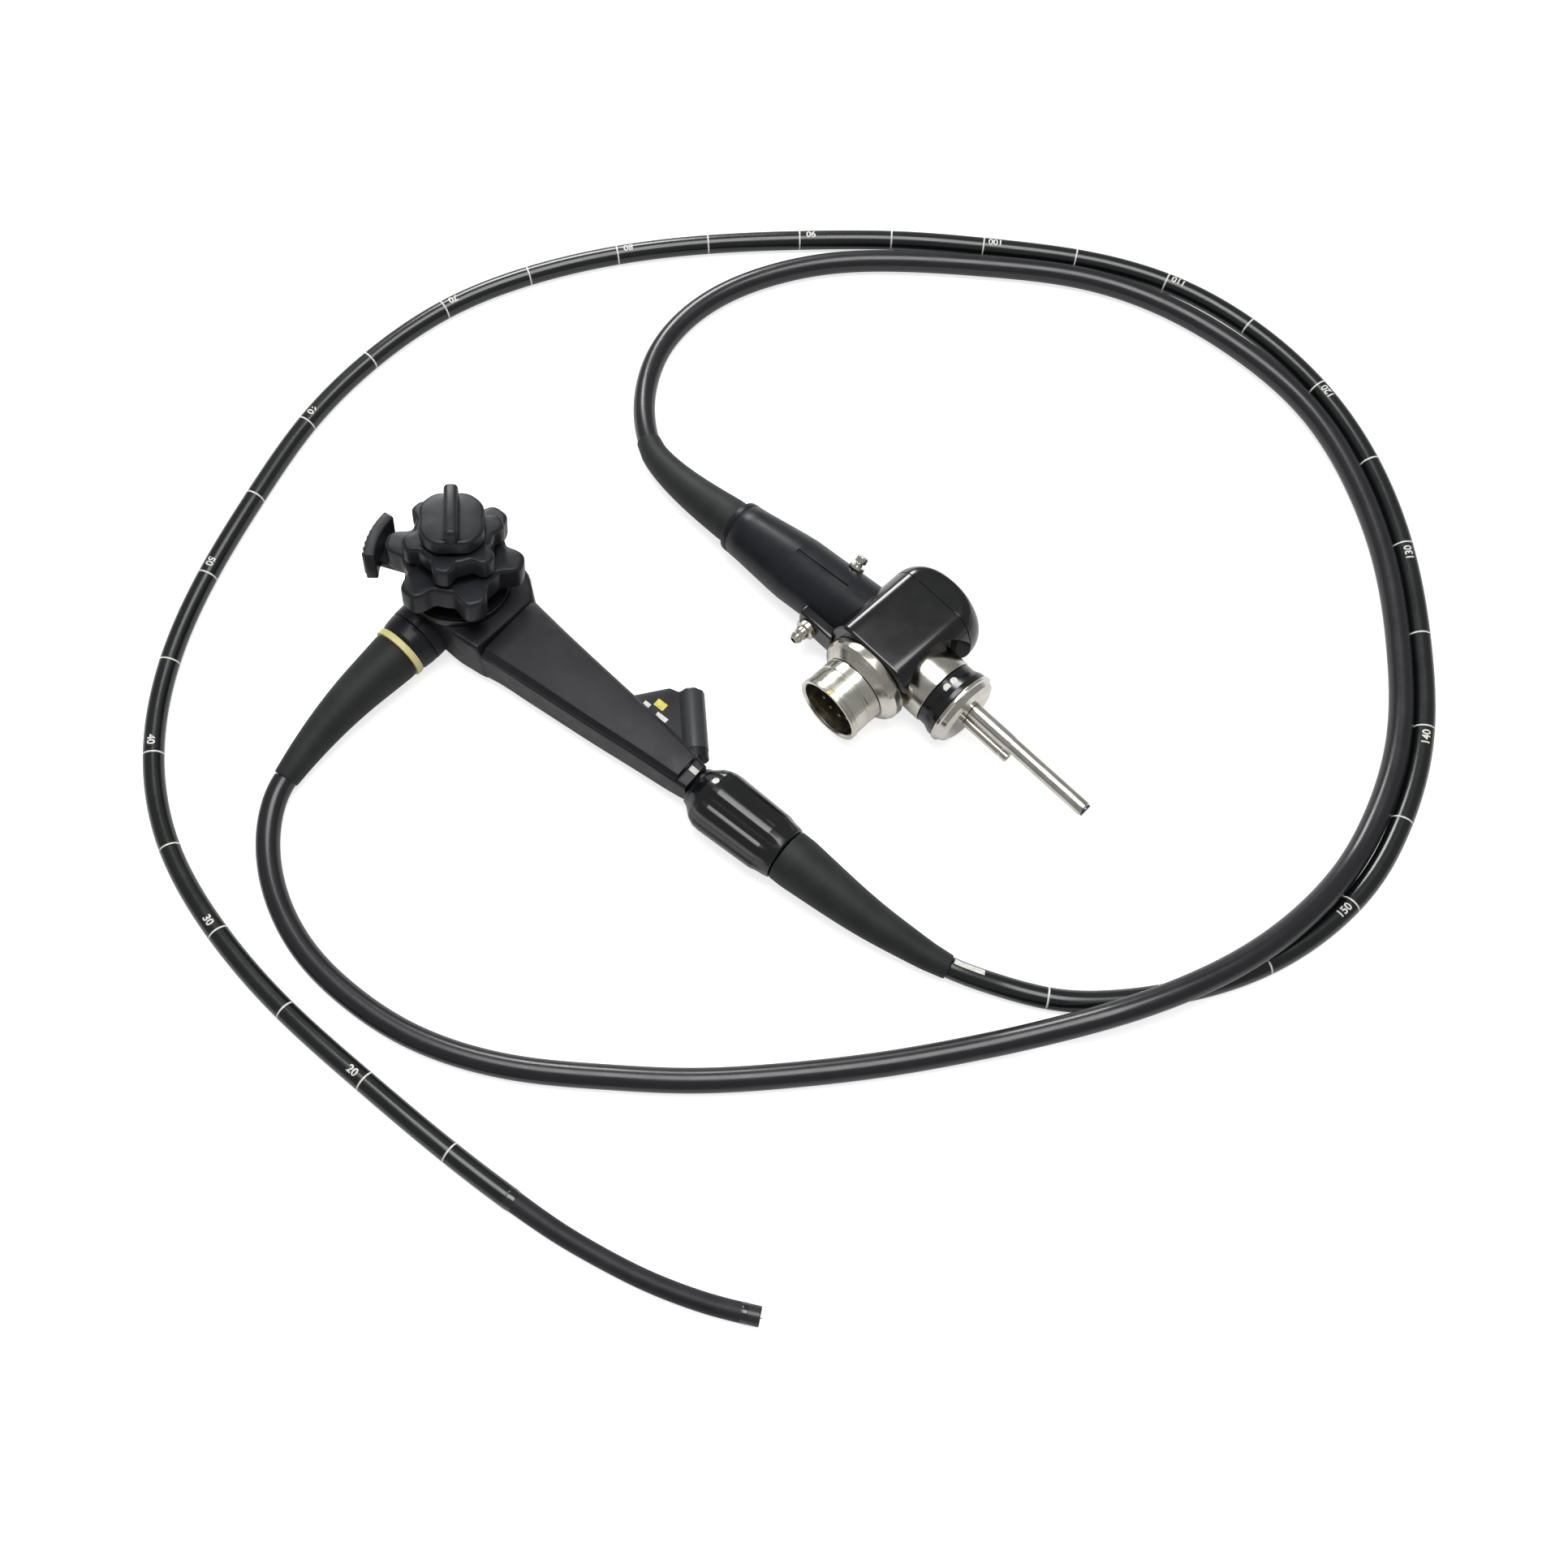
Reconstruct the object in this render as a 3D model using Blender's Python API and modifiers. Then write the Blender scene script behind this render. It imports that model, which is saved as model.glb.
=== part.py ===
"""Flexible video endoscope: control section, insertion tube, cord and connector.

The endoscope lies on a table as it is laid out for inspection.  +Z is up, the table is z = 0,
and the origin is the foot of the steering knobs' axis on the table.  +X runs along the grip
from the knobs to the insertion tube.  All sizes are in metres.
"""
import math
from dataclasses import dataclass

import bmesh
import bpy
import numpy as np
from mathutils import Matrix, Vector

MM = 0.001

# Clearances
SEAT_GAP = 0.3 * MM
RUNNING_GAP = 0.07 * MM

# Control body: head and grip moulding
HEAD_TOP_Z = 34.0 * MM
GRIP_TOP_Z = 28.5 * MM
HEAD_END_X = -38.0 * MM
GRIP_START_X = 33.0 * MM
GRIP_END_X = 150.0 * MM
GRIP_AXIS_Y = -7.2 * MM
GRIP_AXIS_Z = 17.0 * MM
HEAD_FRONT_Y = 22.8 * MM
HEAD_BACK_Y = -28.0 * MM
COVER_THICKNESS = 4.5 * MM
COVER_CHAMFER = 4.2 * MM

# Steering shaft and what turns on it, from the head plate upwards
SHAFT_X = 0.3 * MM
SHAFT_Y = -5.6 * MM
SHAFT_LEAN = math.radians(8.5)
SHAFT_R = 4.5 * MM
PLATE_R = 25.0 * MM
PLATE_T = 3.2 * MM
LEVER_T = 5.0 * MM
LEVER_HUB_R = 14.0 * MM
LEVER_ANGLE = math.radians(204)
LEVER_PAD_R = 43.0 * MM
LEVER_PAD_T = 6.0 * MM
LEVER_PAD_HEIGHT = 18.0 * MM
LEVER_PAD_ARC = math.radians(38)
SPACER_R = 10.0 * MM
LOW_SPACER_T = 2.6 * MM
MID_SPACER_T = 1.9 * MM
TOP_SPACER_T = 1.4 * MM
UD_KNOB_R = 32.5 * MM
UD_KNOB_T = 14.0 * MM
UD_KNOB_LOBES = 6
UD_KNOB_NOTCH = 8.5 * MM
UD_KNOB_RIM = 5.0 * MM
UD_KNOB_PHASE = math.radians(32)
LR_KNOB_R = 23.8 * MM
LR_KNOB_T = 11.5 * MM
LR_KNOB_LOBES = 6
LR_KNOB_NOTCH = 5.6 * MM
LR_KNOB_RIM = 4.2 * MM
LOBE_SHARE = 0.48
LOBE_POINTS = 9
KNOB_BEVEL = 1.6 * MM
DISH_DEPTH = 2.0 * MM
LR_KNOB_PHASE = math.radians(0)
BRAKE_R = 16.2 * MM
BRAKE_T = 8.0 * MM
BRAKE_LOBES = 4
BRAKE_NOTCH = 1.8 * MM
RIDGE_ANGLE = math.radians(-46)
RIDGE_LENGTH = 29.0 * MM
RIDGE_WIDTH = 6.6 * MM
RIDGE_HEIGHT = 7.0 * MM
SHAFT_END_BELOW_BRAKE_TOP = 2.5 * MM

# Valve cylinders and remote switches in the head's front and end
SUCTION_X = -6.0 * MM
SUCTION_BORE_R = 5.2 * MM
WATER_X = 11.0 * MM
WATER_BORE_R = 4.3 * MM
VALVE_Z = 17.0 * MM
VALVE_WALL = 1.1 * MM
VALVE_DEPTH = 19.0 * MM
VALVE_RIM = 1.6 * MM
VALVE_RIM_T = 1.2 * MM
SWITCH_R = 4.0 * MM
SWITCH_POCKET_DEPTH = 4.5 * MM
SWITCH_PROUD = 2.2 * MM
SWITCH_LENGTH = 4.6 * MM
END_SWITCH_Y = 8.5 * MM
FRONT_SWITCH_X = -22.5 * MM
LOW_SWITCH_Z = 11.0 * MM
HIGH_SWITCH_Z = 22.5 * MM

# Instrument channel branch
BRANCH_ANGLE = math.radians(134)
BRANCH_R = 6.3 * MM
BRANCH_MOUTH_X = GRIP_END_X - 32.0 * MM
BRANCH_MOUTH_Y = 26.9 * MM
BRANCH_LENGTH = 34.5 * MM
BRANCH_WEB_T = 7.0 * MM
CHANNEL_R = 1.9 * MM
INLET_R = 4.1 * MM
INLET_SEAT_DEPTH = 5.0 * MM
INLET_PROUD = 1.6 * MM
INLET_LUG = 1.6 * MM

# Stiffness ring, its core and the insertion boot
CORE_R = 7.0 * MM
RING_R = 16.2 * MM
RING_LENGTH = 52.5 * MM
RING_RIBS = 8
RING_RIB_DEPTH = 0.9 * MM
INSERTION_BOOT_R = 12.8 * MM
INSERTION_BOOT_END_R = 6.2 * MM
INSERTION_BOOT_REACH = 87.0 * MM
INSERTION_BOOT_DROP = 9.5 * MM
INSERTION_BOOT_DRIFT = 7.8 * MM

# Cord outlet on the head's back
OUTLET_X = -5.0 * MM
OUTLET_Z = 16.0 * MM
OUTLET_R = 14.6 * MM
BOSS_END_Y = -34.0 * MM
COLLAR_LENGTH = 8.6 * MM
ID_RING_R = 13.8 * MM
ID_RING_LENGTH = 3.4 * MM
CORD_BOOT_R = 12.7 * MM
CORD_BOOT_END_R = 6.8 * MM
CORD_BOOT_REACH = 79.0 * MM
CORD_BOOT_DROP = 8.2 * MM
CORD_BOOT_DRIFT = 1.2 * MM

# Flexible tubes
INSERTION_TUBE_R = 5.0 * MM
CORD_R = 5.65 * MM
TUBE_STEP = 26.0 * MM
CORD_STEP = 28.0 * MM

# Bending section
BEND_R = 4.7 * MM
BEND_BORE_R = 3.4 * MM
BEND_LINKS = 10
BEND_PITCH = 11.0 * MM
BEND_BASE_LENGTH = 6.0 * MM
TIP_LENGTH = 12.0 * MM
TIP_R = 4.6 * MM
UD_STEP_ANGLE = math.radians(36)
LR_STEP_ANGLE = math.radians(32)
BEND_SPARE_ANGLE = math.radians(2)
BEND_PLANE_TILT = math.radians(45)
LENS_R = 1.5 * MM
LAMP_R = 0.9 * MM

# Light guide connector, in its own frame: X towards the light guide, Y across
CONNECTOR_PLACE = (153.7 * MM, 110.8 * MM)
CONNECTOR_TURN = math.radians(-7)
BARREL_R = 25.5 * MM
BARREL_CENTRE_X = 26.2 * MM
BARREL_BACK_Y = -22.0 * MM
BARREL_SEAM_Y = 20.0 * MM
BARREL_END_Y = 33.4 * MM
BARREL_FACE_Z = 45.5 * MM
BARREL_GROUND = 0.3 * MM
SLEEVE_R = 16.8 * MM
SLEEVE_START_R = 13.6 * MM
SLEEVE_LENGTH = 78.0 * MM
SLEEVE_Y = -2.5 * MM
SLEEVE_Z = 22.5 * MM
SLEEVE_DIP = math.radians(5)
SLEEVE_TURN = math.radians(3.6)
SLEEVE_SEAT_DEPTH = 7.0 * MM
CONNECTOR_BOOT_R = 11.0 * MM
CONNECTOR_BOOT_END_R = 6.6 * MM
SOCKET_X = 27.0 * MM
SOCKET_Z = 22.5 * MM
SOCKET_R = 17.4 * MM
SOCKET_BORE_R = 15.2 * MM
SOCKET_COLLAR_R = 22.6 * MM
SOCKET_COLLAR_LENGTH = 9.0 * MM
SOCKET_LENGTH = 17.5 * MM
CONTACT_T = 5.0 * MM
CONTACT_PIN_R = 0.9 * MM
CONTACT_PIN_LENGTH = 7.0 * MM
CONTACT_PINS = 10
NECK_Y = -2.0 * MM
NECK_Z = 20.0 * MM
NECK_R = 17.4 * MM
NECK_START_X = 34.0 * MM
NECK_END_X = 56.5 * MM
POCKET_MOUTH_R = 25.0 * MM
POCKET_MOUTH_X = 44.0 * MM
NECK_POCKET_GAP = 1.0 * MM
BAND_LENGTH = 10.0 * MM
BAND_R = 18.4 * MM
FLANGE_R = 19.0 * MM
FLANGE_T = 6.0 * MM
ROD_R = 4.0 * MM
ROD_LENGTH = 68.0 * MM
ROD_Y = 0.8 * MM
ROD_Z = 22.0 * MM
ROD_WINDOW_T = 1.2 * MM
AIR_PIPE_R = 2.6 * MM
AIR_PIPE_LENGTH = 26.0 * MM
AIR_PIPE_Y = -2.6 * MM
AIR_PIPE_Z = 15.2 * MM
PIPE_BORE_R = 1.6 * MM
NIPPLE_X = -11.0 * MM
NIPPLE_Z = 21.0 * MM
NIPPLE_BLOCK = 14.0 * MM
NIPPLE_LENGTH = 10.0 * MM
VENT_BACK = 12.5 * MM

MODEL = "flexible_endoscope"
CUTTERS = "cutters"


@dataclass(frozen=True)
class Station:
    """One cross-section of the control body: its place along X, its four sides and the
    slope of its top about the shaft."""

    x: float
    back: float
    front: float
    low: float
    high: float
    lean: float = 0.0


def clear_scene() -> None:
    """Remove what the scene holds at the start."""
    for obj in list(bpy.data.objects):
        bpy.data.objects.remove(obj, do_unlink=True)


def new_collection(name: str) -> bpy.types.Collection:
    """Return a new collection linked to the scene."""
    collection = bpy.data.collections.new(name)
    bpy.context.scene.collection.children.link(collection)
    return collection


def srgb(value: int) -> float:
    """Return the linear value of one 8-bit sRGB channel."""
    c = value / 255
    return c / 12.92 if c <= 0.04045 else ((c + 0.055) / 1.055) ** 2.4


def material(name: str, colour: tuple, roughness: float, metallic: float = 0.0):
    """Return a Principled material with an 8-bit sRGB colour."""
    mat = bpy.data.materials.new(name)
    mat.use_nodes = True
    shader = mat.node_tree.nodes["Principled BSDF"]
    shader.inputs["Base Color"].default_value = (*(srgb(c) for c in colour), 1.0)
    shader.inputs["Roughness"].default_value = roughness
    shader.inputs["Metallic"].default_value = metallic
    return mat


class Builder:
    """Makes named objects in the model's collection and cutters in another."""

    def __init__(self):
        self.model = new_collection(MODEL)
        self.cutters = new_collection(CUTTERS)
        self.materials = {
            "black_body": material("black_body", (38, 38, 42), 0.42),
            "black_gloss": material("black_gloss", (22, 24, 26), 0.22),
            "knob_grey": material("knob_grey", (52, 56, 60), 0.5),
            "soft_rubber": material("soft_rubber", (56, 60, 60), 0.62),
            "tube_black": material("tube_black", (28, 32, 32), 0.25),
            "cord_grey": material("cord_grey", (58, 58, 64), 0.4),
            "bend_rubber": material("bend_rubber", (50, 50, 56), 0.6),
            "nickel": material("nickel", (205, 202, 190), 0.24, 1.0),
            "ring_yellow": material("ring_yellow", (240, 236, 170), 0.45),
            "dark_insert": material("dark_insert", (40, 44, 36), 0.5),
            "optic_glass": material("optic_glass", (150, 170, 180), 0.05),
        }

    def empty(self, name: str, location, turn: float = 0.0) -> bpy.types.Object:
        """Add an empty that carries pieces."""
        obj = bpy.data.objects.new(name, None)
        obj.location = location
        obj.rotation_euler = (0.0, 0.0, turn)
        self.model.objects.link(obj)
        return obj

    def link(self, obj, mat: str, parent=None) -> bpy.types.Object:
        """Link a finished object to the model with its material."""
        self.model.objects.link(obj)
        obj.data.materials.append(self.materials[mat])
        obj.parent = parent
        return obj

    def from_bmesh(self, name: str, bm, mat: str, parent=None) -> bpy.types.Object:
        """Turn a bmesh into a named object."""
        mesh = bpy.data.meshes.new(name)
        bmesh.ops.recalc_face_normals(bm, faces=bm.faces)
        bm.to_mesh(mesh)
        bm.free()
        return self.link(bpy.data.objects.new(name, mesh), mat, parent)

    def turned(self, name: str, profile, mat: str, steps: int = 32, parent=None, closed=False,
               place=None) -> bpy.types.Object:
        """Turn a profile of (radius, height) points about local Z with a Screw modifier.

        The profile runs down its outer side; a closed one goes on up its bore.
        """
        mesh = bpy.data.meshes.new(name)
        points = [(r, 0.0, z) for r, z in profile]
        edges = [(i, i + 1) for i in range(len(points) - 1)]
        if closed:
            edges.append((len(points) - 1, 0))
        mesh.from_pydata(points, edges, [])
        obj = self.link(bpy.data.objects.new(name, mesh), mat, parent)
        screw = obj.modifiers.new("turn", "SCREW")
        screw.steps = steps
        screw.render_steps = steps
        screw.use_merge_vertices = True
        screw.merge_threshold = 0.000001
        if place is not None:
            obj.matrix_local = place
        return obj

    def plate(self, name: str, outlines, low: float, high: float, mat: str, bevel: float = 0.0,
              segments: int = 2, parent=None) -> bpy.types.Object:
        """Extrude flat outlines (the first one solid, the rest holes) between two heights."""
        curve = bpy.data.curves.new(name, "CURVE")
        curve.dimensions = "2D"
        curve.fill_mode = "BOTH"
        curve.extrude = (high - low) / 2
        for outline in outlines:
            spline = curve.splines.new("POLY")
            spline.points.add(len(outline) - 1)
            for point, (x, y) in zip(spline.points, outline):
                point.co = (x, y, 0.0, 1.0)
            spline.use_cyclic_u = True
        obj = bpy.data.objects.new(name, curve)
        obj.location = (0.0, 0.0, (low + high) / 2)
        self.model.objects.link(obj)
        solid = self.as_mesh(obj, name, mat, parent)
        if bevel:
            edge = solid.modifiers.new("round edges", "BEVEL")
            edge.width = bevel
            edge.segments = segments
            edge.limit_method = "ANGLE"
            edge.angle_limit = math.radians(50)
        return solid

    def as_mesh(self, obj, name: str, mat: str, parent=None) -> bpy.types.Object:
        """Replace a curve object by its welded mesh at the same place under its parent."""
        bpy.context.view_layer.update()
        graph = bpy.context.evaluated_depsgraph_get()
        mesh = bpy.data.meshes.new_from_object(obj.evaluated_get(graph))
        place = obj.matrix_world.copy()
        bpy.data.objects.remove(obj, do_unlink=True)
        bm = bmesh.new()
        bm.from_mesh(mesh)
        bmesh.ops.remove_doubles(bm, verts=bm.verts, dist=0.000001)
        bmesh.ops.recalc_face_normals(bm, faces=bm.faces)
        bm.to_mesh(mesh)
        bm.free()
        mesh.materials.clear()
        solid = self.link(bpy.data.objects.new(name, mesh), mat, parent)
        solid.matrix_local = place
        return solid

    def tube(self, name: str, points, radii, mat: str, sides: int = 3) -> bpy.types.Object:
        """Sweep a round section of given radii along points, as a capped curve."""
        curve = bpy.data.curves.new(name, "CURVE")
        curve.dimensions = "3D"
        curve.bevel_depth = 1.0
        curve.bevel_resolution = sides
        curve.use_fill_caps = True
        spline = curve.splines.new("POLY")
        spline.points.add(len(points) - 1)
        for point, place, radius in zip(spline.points, points, radii):
            point.co = (*place, 1.0)
            point.radius = radius
        return self.link(bpy.data.objects.new(name, curve), mat)

    def cutter(self, name: str, obj) -> bpy.types.Object:
        """Move an object to the cutters' collection."""
        for collection in list(obj.users_collection):
            collection.objects.unlink(obj)
        self.cutters.objects.link(obj)
        obj.name = name
        obj.hide_render = True
        obj.display_type = "WIRE"
        return obj

    def cylinder_cutter(self, name: str, radius: float, start, end, segments: int = 32,
                        parent=None) -> bpy.types.Object:
        """Make a cylinder between two points for a Boolean."""
        start = Vector(start)
        end = Vector(end)
        bm = bmesh.new()
        bmesh.ops.create_cone(bm, cap_ends=True, segments=segments, radius1=radius, radius2=radius,
                              depth=(end - start).length)
        turn = (end - start).to_track_quat("Z", "Y").to_matrix().to_4x4()
        bmesh.ops.transform(bm, matrix=Matrix.Translation((start + end) / 2) @ turn, verts=bm.verts)
        obj = self.from_bmesh(name, bm, "black_body", parent)
        return self.cutter(name, obj)

    def box_cutter(self, name: str, low, high, parent=None) -> bpy.types.Object:
        """Make a box between two corners for a Boolean."""
        low = Vector(low)
        high = Vector(high)
        bm = bmesh.new()
        bmesh.ops.create_cube(bm, size=1.0)
        bmesh.ops.scale(bm, vec=high - low, verts=bm.verts)
        bmesh.ops.translate(bm, vec=(low + high) / 2, verts=bm.verts)
        obj = self.from_bmesh(name, bm, "black_body", parent)
        return self.cutter(name, obj)


def boolean(obj, tool, operation: str = "DIFFERENCE") -> None:
    """Add an exact Boolean modifier."""
    mod = obj.modifiers.new(operation.lower(), "BOOLEAN")
    mod.operation = operation
    mod.object = tool
    mod.solver = "EXACT"


def circle(radius: float, count: int) -> list:
    """Return the points of a circle."""
    turns = (2 * math.pi * i / count for i in range(count))
    return [(radius * math.cos(t), radius * math.sin(t)) for t in turns]


def lobed(radius: float, notch: float, lobes: int, phase: float, share: float,
          count: int) -> list:
    """Return a round outline whose lobes fill a share of each step and end in wide notches."""
    points = []
    step = 2 * math.pi / lobes
    half = share * step / 2
    for i in range(count):
        turn = phase + 2 * math.pi * i / count
        off = (turn - phase + step / 2) % step - step / 2
        r = radius - notch * (1 - math.exp(-((off / half) ** 4)))
        points.append((r * math.cos(turn), r * math.sin(turn)))
    return points


def rounded_section(station: Station, low_round: float, high_round: float, arc: int = 3) -> list:
    """Return a station's outline, a rectangle with rounded corners, as points in its plane."""
    limit = 0.49 * min(station.front - station.back, station.high - station.low)
    low_round = min(low_round, limit)
    high_round = min(high_round, limit)
    corners = (
        (station.front - low_round, station.low + low_round, low_round, -90),
        (station.front - high_round, station.high - high_round, high_round, 0),
        (station.back + high_round, station.high - high_round, high_round, 90),
        (station.back + low_round, station.low + low_round, low_round, 180),
    )
    points = []
    middle = (station.low + station.high) / 2
    for y, z, radius, start in corners:
        rise = 0.0 if z < middle else 1.0
        for i in range(arc + 1):
            turn = math.radians(start + 90 * i / arc)
            side = y + radius * math.cos(turn)
            lift = rise * station.lean * (SHAFT_Y - side)
            points.append(Vector((station.x, side, z + radius * math.sin(turn) + lift)))
    return points


def loft(rings: list) -> bmesh.types.BMesh:
    """Skin rings of equal length and close both ends."""
    bm = bmesh.new()
    rows = [[bm.verts.new(p) for p in ring] for ring in rings]
    count = len(rows[0])
    for a, b in zip(rows, rows[1:]):
        for i in range(count):
            j = (i + 1) % count
            bm.faces.new((a[i], a[j], b[j], b[i]))
    bm.faces.new(reversed(rows[0]))
    bm.faces.new(rows[-1])
    return bm


def smooth_route(points, start_direction, end_direction, step: float) -> list:
    """Read evenly spaced points from a smooth curve through a route's own points.

    The curve is a cubic spline with given end directions; a short straight piece at each end
    keeps the end faces square to them.
    """
    p = np.array(points, dtype=float)
    h = np.linalg.norm(np.diff(p, axis=0), axis=1)
    n = len(p)
    a = np.zeros((n, n))
    b = np.zeros((n, 3))
    a[0, 0] = 1.0
    a[-1, -1] = 1.0
    b[0] = Vector(start_direction).normalized()
    b[-1] = Vector(end_direction).normalized()
    for i in range(1, n - 1):
        a[i, i - 1] = 1 / h[i - 1]
        a[i, i] = 2 * (1 / h[i - 1] + 1 / h[i])
        a[i, i + 1] = 1 / h[i]
        b[i] = 3 * ((p[i] - p[i - 1]) / h[i - 1] ** 2 + (p[i + 1] - p[i]) / h[i] ** 2)
    m = np.linalg.solve(a, b)
    dense = []
    for i in range(n - 1):
        for t in np.linspace(0.0, 1.0, 40, endpoint=False):
            dense.append((2 * t**3 - 3 * t**2 + 1) * p[i] + (t**3 - 2 * t**2 + t) * h[i] * m[i]
                         + (3 * t**2 - 2 * t**3) * p[i + 1] + (t**3 - t**2) * h[i] * m[i + 1])
    dense.append(p[-1])
    dense = np.array(dense)
    run = np.concatenate([[0.0], np.cumsum(np.linalg.norm(np.diff(dense, axis=0), axis=1))])
    count = max(2, round(run[-1] / step))
    marks = np.linspace(0.0, run[-1], count + 1)
    marks = np.concatenate([[0.0, 0.0015], marks[1:-1], [run[-1] - 0.0015, run[-1]]])
    return [Vector([np.interp(s, run, dense[:, k]) for k in range(3)]) for s in marks]


def body_stations() -> list:
    """Return the control body's cross-sections from the head's end to the grip's end."""
    back = HEAD_BACK_Y
    front = HEAD_FRONT_Y
    top = HEAD_TOP_Z
    grip = GRIP_TOP_Z
    end = HEAD_END_X
    start = GRIP_START_X
    last = GRIP_END_X
    core = CORE_R + 1.2 * MM
    centre = GRIP_AXIS_Y
    lean = math.tan(SHAFT_LEAN)
    return [
        Station(end, 2 * MM, front - 11 * MM, 5 * MM, top - 6 * MM, lean),
        Station(end + 1.5 * MM, -1.5 * MM, front - 7.5 * MM, 2.5 * MM, top - 1.5 * MM, lean),
        Station(end + 6 * MM, back + 18 * MM, front - 3.5 * MM, 0.4 * MM, top, lean),
        Station(end + 14 * MM, back + 10.5 * MM, front - 0.8 * MM, 0.0, top, lean),
        Station(end + 24 * MM, back + 4 * MM, front, 0.0, top, lean),
        Station(end + 38 * MM, back + 0.8 * MM, front, 0.0, top, lean),
        Station(end + 54 * MM, back, front, 0.0, top, lean),
        Station(start - 9 * MM, back + 0.8 * MM, front - 3.6 * MM, 0.0, top - 0.3 * MM, lean),
        Station(start - 2.5 * MM, back + 1.8 * MM, front - 9.2 * MM, 0.4 * MM, top - 1.5 * MM,
                lean),
        Station(start, back + 2.4 * MM, front - 10.4 * MM, 0.6 * MM, grip),
        Station(start + 27 * MM, centre - 15.7 * MM, centre + 16.6 * MM, 1.2 * MM, grip),
        Station(start + 62 * MM, centre - 12.7 * MM, centre + 13.4 * MM, 1.8 * MM, grip),
        Station(last - 24 * MM, centre - 9.6 * MM, centre + 10.6 * MM, 2.6 * MM, grip - 0.4 * MM),
        Station(last - 5 * MM, centre - core, centre + core, 5 * MM, grip - 0.8 * MM),
        Station(last, centre - core + 0.6 * MM, centre + core - 0.6 * MM, 6.5 * MM,
                grip - 1.6 * MM),
    ]


def make_control_body(make: Builder) -> bpy.types.Object:
    """Model the head and grip as one moulding with its cord boss and channel branch."""
    rings = [rounded_section(s, 8.0 * MM, 2.2 * MM) for s in body_stations()]
    body = make.from_bmesh("control_body", loft(rings), "black_body")

    boss = make.cylinder_cutter("cord_boss", OUTLET_R, (OUTLET_X, -15 * MM, OUTLET_Z),
                                (OUTLET_X, BOSS_END_Y, OUTLET_Z))
    boolean(body, boss, "UNION")

    along = Vector((math.cos(BRANCH_ANGLE), math.sin(BRANCH_ANGLE), 0.0))
    across = Vector((-along.y, along.x, 0.0))
    mouth = Vector((BRANCH_MOUTH_X, BRANCH_MOUTH_Y, GRIP_AXIS_Z))
    branch = make.cylinder_cutter("branch_pipe", BRANCH_R, mouth - along * BRANCH_LENGTH, mouth)
    boolean(body, branch, "UNION")
    web_top = mouth + across * BRANCH_R * 0.5 - along * 1.2 * MM
    corner = web_top + Vector((-BRANCH_R - 1.0 * MM, -2.0 * MM, 0.0))
    foot = Vector((BRANCH_MOUTH_X - 23.5 * MM, GRIP_AXIS_Y + 10 * MM, 0.0))
    inner = mouth - along * BRANCH_LENGTH + across * 1.5 * MM
    web_outline = [(web_top.x, web_top.y), (corner.x, corner.y), (foot.x, foot.y),
                   (inner.x, inner.y)]
    web = make.plate("branch_web", [web_outline], GRIP_AXIS_Z - BRANCH_WEB_T / 2,
                     GRIP_AXIS_Z + BRANCH_WEB_T / 2, "black_body")
    boolean(body, make.cutter("branch_web", web), "UNION")

    seat = make.cylinder_cutter("inlet_seat", INLET_R + SEAT_GAP, mouth - along * INLET_SEAT_DEPTH,
                                mouth + along * 2 * MM)
    boolean(body, seat)
    channel = make.cylinder_cutter("channel_bore", CHANNEL_R, mouth - along * 16 * MM,
                                   mouth + along * 2 * MM, 16)
    boolean(body, channel)

    for name, x, radius in (("suction_seat", SUCTION_X, SUCTION_BORE_R),
                            ("water_seat", WATER_X, WATER_BORE_R)):
        hole = make.cylinder_cutter(
            name, radius + VALVE_WALL + SEAT_GAP, (x, HEAD_FRONT_Y + 5 * MM, VALVE_Z),
            (x, HEAD_FRONT_Y - VALVE_DEPTH - SEAT_GAP, VALVE_Z), 24)
        boolean(body, hole)
    for index, (x, y, z, direction) in enumerate(switch_places()):
        spot = Vector((x, y, z))
        pocket = make.cylinder_cutter(
            f"switch_pocket_{index + 1}", SWITCH_R + SEAT_GAP,
            spot - direction * SWITCH_POCKET_DEPTH, spot + direction * 6 * MM, 20)
        boolean(body, pocket)
    return body


def switch_places() -> list:
    """Return where each remote switch sits on the head and which way it faces."""
    outward_end = Vector((-1.0, 0.0, 0.0))
    outward_front = Vector((0.0, 1.0, 0.0))
    front = HEAD_FRONT_Y - 0.8 * MM
    return [
        (HEAD_END_X, END_SWITCH_Y, LOW_SWITCH_Z, outward_end),
        (HEAD_END_X, END_SWITCH_Y, HIGH_SWITCH_Z, outward_end),
        (FRONT_SWITCH_X, front, LOW_SWITCH_Z, outward_front),
        (FRONT_SWITCH_X, front, HIGH_SWITCH_Z, outward_front),
    ]


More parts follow.
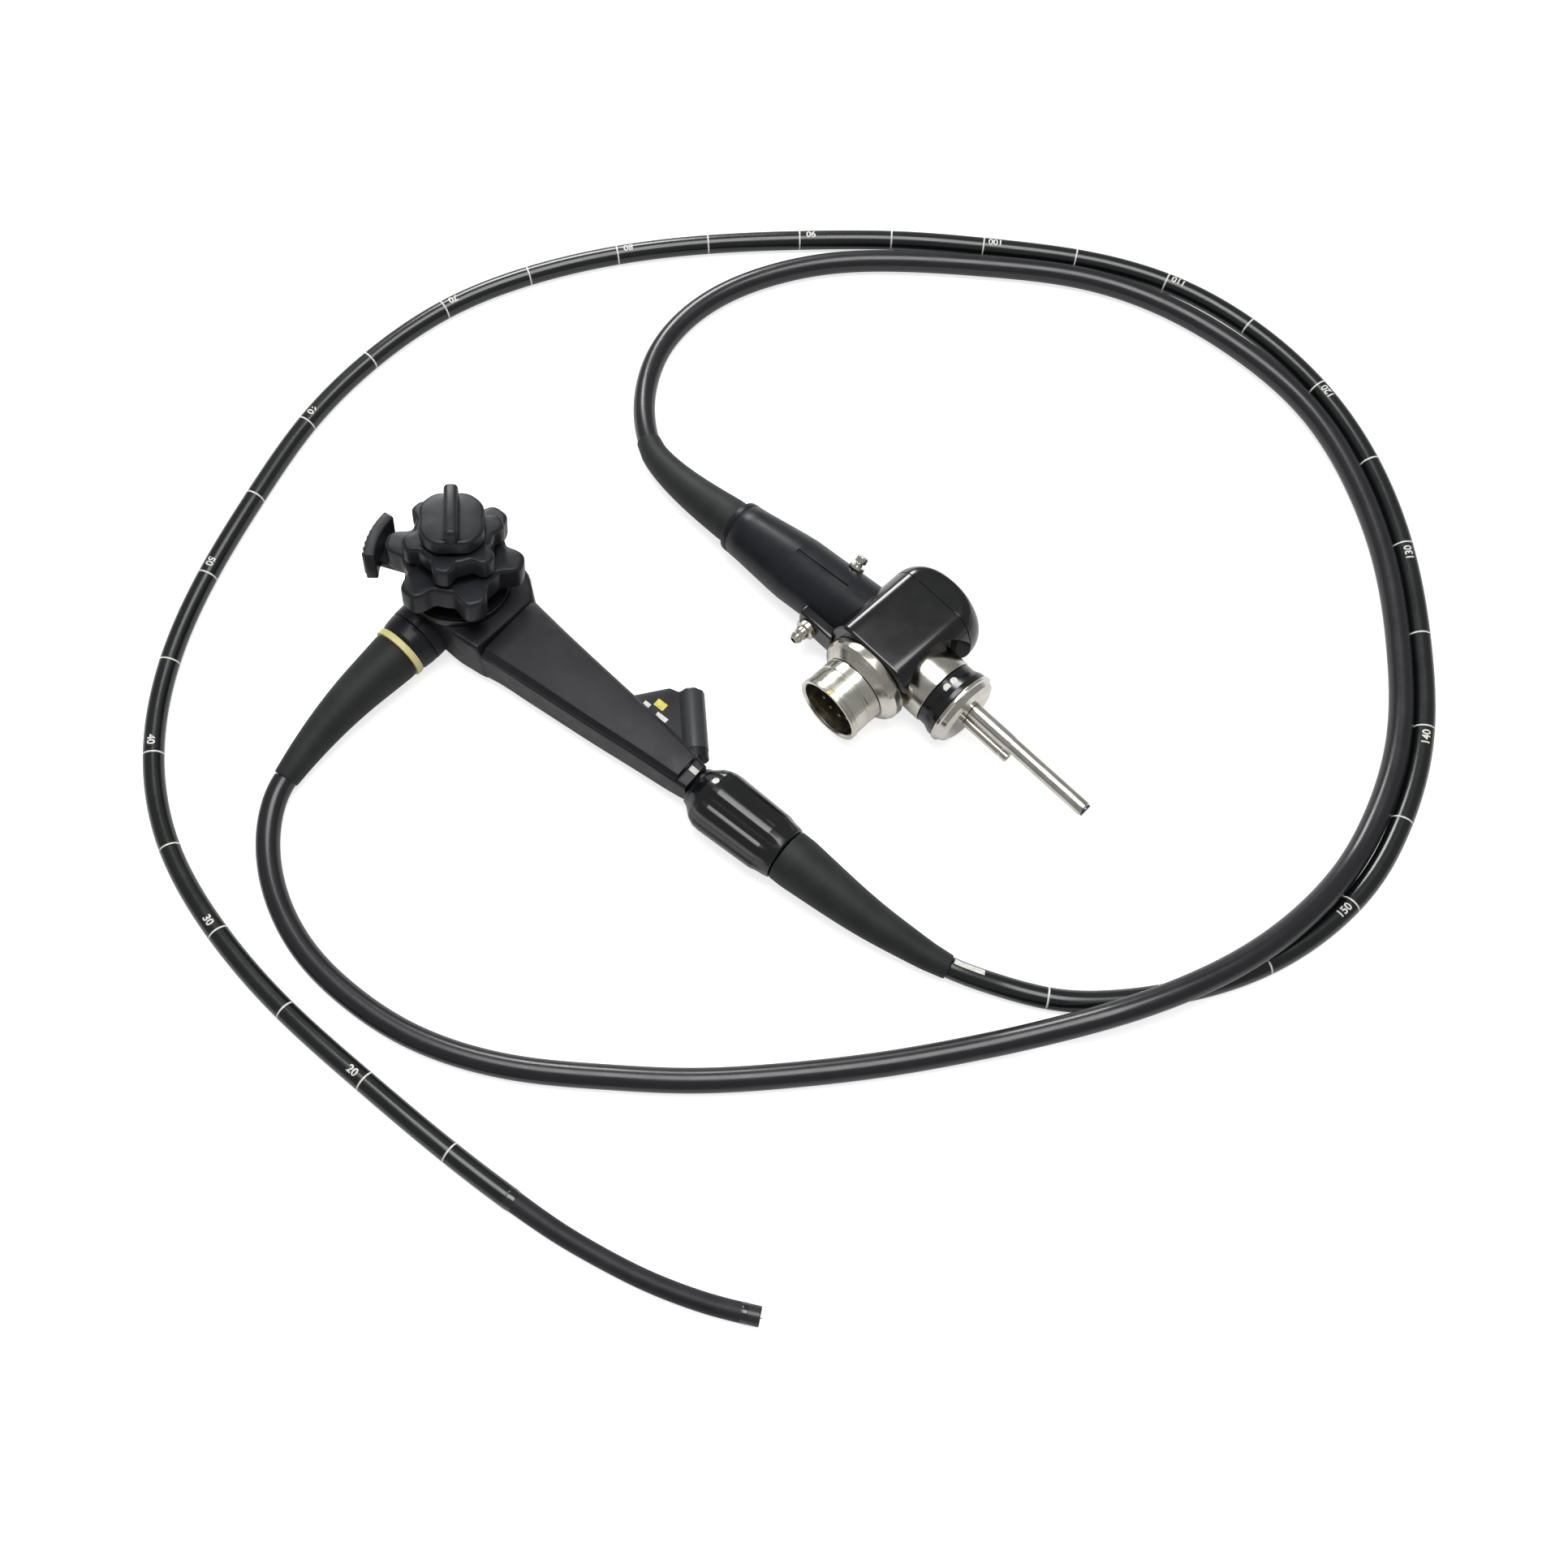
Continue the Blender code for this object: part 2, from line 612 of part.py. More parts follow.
def make_head_fittings(make: Builder) -> None:
    """Add the grip cover, the valve cylinders, the switches and the channel inlet."""
    stations = [s for s in body_stations() if s.x >= GRIP_START_X]
    first = stations[0]
    lifted = []
    for s in [Station(first.x + 1.5 * MM, first.back, first.front, first.low, first.high)] + stations[1:-1]:
        low = max(s.high, GRIP_TOP_Z) + SEAT_GAP
        taper = 1.5 * MM * (s.x - GRIP_START_X) / (GRIP_END_X - GRIP_START_X)
        lifted.append(Station(s.x, s.back + 0.3 * MM, s.front - 0.3 * MM, low,
                              low + COVER_THICKNESS - taper))
    rings = [chamfered_section(s, min(COVER_CHAMFER, 0.8 * (s.high - s.low))) for s in lifted]
    make.from_bmesh("grip_cover", loft(rings), "black_body")

    for name, x, radius in (("suction_cylinder", SUCTION_X, SUCTION_BORE_R),
                            ("air_water_cylinder", WATER_X, WATER_BORE_R)):
        outer = radius + VALVE_WALL
        rim = outer + VALVE_RIM
        top = SEAT_GAP + VALVE_RIM_T
        profile = [(rim - 0.4 * MM, top), (rim, top - 0.4 * MM), (rim, SEAT_GAP),
                   (outer, SEAT_GAP), (outer, -VALVE_DEPTH), (radius, -VALVE_DEPTH),
                   (radius, top - 0.5 * MM), (radius + 0.5 * MM, top)]
        place = Matrix.Translation((x, HEAD_FRONT_Y, VALVE_Z)) @ Matrix.Rotation(
            math.radians(-90), 4, "X")
        make.turned(name, profile, "nickel", 20, closed=True, place=place)

    for index, (x, y, z, direction) in enumerate(switch_places()):
        turn = direction.to_track_quat("Z", "Y").to_matrix().to_4x4()
        place = Matrix.Translation((x, y, z)) @ turn
        top = SWITCH_PROUD
        bottom = SWITCH_PROUD - SWITCH_LENGTH
        profile = [(0.0, top), (SWITCH_R * 0.55, top - 0.15 * MM), (SWITCH_R * 0.85, top - 0.6 * MM),
                   (SWITCH_R, top - 1.4 * MM), (SWITCH_R, bottom), (0.0, bottom)]
        make.turned(f"remote_switch_{index + 1}", profile, "soft_rubber", 20, place=place)

    along = Vector((math.cos(BRANCH_ANGLE), math.sin(BRANCH_ANGLE), 0.0))
    mouth = Vector((BRANCH_MOUTH_X, BRANCH_MOUTH_Y, GRIP_AXIS_Z))
    place = Matrix.Translation(mouth) @ along.to_track_quat("Z", "Y").to_matrix().to_4x4()
    bottom = SEAT_GAP - INLET_SEAT_DEPTH
    profile = [(INLET_R - 0.3 * MM, INLET_PROUD), (INLET_R, INLET_PROUD - 0.3 * MM),
               (INLET_R, bottom), (CHANNEL_R, bottom), (CHANNEL_R, INLET_PROUD - 0.8 * MM),
               (CHANNEL_R + 0.8 * MM, INLET_PROUD)]
    inlet = make.turned("channel_inlet", profile, "nickel", 24, closed=True, place=place)
    lug_length = INLET_R + INLET_LUG
    lugs = make.box_cutter("inlet_lugs", (-lug_length, -1.2 * MM, INLET_PROUD - 1.2 * MM),
                           (lug_length, 1.2 * MM, INLET_PROUD - 0.2 * MM))
    lugs.matrix_local = place
    boolean(inlet, lugs, "UNION")
    core = make.cylinder_cutter("inlet_bore", CHANNEL_R, (0.0, 0.0, bottom - MM),
                                (0.0, 0.0, INLET_PROUD + MM), 24)
    core.matrix_local = place
    boolean(inlet, core)


def chamfered_section(station: Station, chamfer: float) -> list:
    """Return a station's outline with chamfered upper corners."""
    s = station
    flat = [(s.front, s.low), (s.front, s.high - chamfer), (s.front - chamfer * 0.8, s.high),
            (s.back + chamfer * 0.8, s.high), (s.back, s.high - chamfer), (s.back, s.low)]
    return [Vector((s.x, y, z)) for y, z in flat]


@dataclass(frozen=True)
class Stack:
    """Heights of the steering stack, each piece seated on the one below."""

    plate: float
    lever: float
    low_spacer: float
    ud_knob: float
    mid_spacer: float
    lr_knob: float
    top_spacer: float
    brake: float


def stack_heights() -> Stack:
    """Work out where each piece of the steering stack starts above the head's top."""
    plate = SEAT_GAP
    lever = plate + PLATE_T + SEAT_GAP
    low_spacer = lever + LEVER_T + SEAT_GAP
    ud_knob = low_spacer + LOW_SPACER_T + SEAT_GAP
    mid_spacer = ud_knob + UD_KNOB_T + SEAT_GAP
    lr_knob = mid_spacer + MID_SPACER_T + SEAT_GAP
    top_spacer = lr_knob + LR_KNOB_T + SEAT_GAP
    brake = top_spacer + TOP_SPACER_T + SEAT_GAP
    return Stack(plate, lever, low_spacer, ud_knob, mid_spacer, lr_knob, top_spacer, brake)


def make_steering(make: Builder) -> None:
    """Add the shaft, the two steering knobs and their two brakes."""
    z = stack_heights()
    axis = make.empty("steering_axis", (SHAFT_X, SHAFT_Y, HEAD_TOP_Z))
    axis.rotation_euler = (-SHAFT_LEAN, 0.0, 0.0)
    bore = SHAFT_R + RUNNING_GAP
    shaft_top = z.brake + BRAKE_T - SHAFT_END_BELOW_BRAKE_TOP
    profile = [(0.0, shaft_top), (SHAFT_R - 0.5 * MM, shaft_top), (SHAFT_R, shaft_top - 0.5 * MM),
               (SHAFT_R, z.plate + PLATE_T), (PLATE_R - 1 * MM, z.plate + PLATE_T),
               (PLATE_R, z.plate + PLATE_T - 1 * MM), (PLATE_R, z.plate), (0.0, z.plate)]
    make.turned("steering_shaft", profile, "black_gloss", 28, axis)

    for name, low, thickness in (("low_spacer", z.low_spacer, LOW_SPACER_T),
                                 ("mid_spacer", z.mid_spacer, MID_SPACER_T),
                                 ("top_spacer", z.top_spacer, TOP_SPACER_T)):
        ring = [(SPACER_R, low + thickness), (SPACER_R, low), (bore, low), (bore, low + thickness)]
        make.turned(name, ring, "black_gloss", 20, axis, closed=True)

    lever = make.plate("ud_brake_lever", [circle(LEVER_HUB_R, 32), circle(bore, 32)], z.lever,
                       z.lever + LEVER_T, "knob_grey", parent=axis)
    inner = LEVER_PAD_R - LEVER_PAD_T
    arm = make.box_cutter("lever_arm", (LEVER_HUB_R - 4 * MM, -5.5 * MM, z.lever),
                          (inner + 2 * MM, 5.5 * MM, z.lever + LEVER_T), axis)
    arm.rotation_euler = (0.0, 0.0, LEVER_ANGLE)
    boolean(lever, arm, "UNION")
    outline = []
    ribs = 36
    for i in range(ribs + 1):
        turn = LEVER_ANGLE + LEVER_PAD_ARC * (i / ribs - 0.5)
        ripple = 0.5 * MM * math.cos(2 * math.pi * i / 6)
        outline.append(((LEVER_PAD_R + ripple) * math.cos(turn),
                        (LEVER_PAD_R + ripple) * math.sin(turn)))
    for i in range(13):
        turn = LEVER_ANGLE + LEVER_PAD_ARC * (0.5 - i / 12)
        outline.append((inner * math.cos(turn), inner * math.sin(turn)))
    pad = make.plate("lever_pad", [outline], z.lever, z.lever + LEVER_PAD_HEIGHT, "knob_grey",
                     parent=axis)
    boolean(lever, make.cutter("lever_pad", pad), "UNION")

    for name, radius, notch, lobes, phase, low, thickness, rim in (
            ("ud_knob", UD_KNOB_R, UD_KNOB_NOTCH, UD_KNOB_LOBES, UD_KNOB_PHASE, z.ud_knob,
             UD_KNOB_T, UD_KNOB_RIM),
            ("lr_knob", LR_KNOB_R, LR_KNOB_NOTCH, LR_KNOB_LOBES, LR_KNOB_PHASE, z.lr_knob,
             LR_KNOB_T, LR_KNOB_RIM)):
        high = low + thickness
        outline = lobed(radius, notch, lobes, phase, LOBE_SHARE, lobes * LOBE_POINTS)
        knob = make.plate(name, [outline], low, high, "knob_grey", KNOB_BEVEL, 1, axis)
        dish = make.cylinder_cutter(f"{name}_dish", radius - notch - rim, (0, 0, high - DISH_DEPTH),
                                    (0, 0, high + 2 * MM), parent=axis)
        boolean(knob, dish)
        hole = make.cylinder_cutter(f"{name}_bore", bore, (0, 0, low - MM), (0, 0, high + MM),
                                    parent=axis)
        boolean(knob, hole)

    disc = lobed(BRAKE_R, BRAKE_NOTCH, BRAKE_LOBES, RIDGE_ANGLE + math.pi / BRAKE_LOBES, 0.7, 40)
    brake = make.plate("lr_brake_knob", [disc], z.brake, z.brake + BRAKE_T, "knob_grey",
                       1.2 * MM, 1, axis)
    bm = bmesh.new()
    bmesh.ops.create_cube(bm, size=1.0)
    bmesh.ops.scale(bm, vec=(RIDGE_LENGTH, RIDGE_WIDTH, RIDGE_HEIGHT + 3 * MM), verts=bm.verts)
    top_edges = [e for e in bm.edges if all(v.co.z > 0 for v in e.verts)]
    bmesh.ops.bevel(bm, geom=top_edges, offset=2.2 * MM, segments=3, affect="EDGES", profile=0.5)
    bmesh.ops.translate(bm, vec=(0, 0, z.brake + BRAKE_T + (RIDGE_HEIGHT - 3 * MM) / 2),
                        verts=bm.verts)
    bmesh.ops.rotate(bm, cent=(0, 0, 0), matrix=Matrix.Rotation(RIDGE_ANGLE, 3, "Z"),
                     verts=bm.verts)
    ridge = make.cutter("brake_ridge", make.from_bmesh("brake_ridge", bm, "knob_grey", axis))
    boolean(brake, ridge, "UNION")
    hole = make.cylinder_cutter("brake_bore", bore, (0, 0, z.brake - MM),
                                (0, 0, shaft_top + SEAT_GAP), parent=axis)
    boolean(brake, hole)


def make_insertion_root(make: Builder) -> tuple:
    """Add the stiffness ring on its core and the insertion boot; return the tube's start."""
    start = GRIP_END_X + SEAT_GAP
    end = start + RING_LENGTH + 2 * SEAT_GAP
    axis = Matrix.Translation((0.0, GRIP_AXIS_Y, GRIP_AXIS_Z)) @ Matrix.Rotation(
        math.radians(90), 4, "Y")
    core = [(0.0, end), (CORE_R, end), (CORE_R, start), (0.0, start)]
    make.turned("ring_core", core, "black_gloss", place=axis)

    ring_start = start + SEAT_GAP
    shape = ((0.0, 9.6, 0.0), (2.5, 10.6, 0.0), (7.0, 14.4, 0.3), (10.5, 15.9, 0.9),
             (14.0, RING_R / MM, 1.0), (RING_LENGTH / MM - 9.0, 15.2, 1.0),
             (RING_LENGTH / MM - 6.0, 14.4, 0.5), (RING_LENGTH / MM, 13.2, 0.0))
    rings = []
    count = 40
    for x, radius, rib in shape:
        row = []
        for i in range(count):
            turn = 2 * math.pi * i / count
            wave = math.cos(RING_RIBS * turn)
            r = radius * MM - rib * RING_RIB_DEPTH * (1 - max(-0.6, min(0.6, wave)) / 0.6) / 2
            row.append(Vector((ring_start + x * MM, GRIP_AXIS_Y + r * math.cos(turn),
                               GRIP_AXIS_Z + r * math.sin(turn))))
        rings.append(row)
    ring = make.from_bmesh("stiffness_ring", loft(rings), "black_gloss")
    bore = make.cylinder_cutter("ring_bore", CORE_R + RUNNING_GAP,
                                (start - 2 * MM, GRIP_AXIS_Y, GRIP_AXIS_Z),
                                (end + 2 * MM, GRIP_AXIS_Y, GRIP_AXIS_Z))
    boolean(ring, bore)

    boot_x = end + SEAT_GAP
    route = [(boot_x, GRIP_AXIS_Y, GRIP_AXIS_Z)] + [
        (boot_x + along * INSERTION_BOOT_REACH, GRIP_AXIS_Y + side * INSERTION_BOOT_DRIFT,
         GRIP_AXIS_Z - down * INSERTION_BOOT_DROP)
        for along, side, down in ((0.28, 0.03, 0.17), (0.55, 0.2, 0.48), (0.78, 0.54, 0.78),
                                  (1.0, 1.0, 1.0))]
    leave = (19.0, 5.4, -1.4)
    points = smooth_route(route, (1, 0, 0), leave, INSERTION_BOOT_REACH / 10)
    radii = taper(points, INSERTION_BOOT_R, INSERTION_BOOT_END_R, 0.08)
    make.tube("insertion_boot", points, radii, "soft_rubber", 4)
    away = Vector(leave).normalized()
    return points[-1] + away * SEAT_GAP, away


def taper(points, first: float, last: float, straight: float) -> list:
    """Return radii that run from first to last along points after a straight share."""
    total = sum((b - a).length for a, b in zip(points, points[1:]))
    run = 0.0
    radii = []
    for i, point in enumerate(points):
        if i:
            run += (point - points[i - 1]).length
        share = max(0.0, run / total - straight) / (1 - straight)
        radii.append(first + (last - first) * share)
    return radii


def make_cord_root(make: Builder) -> tuple:
    """Add the cord outlet on the head's back; return the cord's start."""
    place = Matrix.Translation((OUTLET_X, 0.0, OUTLET_Z)) @ Matrix.Rotation(
        math.radians(90), 4, "X")
    start = -BOSS_END_Y + SEAT_GAP
    end = start + COLLAR_LENGTH
    r = OUTLET_R - 0.2 * MM
    profile = [(0.0, end), (r - 1.4 * MM, end), (r - 0.6 * MM, end - 1.6 * MM), (r, start + 2 * MM),
               (r, start), (0.0, start)]
    make.turned("cord_collar", profile, "black_gloss", 28, place=place)
    low = end + SEAT_GAP
    high = low + ID_RING_LENGTH
    profile = [(0.0, high), (ID_RING_R - 0.4 * MM, high), (ID_RING_R, high - 0.4 * MM),
               (ID_RING_R, low + 0.4 * MM), (ID_RING_R - 0.4 * MM, low), (0.0, low)]
    make.turned("identification_ring", profile, "ring_yellow", 28, place=place)
    boot_y = -(high + SEAT_GAP)
    route = [(OUTLET_X, boot_y, OUTLET_Z)] + [
        (OUTLET_X + side * CORD_BOOT_DRIFT, boot_y - along * CORD_BOOT_REACH,
         OUTLET_Z - down * CORD_BOOT_DROP)
        for along, side, down in ((0.33, -1.0, 0.17), (0.66, -1.0, 0.54), (1.0, 1.0, 1.0))]
    leave = (2.6, -19.0, -2.6)
    points = smooth_route(route, (0, -1, 0), leave, CORD_BOOT_REACH / 9)
    radii = taper(points, CORD_BOOT_R, CORD_BOOT_END_R, 0.03)
    make.tube("cord_boot", points, radii, "soft_rubber", 4)
    away = Vector(leave).normalized()
    return points[-1] + away * SEAT_GAP, away


def connector_frame() -> Matrix:
    """Return the connector's own frame in the model's frame."""
    return Matrix.Translation((*CONNECTOR_PLACE, 0.0)) @ Matrix.Rotation(CONNECTOR_TURN, 4, "Z")


def make_connector(make: Builder) -> tuple:
    """Add the light guide connector; return where the cord ends at its boot."""
    frame = make.empty("connector_frame", (*CONNECTOR_PLACE, 0.0), CONNECTOR_TURN)
    barrel_z = BARREL_R + BARREL_GROUND
    across = Matrix.Translation((BARREL_CENTRE_X, 0.0, barrel_z)) @ Matrix.Rotation(
        math.radians(-90), 4, "X")

    body = make.turned("connector_body", [
        (0.0, BARREL_SEAM_Y), (BARREL_R, BARREL_SEAM_Y), (BARREL_R, BARREL_BACK_Y + 1.5 * MM),
        (BARREL_R - 1.5 * MM, BARREL_BACK_Y), (0.0, BARREL_BACK_Y)], "black_gloss", 32, frame,
        place=across)
    block = make.box_cutter(
        "nipple_block", (NIPPLE_X - NIPPLE_BLOCK / 2, BARREL_BACK_Y - 2 * MM,
                         NIPPLE_Z - NIPPLE_BLOCK / 2),
        (SOCKET_X - SOCKET_COLLAR_R - MM, -8 * MM, NIPPLE_Z + NIPPLE_BLOCK / 2), frame)
    boolean(body, block, "UNION")
    face = make.box_cutter("flat_face", (BARREL_CENTRE_X - 30 * MM, -60 * MM, BARREL_FACE_Z),
                           (BARREL_CENTRE_X + 30 * MM, 60 * MM, BARREL_FACE_Z + 20 * MM), frame)
    boolean(body, face)
    along = Matrix.Translation((0.0, SLEEVE_Y, SLEEVE_Z)) @ Matrix.Rotation(
        SLEEVE_TURN, 4, "Z") @ Matrix.Rotation(math.radians(90) - SLEEVE_DIP, 4, "Y")
    sleeve_seat = make.cylinder_cutter("sleeve_seat", SLEEVE_R + SEAT_GAP, (0, 0, -40 * MM),
                                       (0, 0, SLEEVE_SEAT_DEPTH + SEAT_GAP), 32, frame)
    sleeve_seat.matrix_local = along
    boolean(body, sleeve_seat)
    guide = Matrix.Translation((0.0, NECK_Y, NECK_Z)) @ Matrix.Rotation(math.radians(90), 4, "Y")
    narrow = NECK_R + NECK_POCKET_GAP
    pocket = make.turned("neck_pocket", [
        (0.0, 80 * MM), (POCKET_MOUTH_R, 80 * MM), (POCKET_MOUTH_R, POCKET_MOUTH_X),
        (narrow, NECK_START_X + 3 * MM), (narrow, NECK_START_X - SEAT_GAP),
        (0.0, NECK_START_X - SEAT_GAP)], "black_gloss", 32, frame, place=guide)
    boolean(body, make.cutter("neck_pocket", pocket))

    end = BARREL_END_Y
    seam = BARREL_SEAM_Y + SEAT_GAP
    corner = end - seam - 1 * MM
    profile = [(0.0, end)]
    for i in range(7):
        turn = math.radians(90 - 15 * i)
        profile.append((BARREL_R - corner + corner * math.cos(turn),
                        end - corner + corner * math.sin(turn)))
    profile += [(BARREL_R, seam), (0.0, seam)]
    cap = make.turned("connector_cap", profile, "black_gloss", 32, frame, place=across)
    boolean(cap, face)

    tail = -SLEEVE_LENGTH
    sleeve = make.turned("connector_sleeve", [
        (0.0, SLEEVE_SEAT_DEPTH), (SLEEVE_R, SLEEVE_SEAT_DEPTH), (SLEEVE_R, -38 * MM),
        (SLEEVE_R - 0.5 * MM, -45 * MM), (SLEEVE_START_R + 0.4 * MM, tail + 10 * MM),
        (SLEEVE_START_R, tail + 1 * MM), (SLEEVE_START_R - 1 * MM, tail), (0.0, tail)],
        "black_body", 28, frame, place=along)
    groove = make.box_cutter("sleeve_groove", (-SLEEVE_R - 3 * MM, -0.9 * MM, -38 * MM),
                             (-SLEEVE_R + 0.9 * MM, 0.9 * MM, -6 * MM), frame)
    groove.matrix_local = along
    boolean(sleeve, groove)

    socket = Matrix.Translation((SOCKET_X, 0.0, SOCKET_Z)) @ Matrix.Rotation(
        math.radians(90), 4, "X")
    first = -BARREL_BACK_Y + SEAT_GAP
    last = first + SOCKET_COLLAR_LENGTH
    make.turned("socket_collar", [
        (0.0, last), (SOCKET_R + 0.6 * MM, last), (SOCKET_COLLAR_R - 1 * MM, first + 6 * MM),
        (SOCKET_COLLAR_R, first + 4 * MM),
        (SOCKET_COLLAR_R, first), (0.0, first)], "nickel", 28, frame, place=socket)
    low = last + SEAT_GAP
    high = low + SOCKET_LENGTH
    shell_r = SOCKET_R
    make.turned("socket_shell", [
        (shell_r - 0.5 * MM, high), (shell_r, high - 0.5 * MM), (shell_r, high - 2.5 * MM),
        (shell_r - 0.5 * MM, high - 3.2 * MM), (shell_r - 0.5 * MM, low),
        (SOCKET_BORE_R, low), (SOCKET_BORE_R, high - 0.6 * MM), (SOCKET_BORE_R + 0.6 * MM, high)],
        "nickel", 28, frame, closed=True, place=socket)
    insert = make.turned("contact_insert", [
        (0.0, low + CONTACT_T), (SOCKET_BORE_R - SEAT_GAP, low + CONTACT_T),
        (SOCKET_BORE_R - SEAT_GAP, low), (0.0, low)], "dark_insert", 28, frame, place=socket)
    for i in range(CONTACT_PINS):
        turn = 2 * math.pi * i / CONTACT_PINS
        spot = Vector((0.62 * SOCKET_BORE_R * math.cos(turn),
                       0.62 * SOCKET_BORE_R * math.sin(turn), low + 1 * MM))
        tip = spot + Vector((0, 0, CONTACT_T - 1 * MM + CONTACT_PIN_LENGTH))
        pin = make.cylinder_cutter(f"contact_pin_{i + 1}", CONTACT_PIN_R, spot, tip, 6, frame)
        pin.matrix_local = socket
        boolean(insert, pin, "UNION")

    make.turned("light_guide_neck", [
        (0.0, NECK_END_X), (NECK_R - 0.4 * MM, NECK_END_X), (NECK_R, NECK_END_X - 0.4 * MM),
        (NECK_R, NECK_START_X), (0.0, NECK_START_X)], "nickel", 28, frame, place=guide)
    band = NECK_END_X + SEAT_GAP
    band_end = band + BAND_LENGTH
    make.turned("light_guide_band", [
        (0.0, band_end), (BAND_R - 0.3 * MM, band_end), (BAND_R, band_end - 0.3 * MM),
        (BAND_R, band_end - 2.5 * MM), (NECK_R - 0.4 * MM, band_end - 6 * MM),
        (NECK_R - 0.6 * MM, band), (0.0, band)], "black_gloss", 28, frame, place=guide)
    flange = band_end + SEAT_GAP
    flange_end = flange + FLANGE_T
    make.turned("light_guide_flange", [
        (0.0, flange_end), (FLANGE_R - 5 * MM, flange_end), (FLANGE_R - 2 * MM, flange_end - 1.5 * MM),
        (FLANGE_R - 1 * MM, flange + 2 * MM), (FLANGE_R, flange + 1.6 * MM), (FLANGE_R, flange + 0.3 * MM),
        (FLANGE_R - 0.3 * MM, flange), (0.0, flange)], "nickel", 28, frame, place=guide)
    rod = Matrix.Translation((flange_end + SEAT_GAP, ROD_Y, ROD_Z)) @ Matrix.Rotation(
        math.radians(90), 4, "Y")
    make.turned("light_guide_rod", [
        (0.0, ROD_LENGTH), (ROD_R - 0.5 * MM, ROD_LENGTH), (ROD_R - 0.3 * MM, ROD_LENGTH - 2 * MM),
        (ROD_R - 0.3 * MM, 24 * MM), (ROD_R, 22 * MM), (ROD_R, 0.0), (0.0, 0.0)], "nickel", 24,
        frame, place=rod)
    make.turned("light_guide_window", [
        (0.0, ROD_LENGTH + SEAT_GAP + ROD_WINDOW_T),
        (ROD_R - 1.0 * MM, ROD_LENGTH + SEAT_GAP + ROD_WINDOW_T - 0.2 * MM),
        (ROD_R - 0.8 * MM, ROD_LENGTH + SEAT_GAP), (0.0, ROD_LENGTH + SEAT_GAP)], "optic_glass", 24,
        frame, place=rod)
    pipe = Matrix.Translation((flange_end + SEAT_GAP, AIR_PIPE_Y, AIR_PIPE_Z)) @ Matrix.Rotation(
        math.radians(90), 4, "Y")
    make.turned("air_pipe", [
        (AIR_PIPE_R - 0.3 * MM, AIR_PIPE_LENGTH), (AIR_PIPE_R, AIR_PIPE_LENGTH - 0.3 * MM),
        (AIR_PIPE_R, 0.0), (PIPE_BORE_R, 0.0), (PIPE_BORE_R, AIR_PIPE_LENGTH)], "nickel", 20,
        frame, closed=True, place=pipe)

    spigot = Matrix.Translation((NIPPLE_X, BARREL_BACK_Y - 2 * MM - SEAT_GAP, NIPPLE_Z)) @ \
        Matrix.Rotation(math.radians(90), 4, "X")
    tip = NIPPLE_LENGTH
    make.turned("suction_nipple", [
        (2.2 * MM, tip), (3.2 * MM, tip - 2.5 * MM), (2.5 * MM, tip - 3 * MM), (3.4 * MM, 5 * MM),
        (3.4 * MM, 3 * MM), (5.2 * MM, 2.6 * MM), (5.2 * MM, 0.0), (PIPE_BORE_R, 0.0),
        (PIPE_BORE_R, tip)], "nickel", 20, frame, closed=True, place=spigot)
    up = Vector((-0.6, 0.8, 0.0))
    seat = up * (SLEEVE_R + SEAT_GAP)
    vent = along @ Matrix.Translation((seat.x, seat.y, -VENT_BACK)) @ \
        up.to_track_quat("Z", "Y").to_matrix().to_4x4()
    make.turned("vent_nipple", [
        (0.0, 6.6 * MM), (2.4 * MM, 6.6 * MM), (3.0 * MM, 6.0 * MM), (3.0 * MM, 3.4 * MM),
        (2.0 * MM, 2.8 * MM), (2.0 * MM, 1.6 * MM), (4.0 * MM, 1.4 * MM), (4.0 * MM, 0.0),
        (0.0, 0.0)], "nickel", 24, frame, place=vent)

    place = connector_frame() @ along
    joint = place @ Vector((0.0, 0.0, tail - SEAT_GAP))
    inward = place.to_3x3() @ Vector((0.0, 0.0, 1.0))
    route = [joint] + [joint + Vector((dx * MM, dy * MM, -dz * MM)) for dx, dy, dz in (
        (-18.5, 0.8, 1.5), (-36, 2.4, 3.4), (-53.5, 5.6, 5.2), (-70, 12.6, 6.4))]
    enter = (13.0, -10.0, 0.8)
    points = smooth_route(route[::-1], enter, inward, 9.0 * MM)
    radii = taper(points[::-1], CONNECTOR_BOOT_R, CONNECTOR_BOOT_END_R, 0.08)[::-1]
    make.tube("connector_boot", points, radii, "soft_rubber", 4)
    into = Vector(enter).normalized()
    return points[0] - into * SEAT_GAP, into


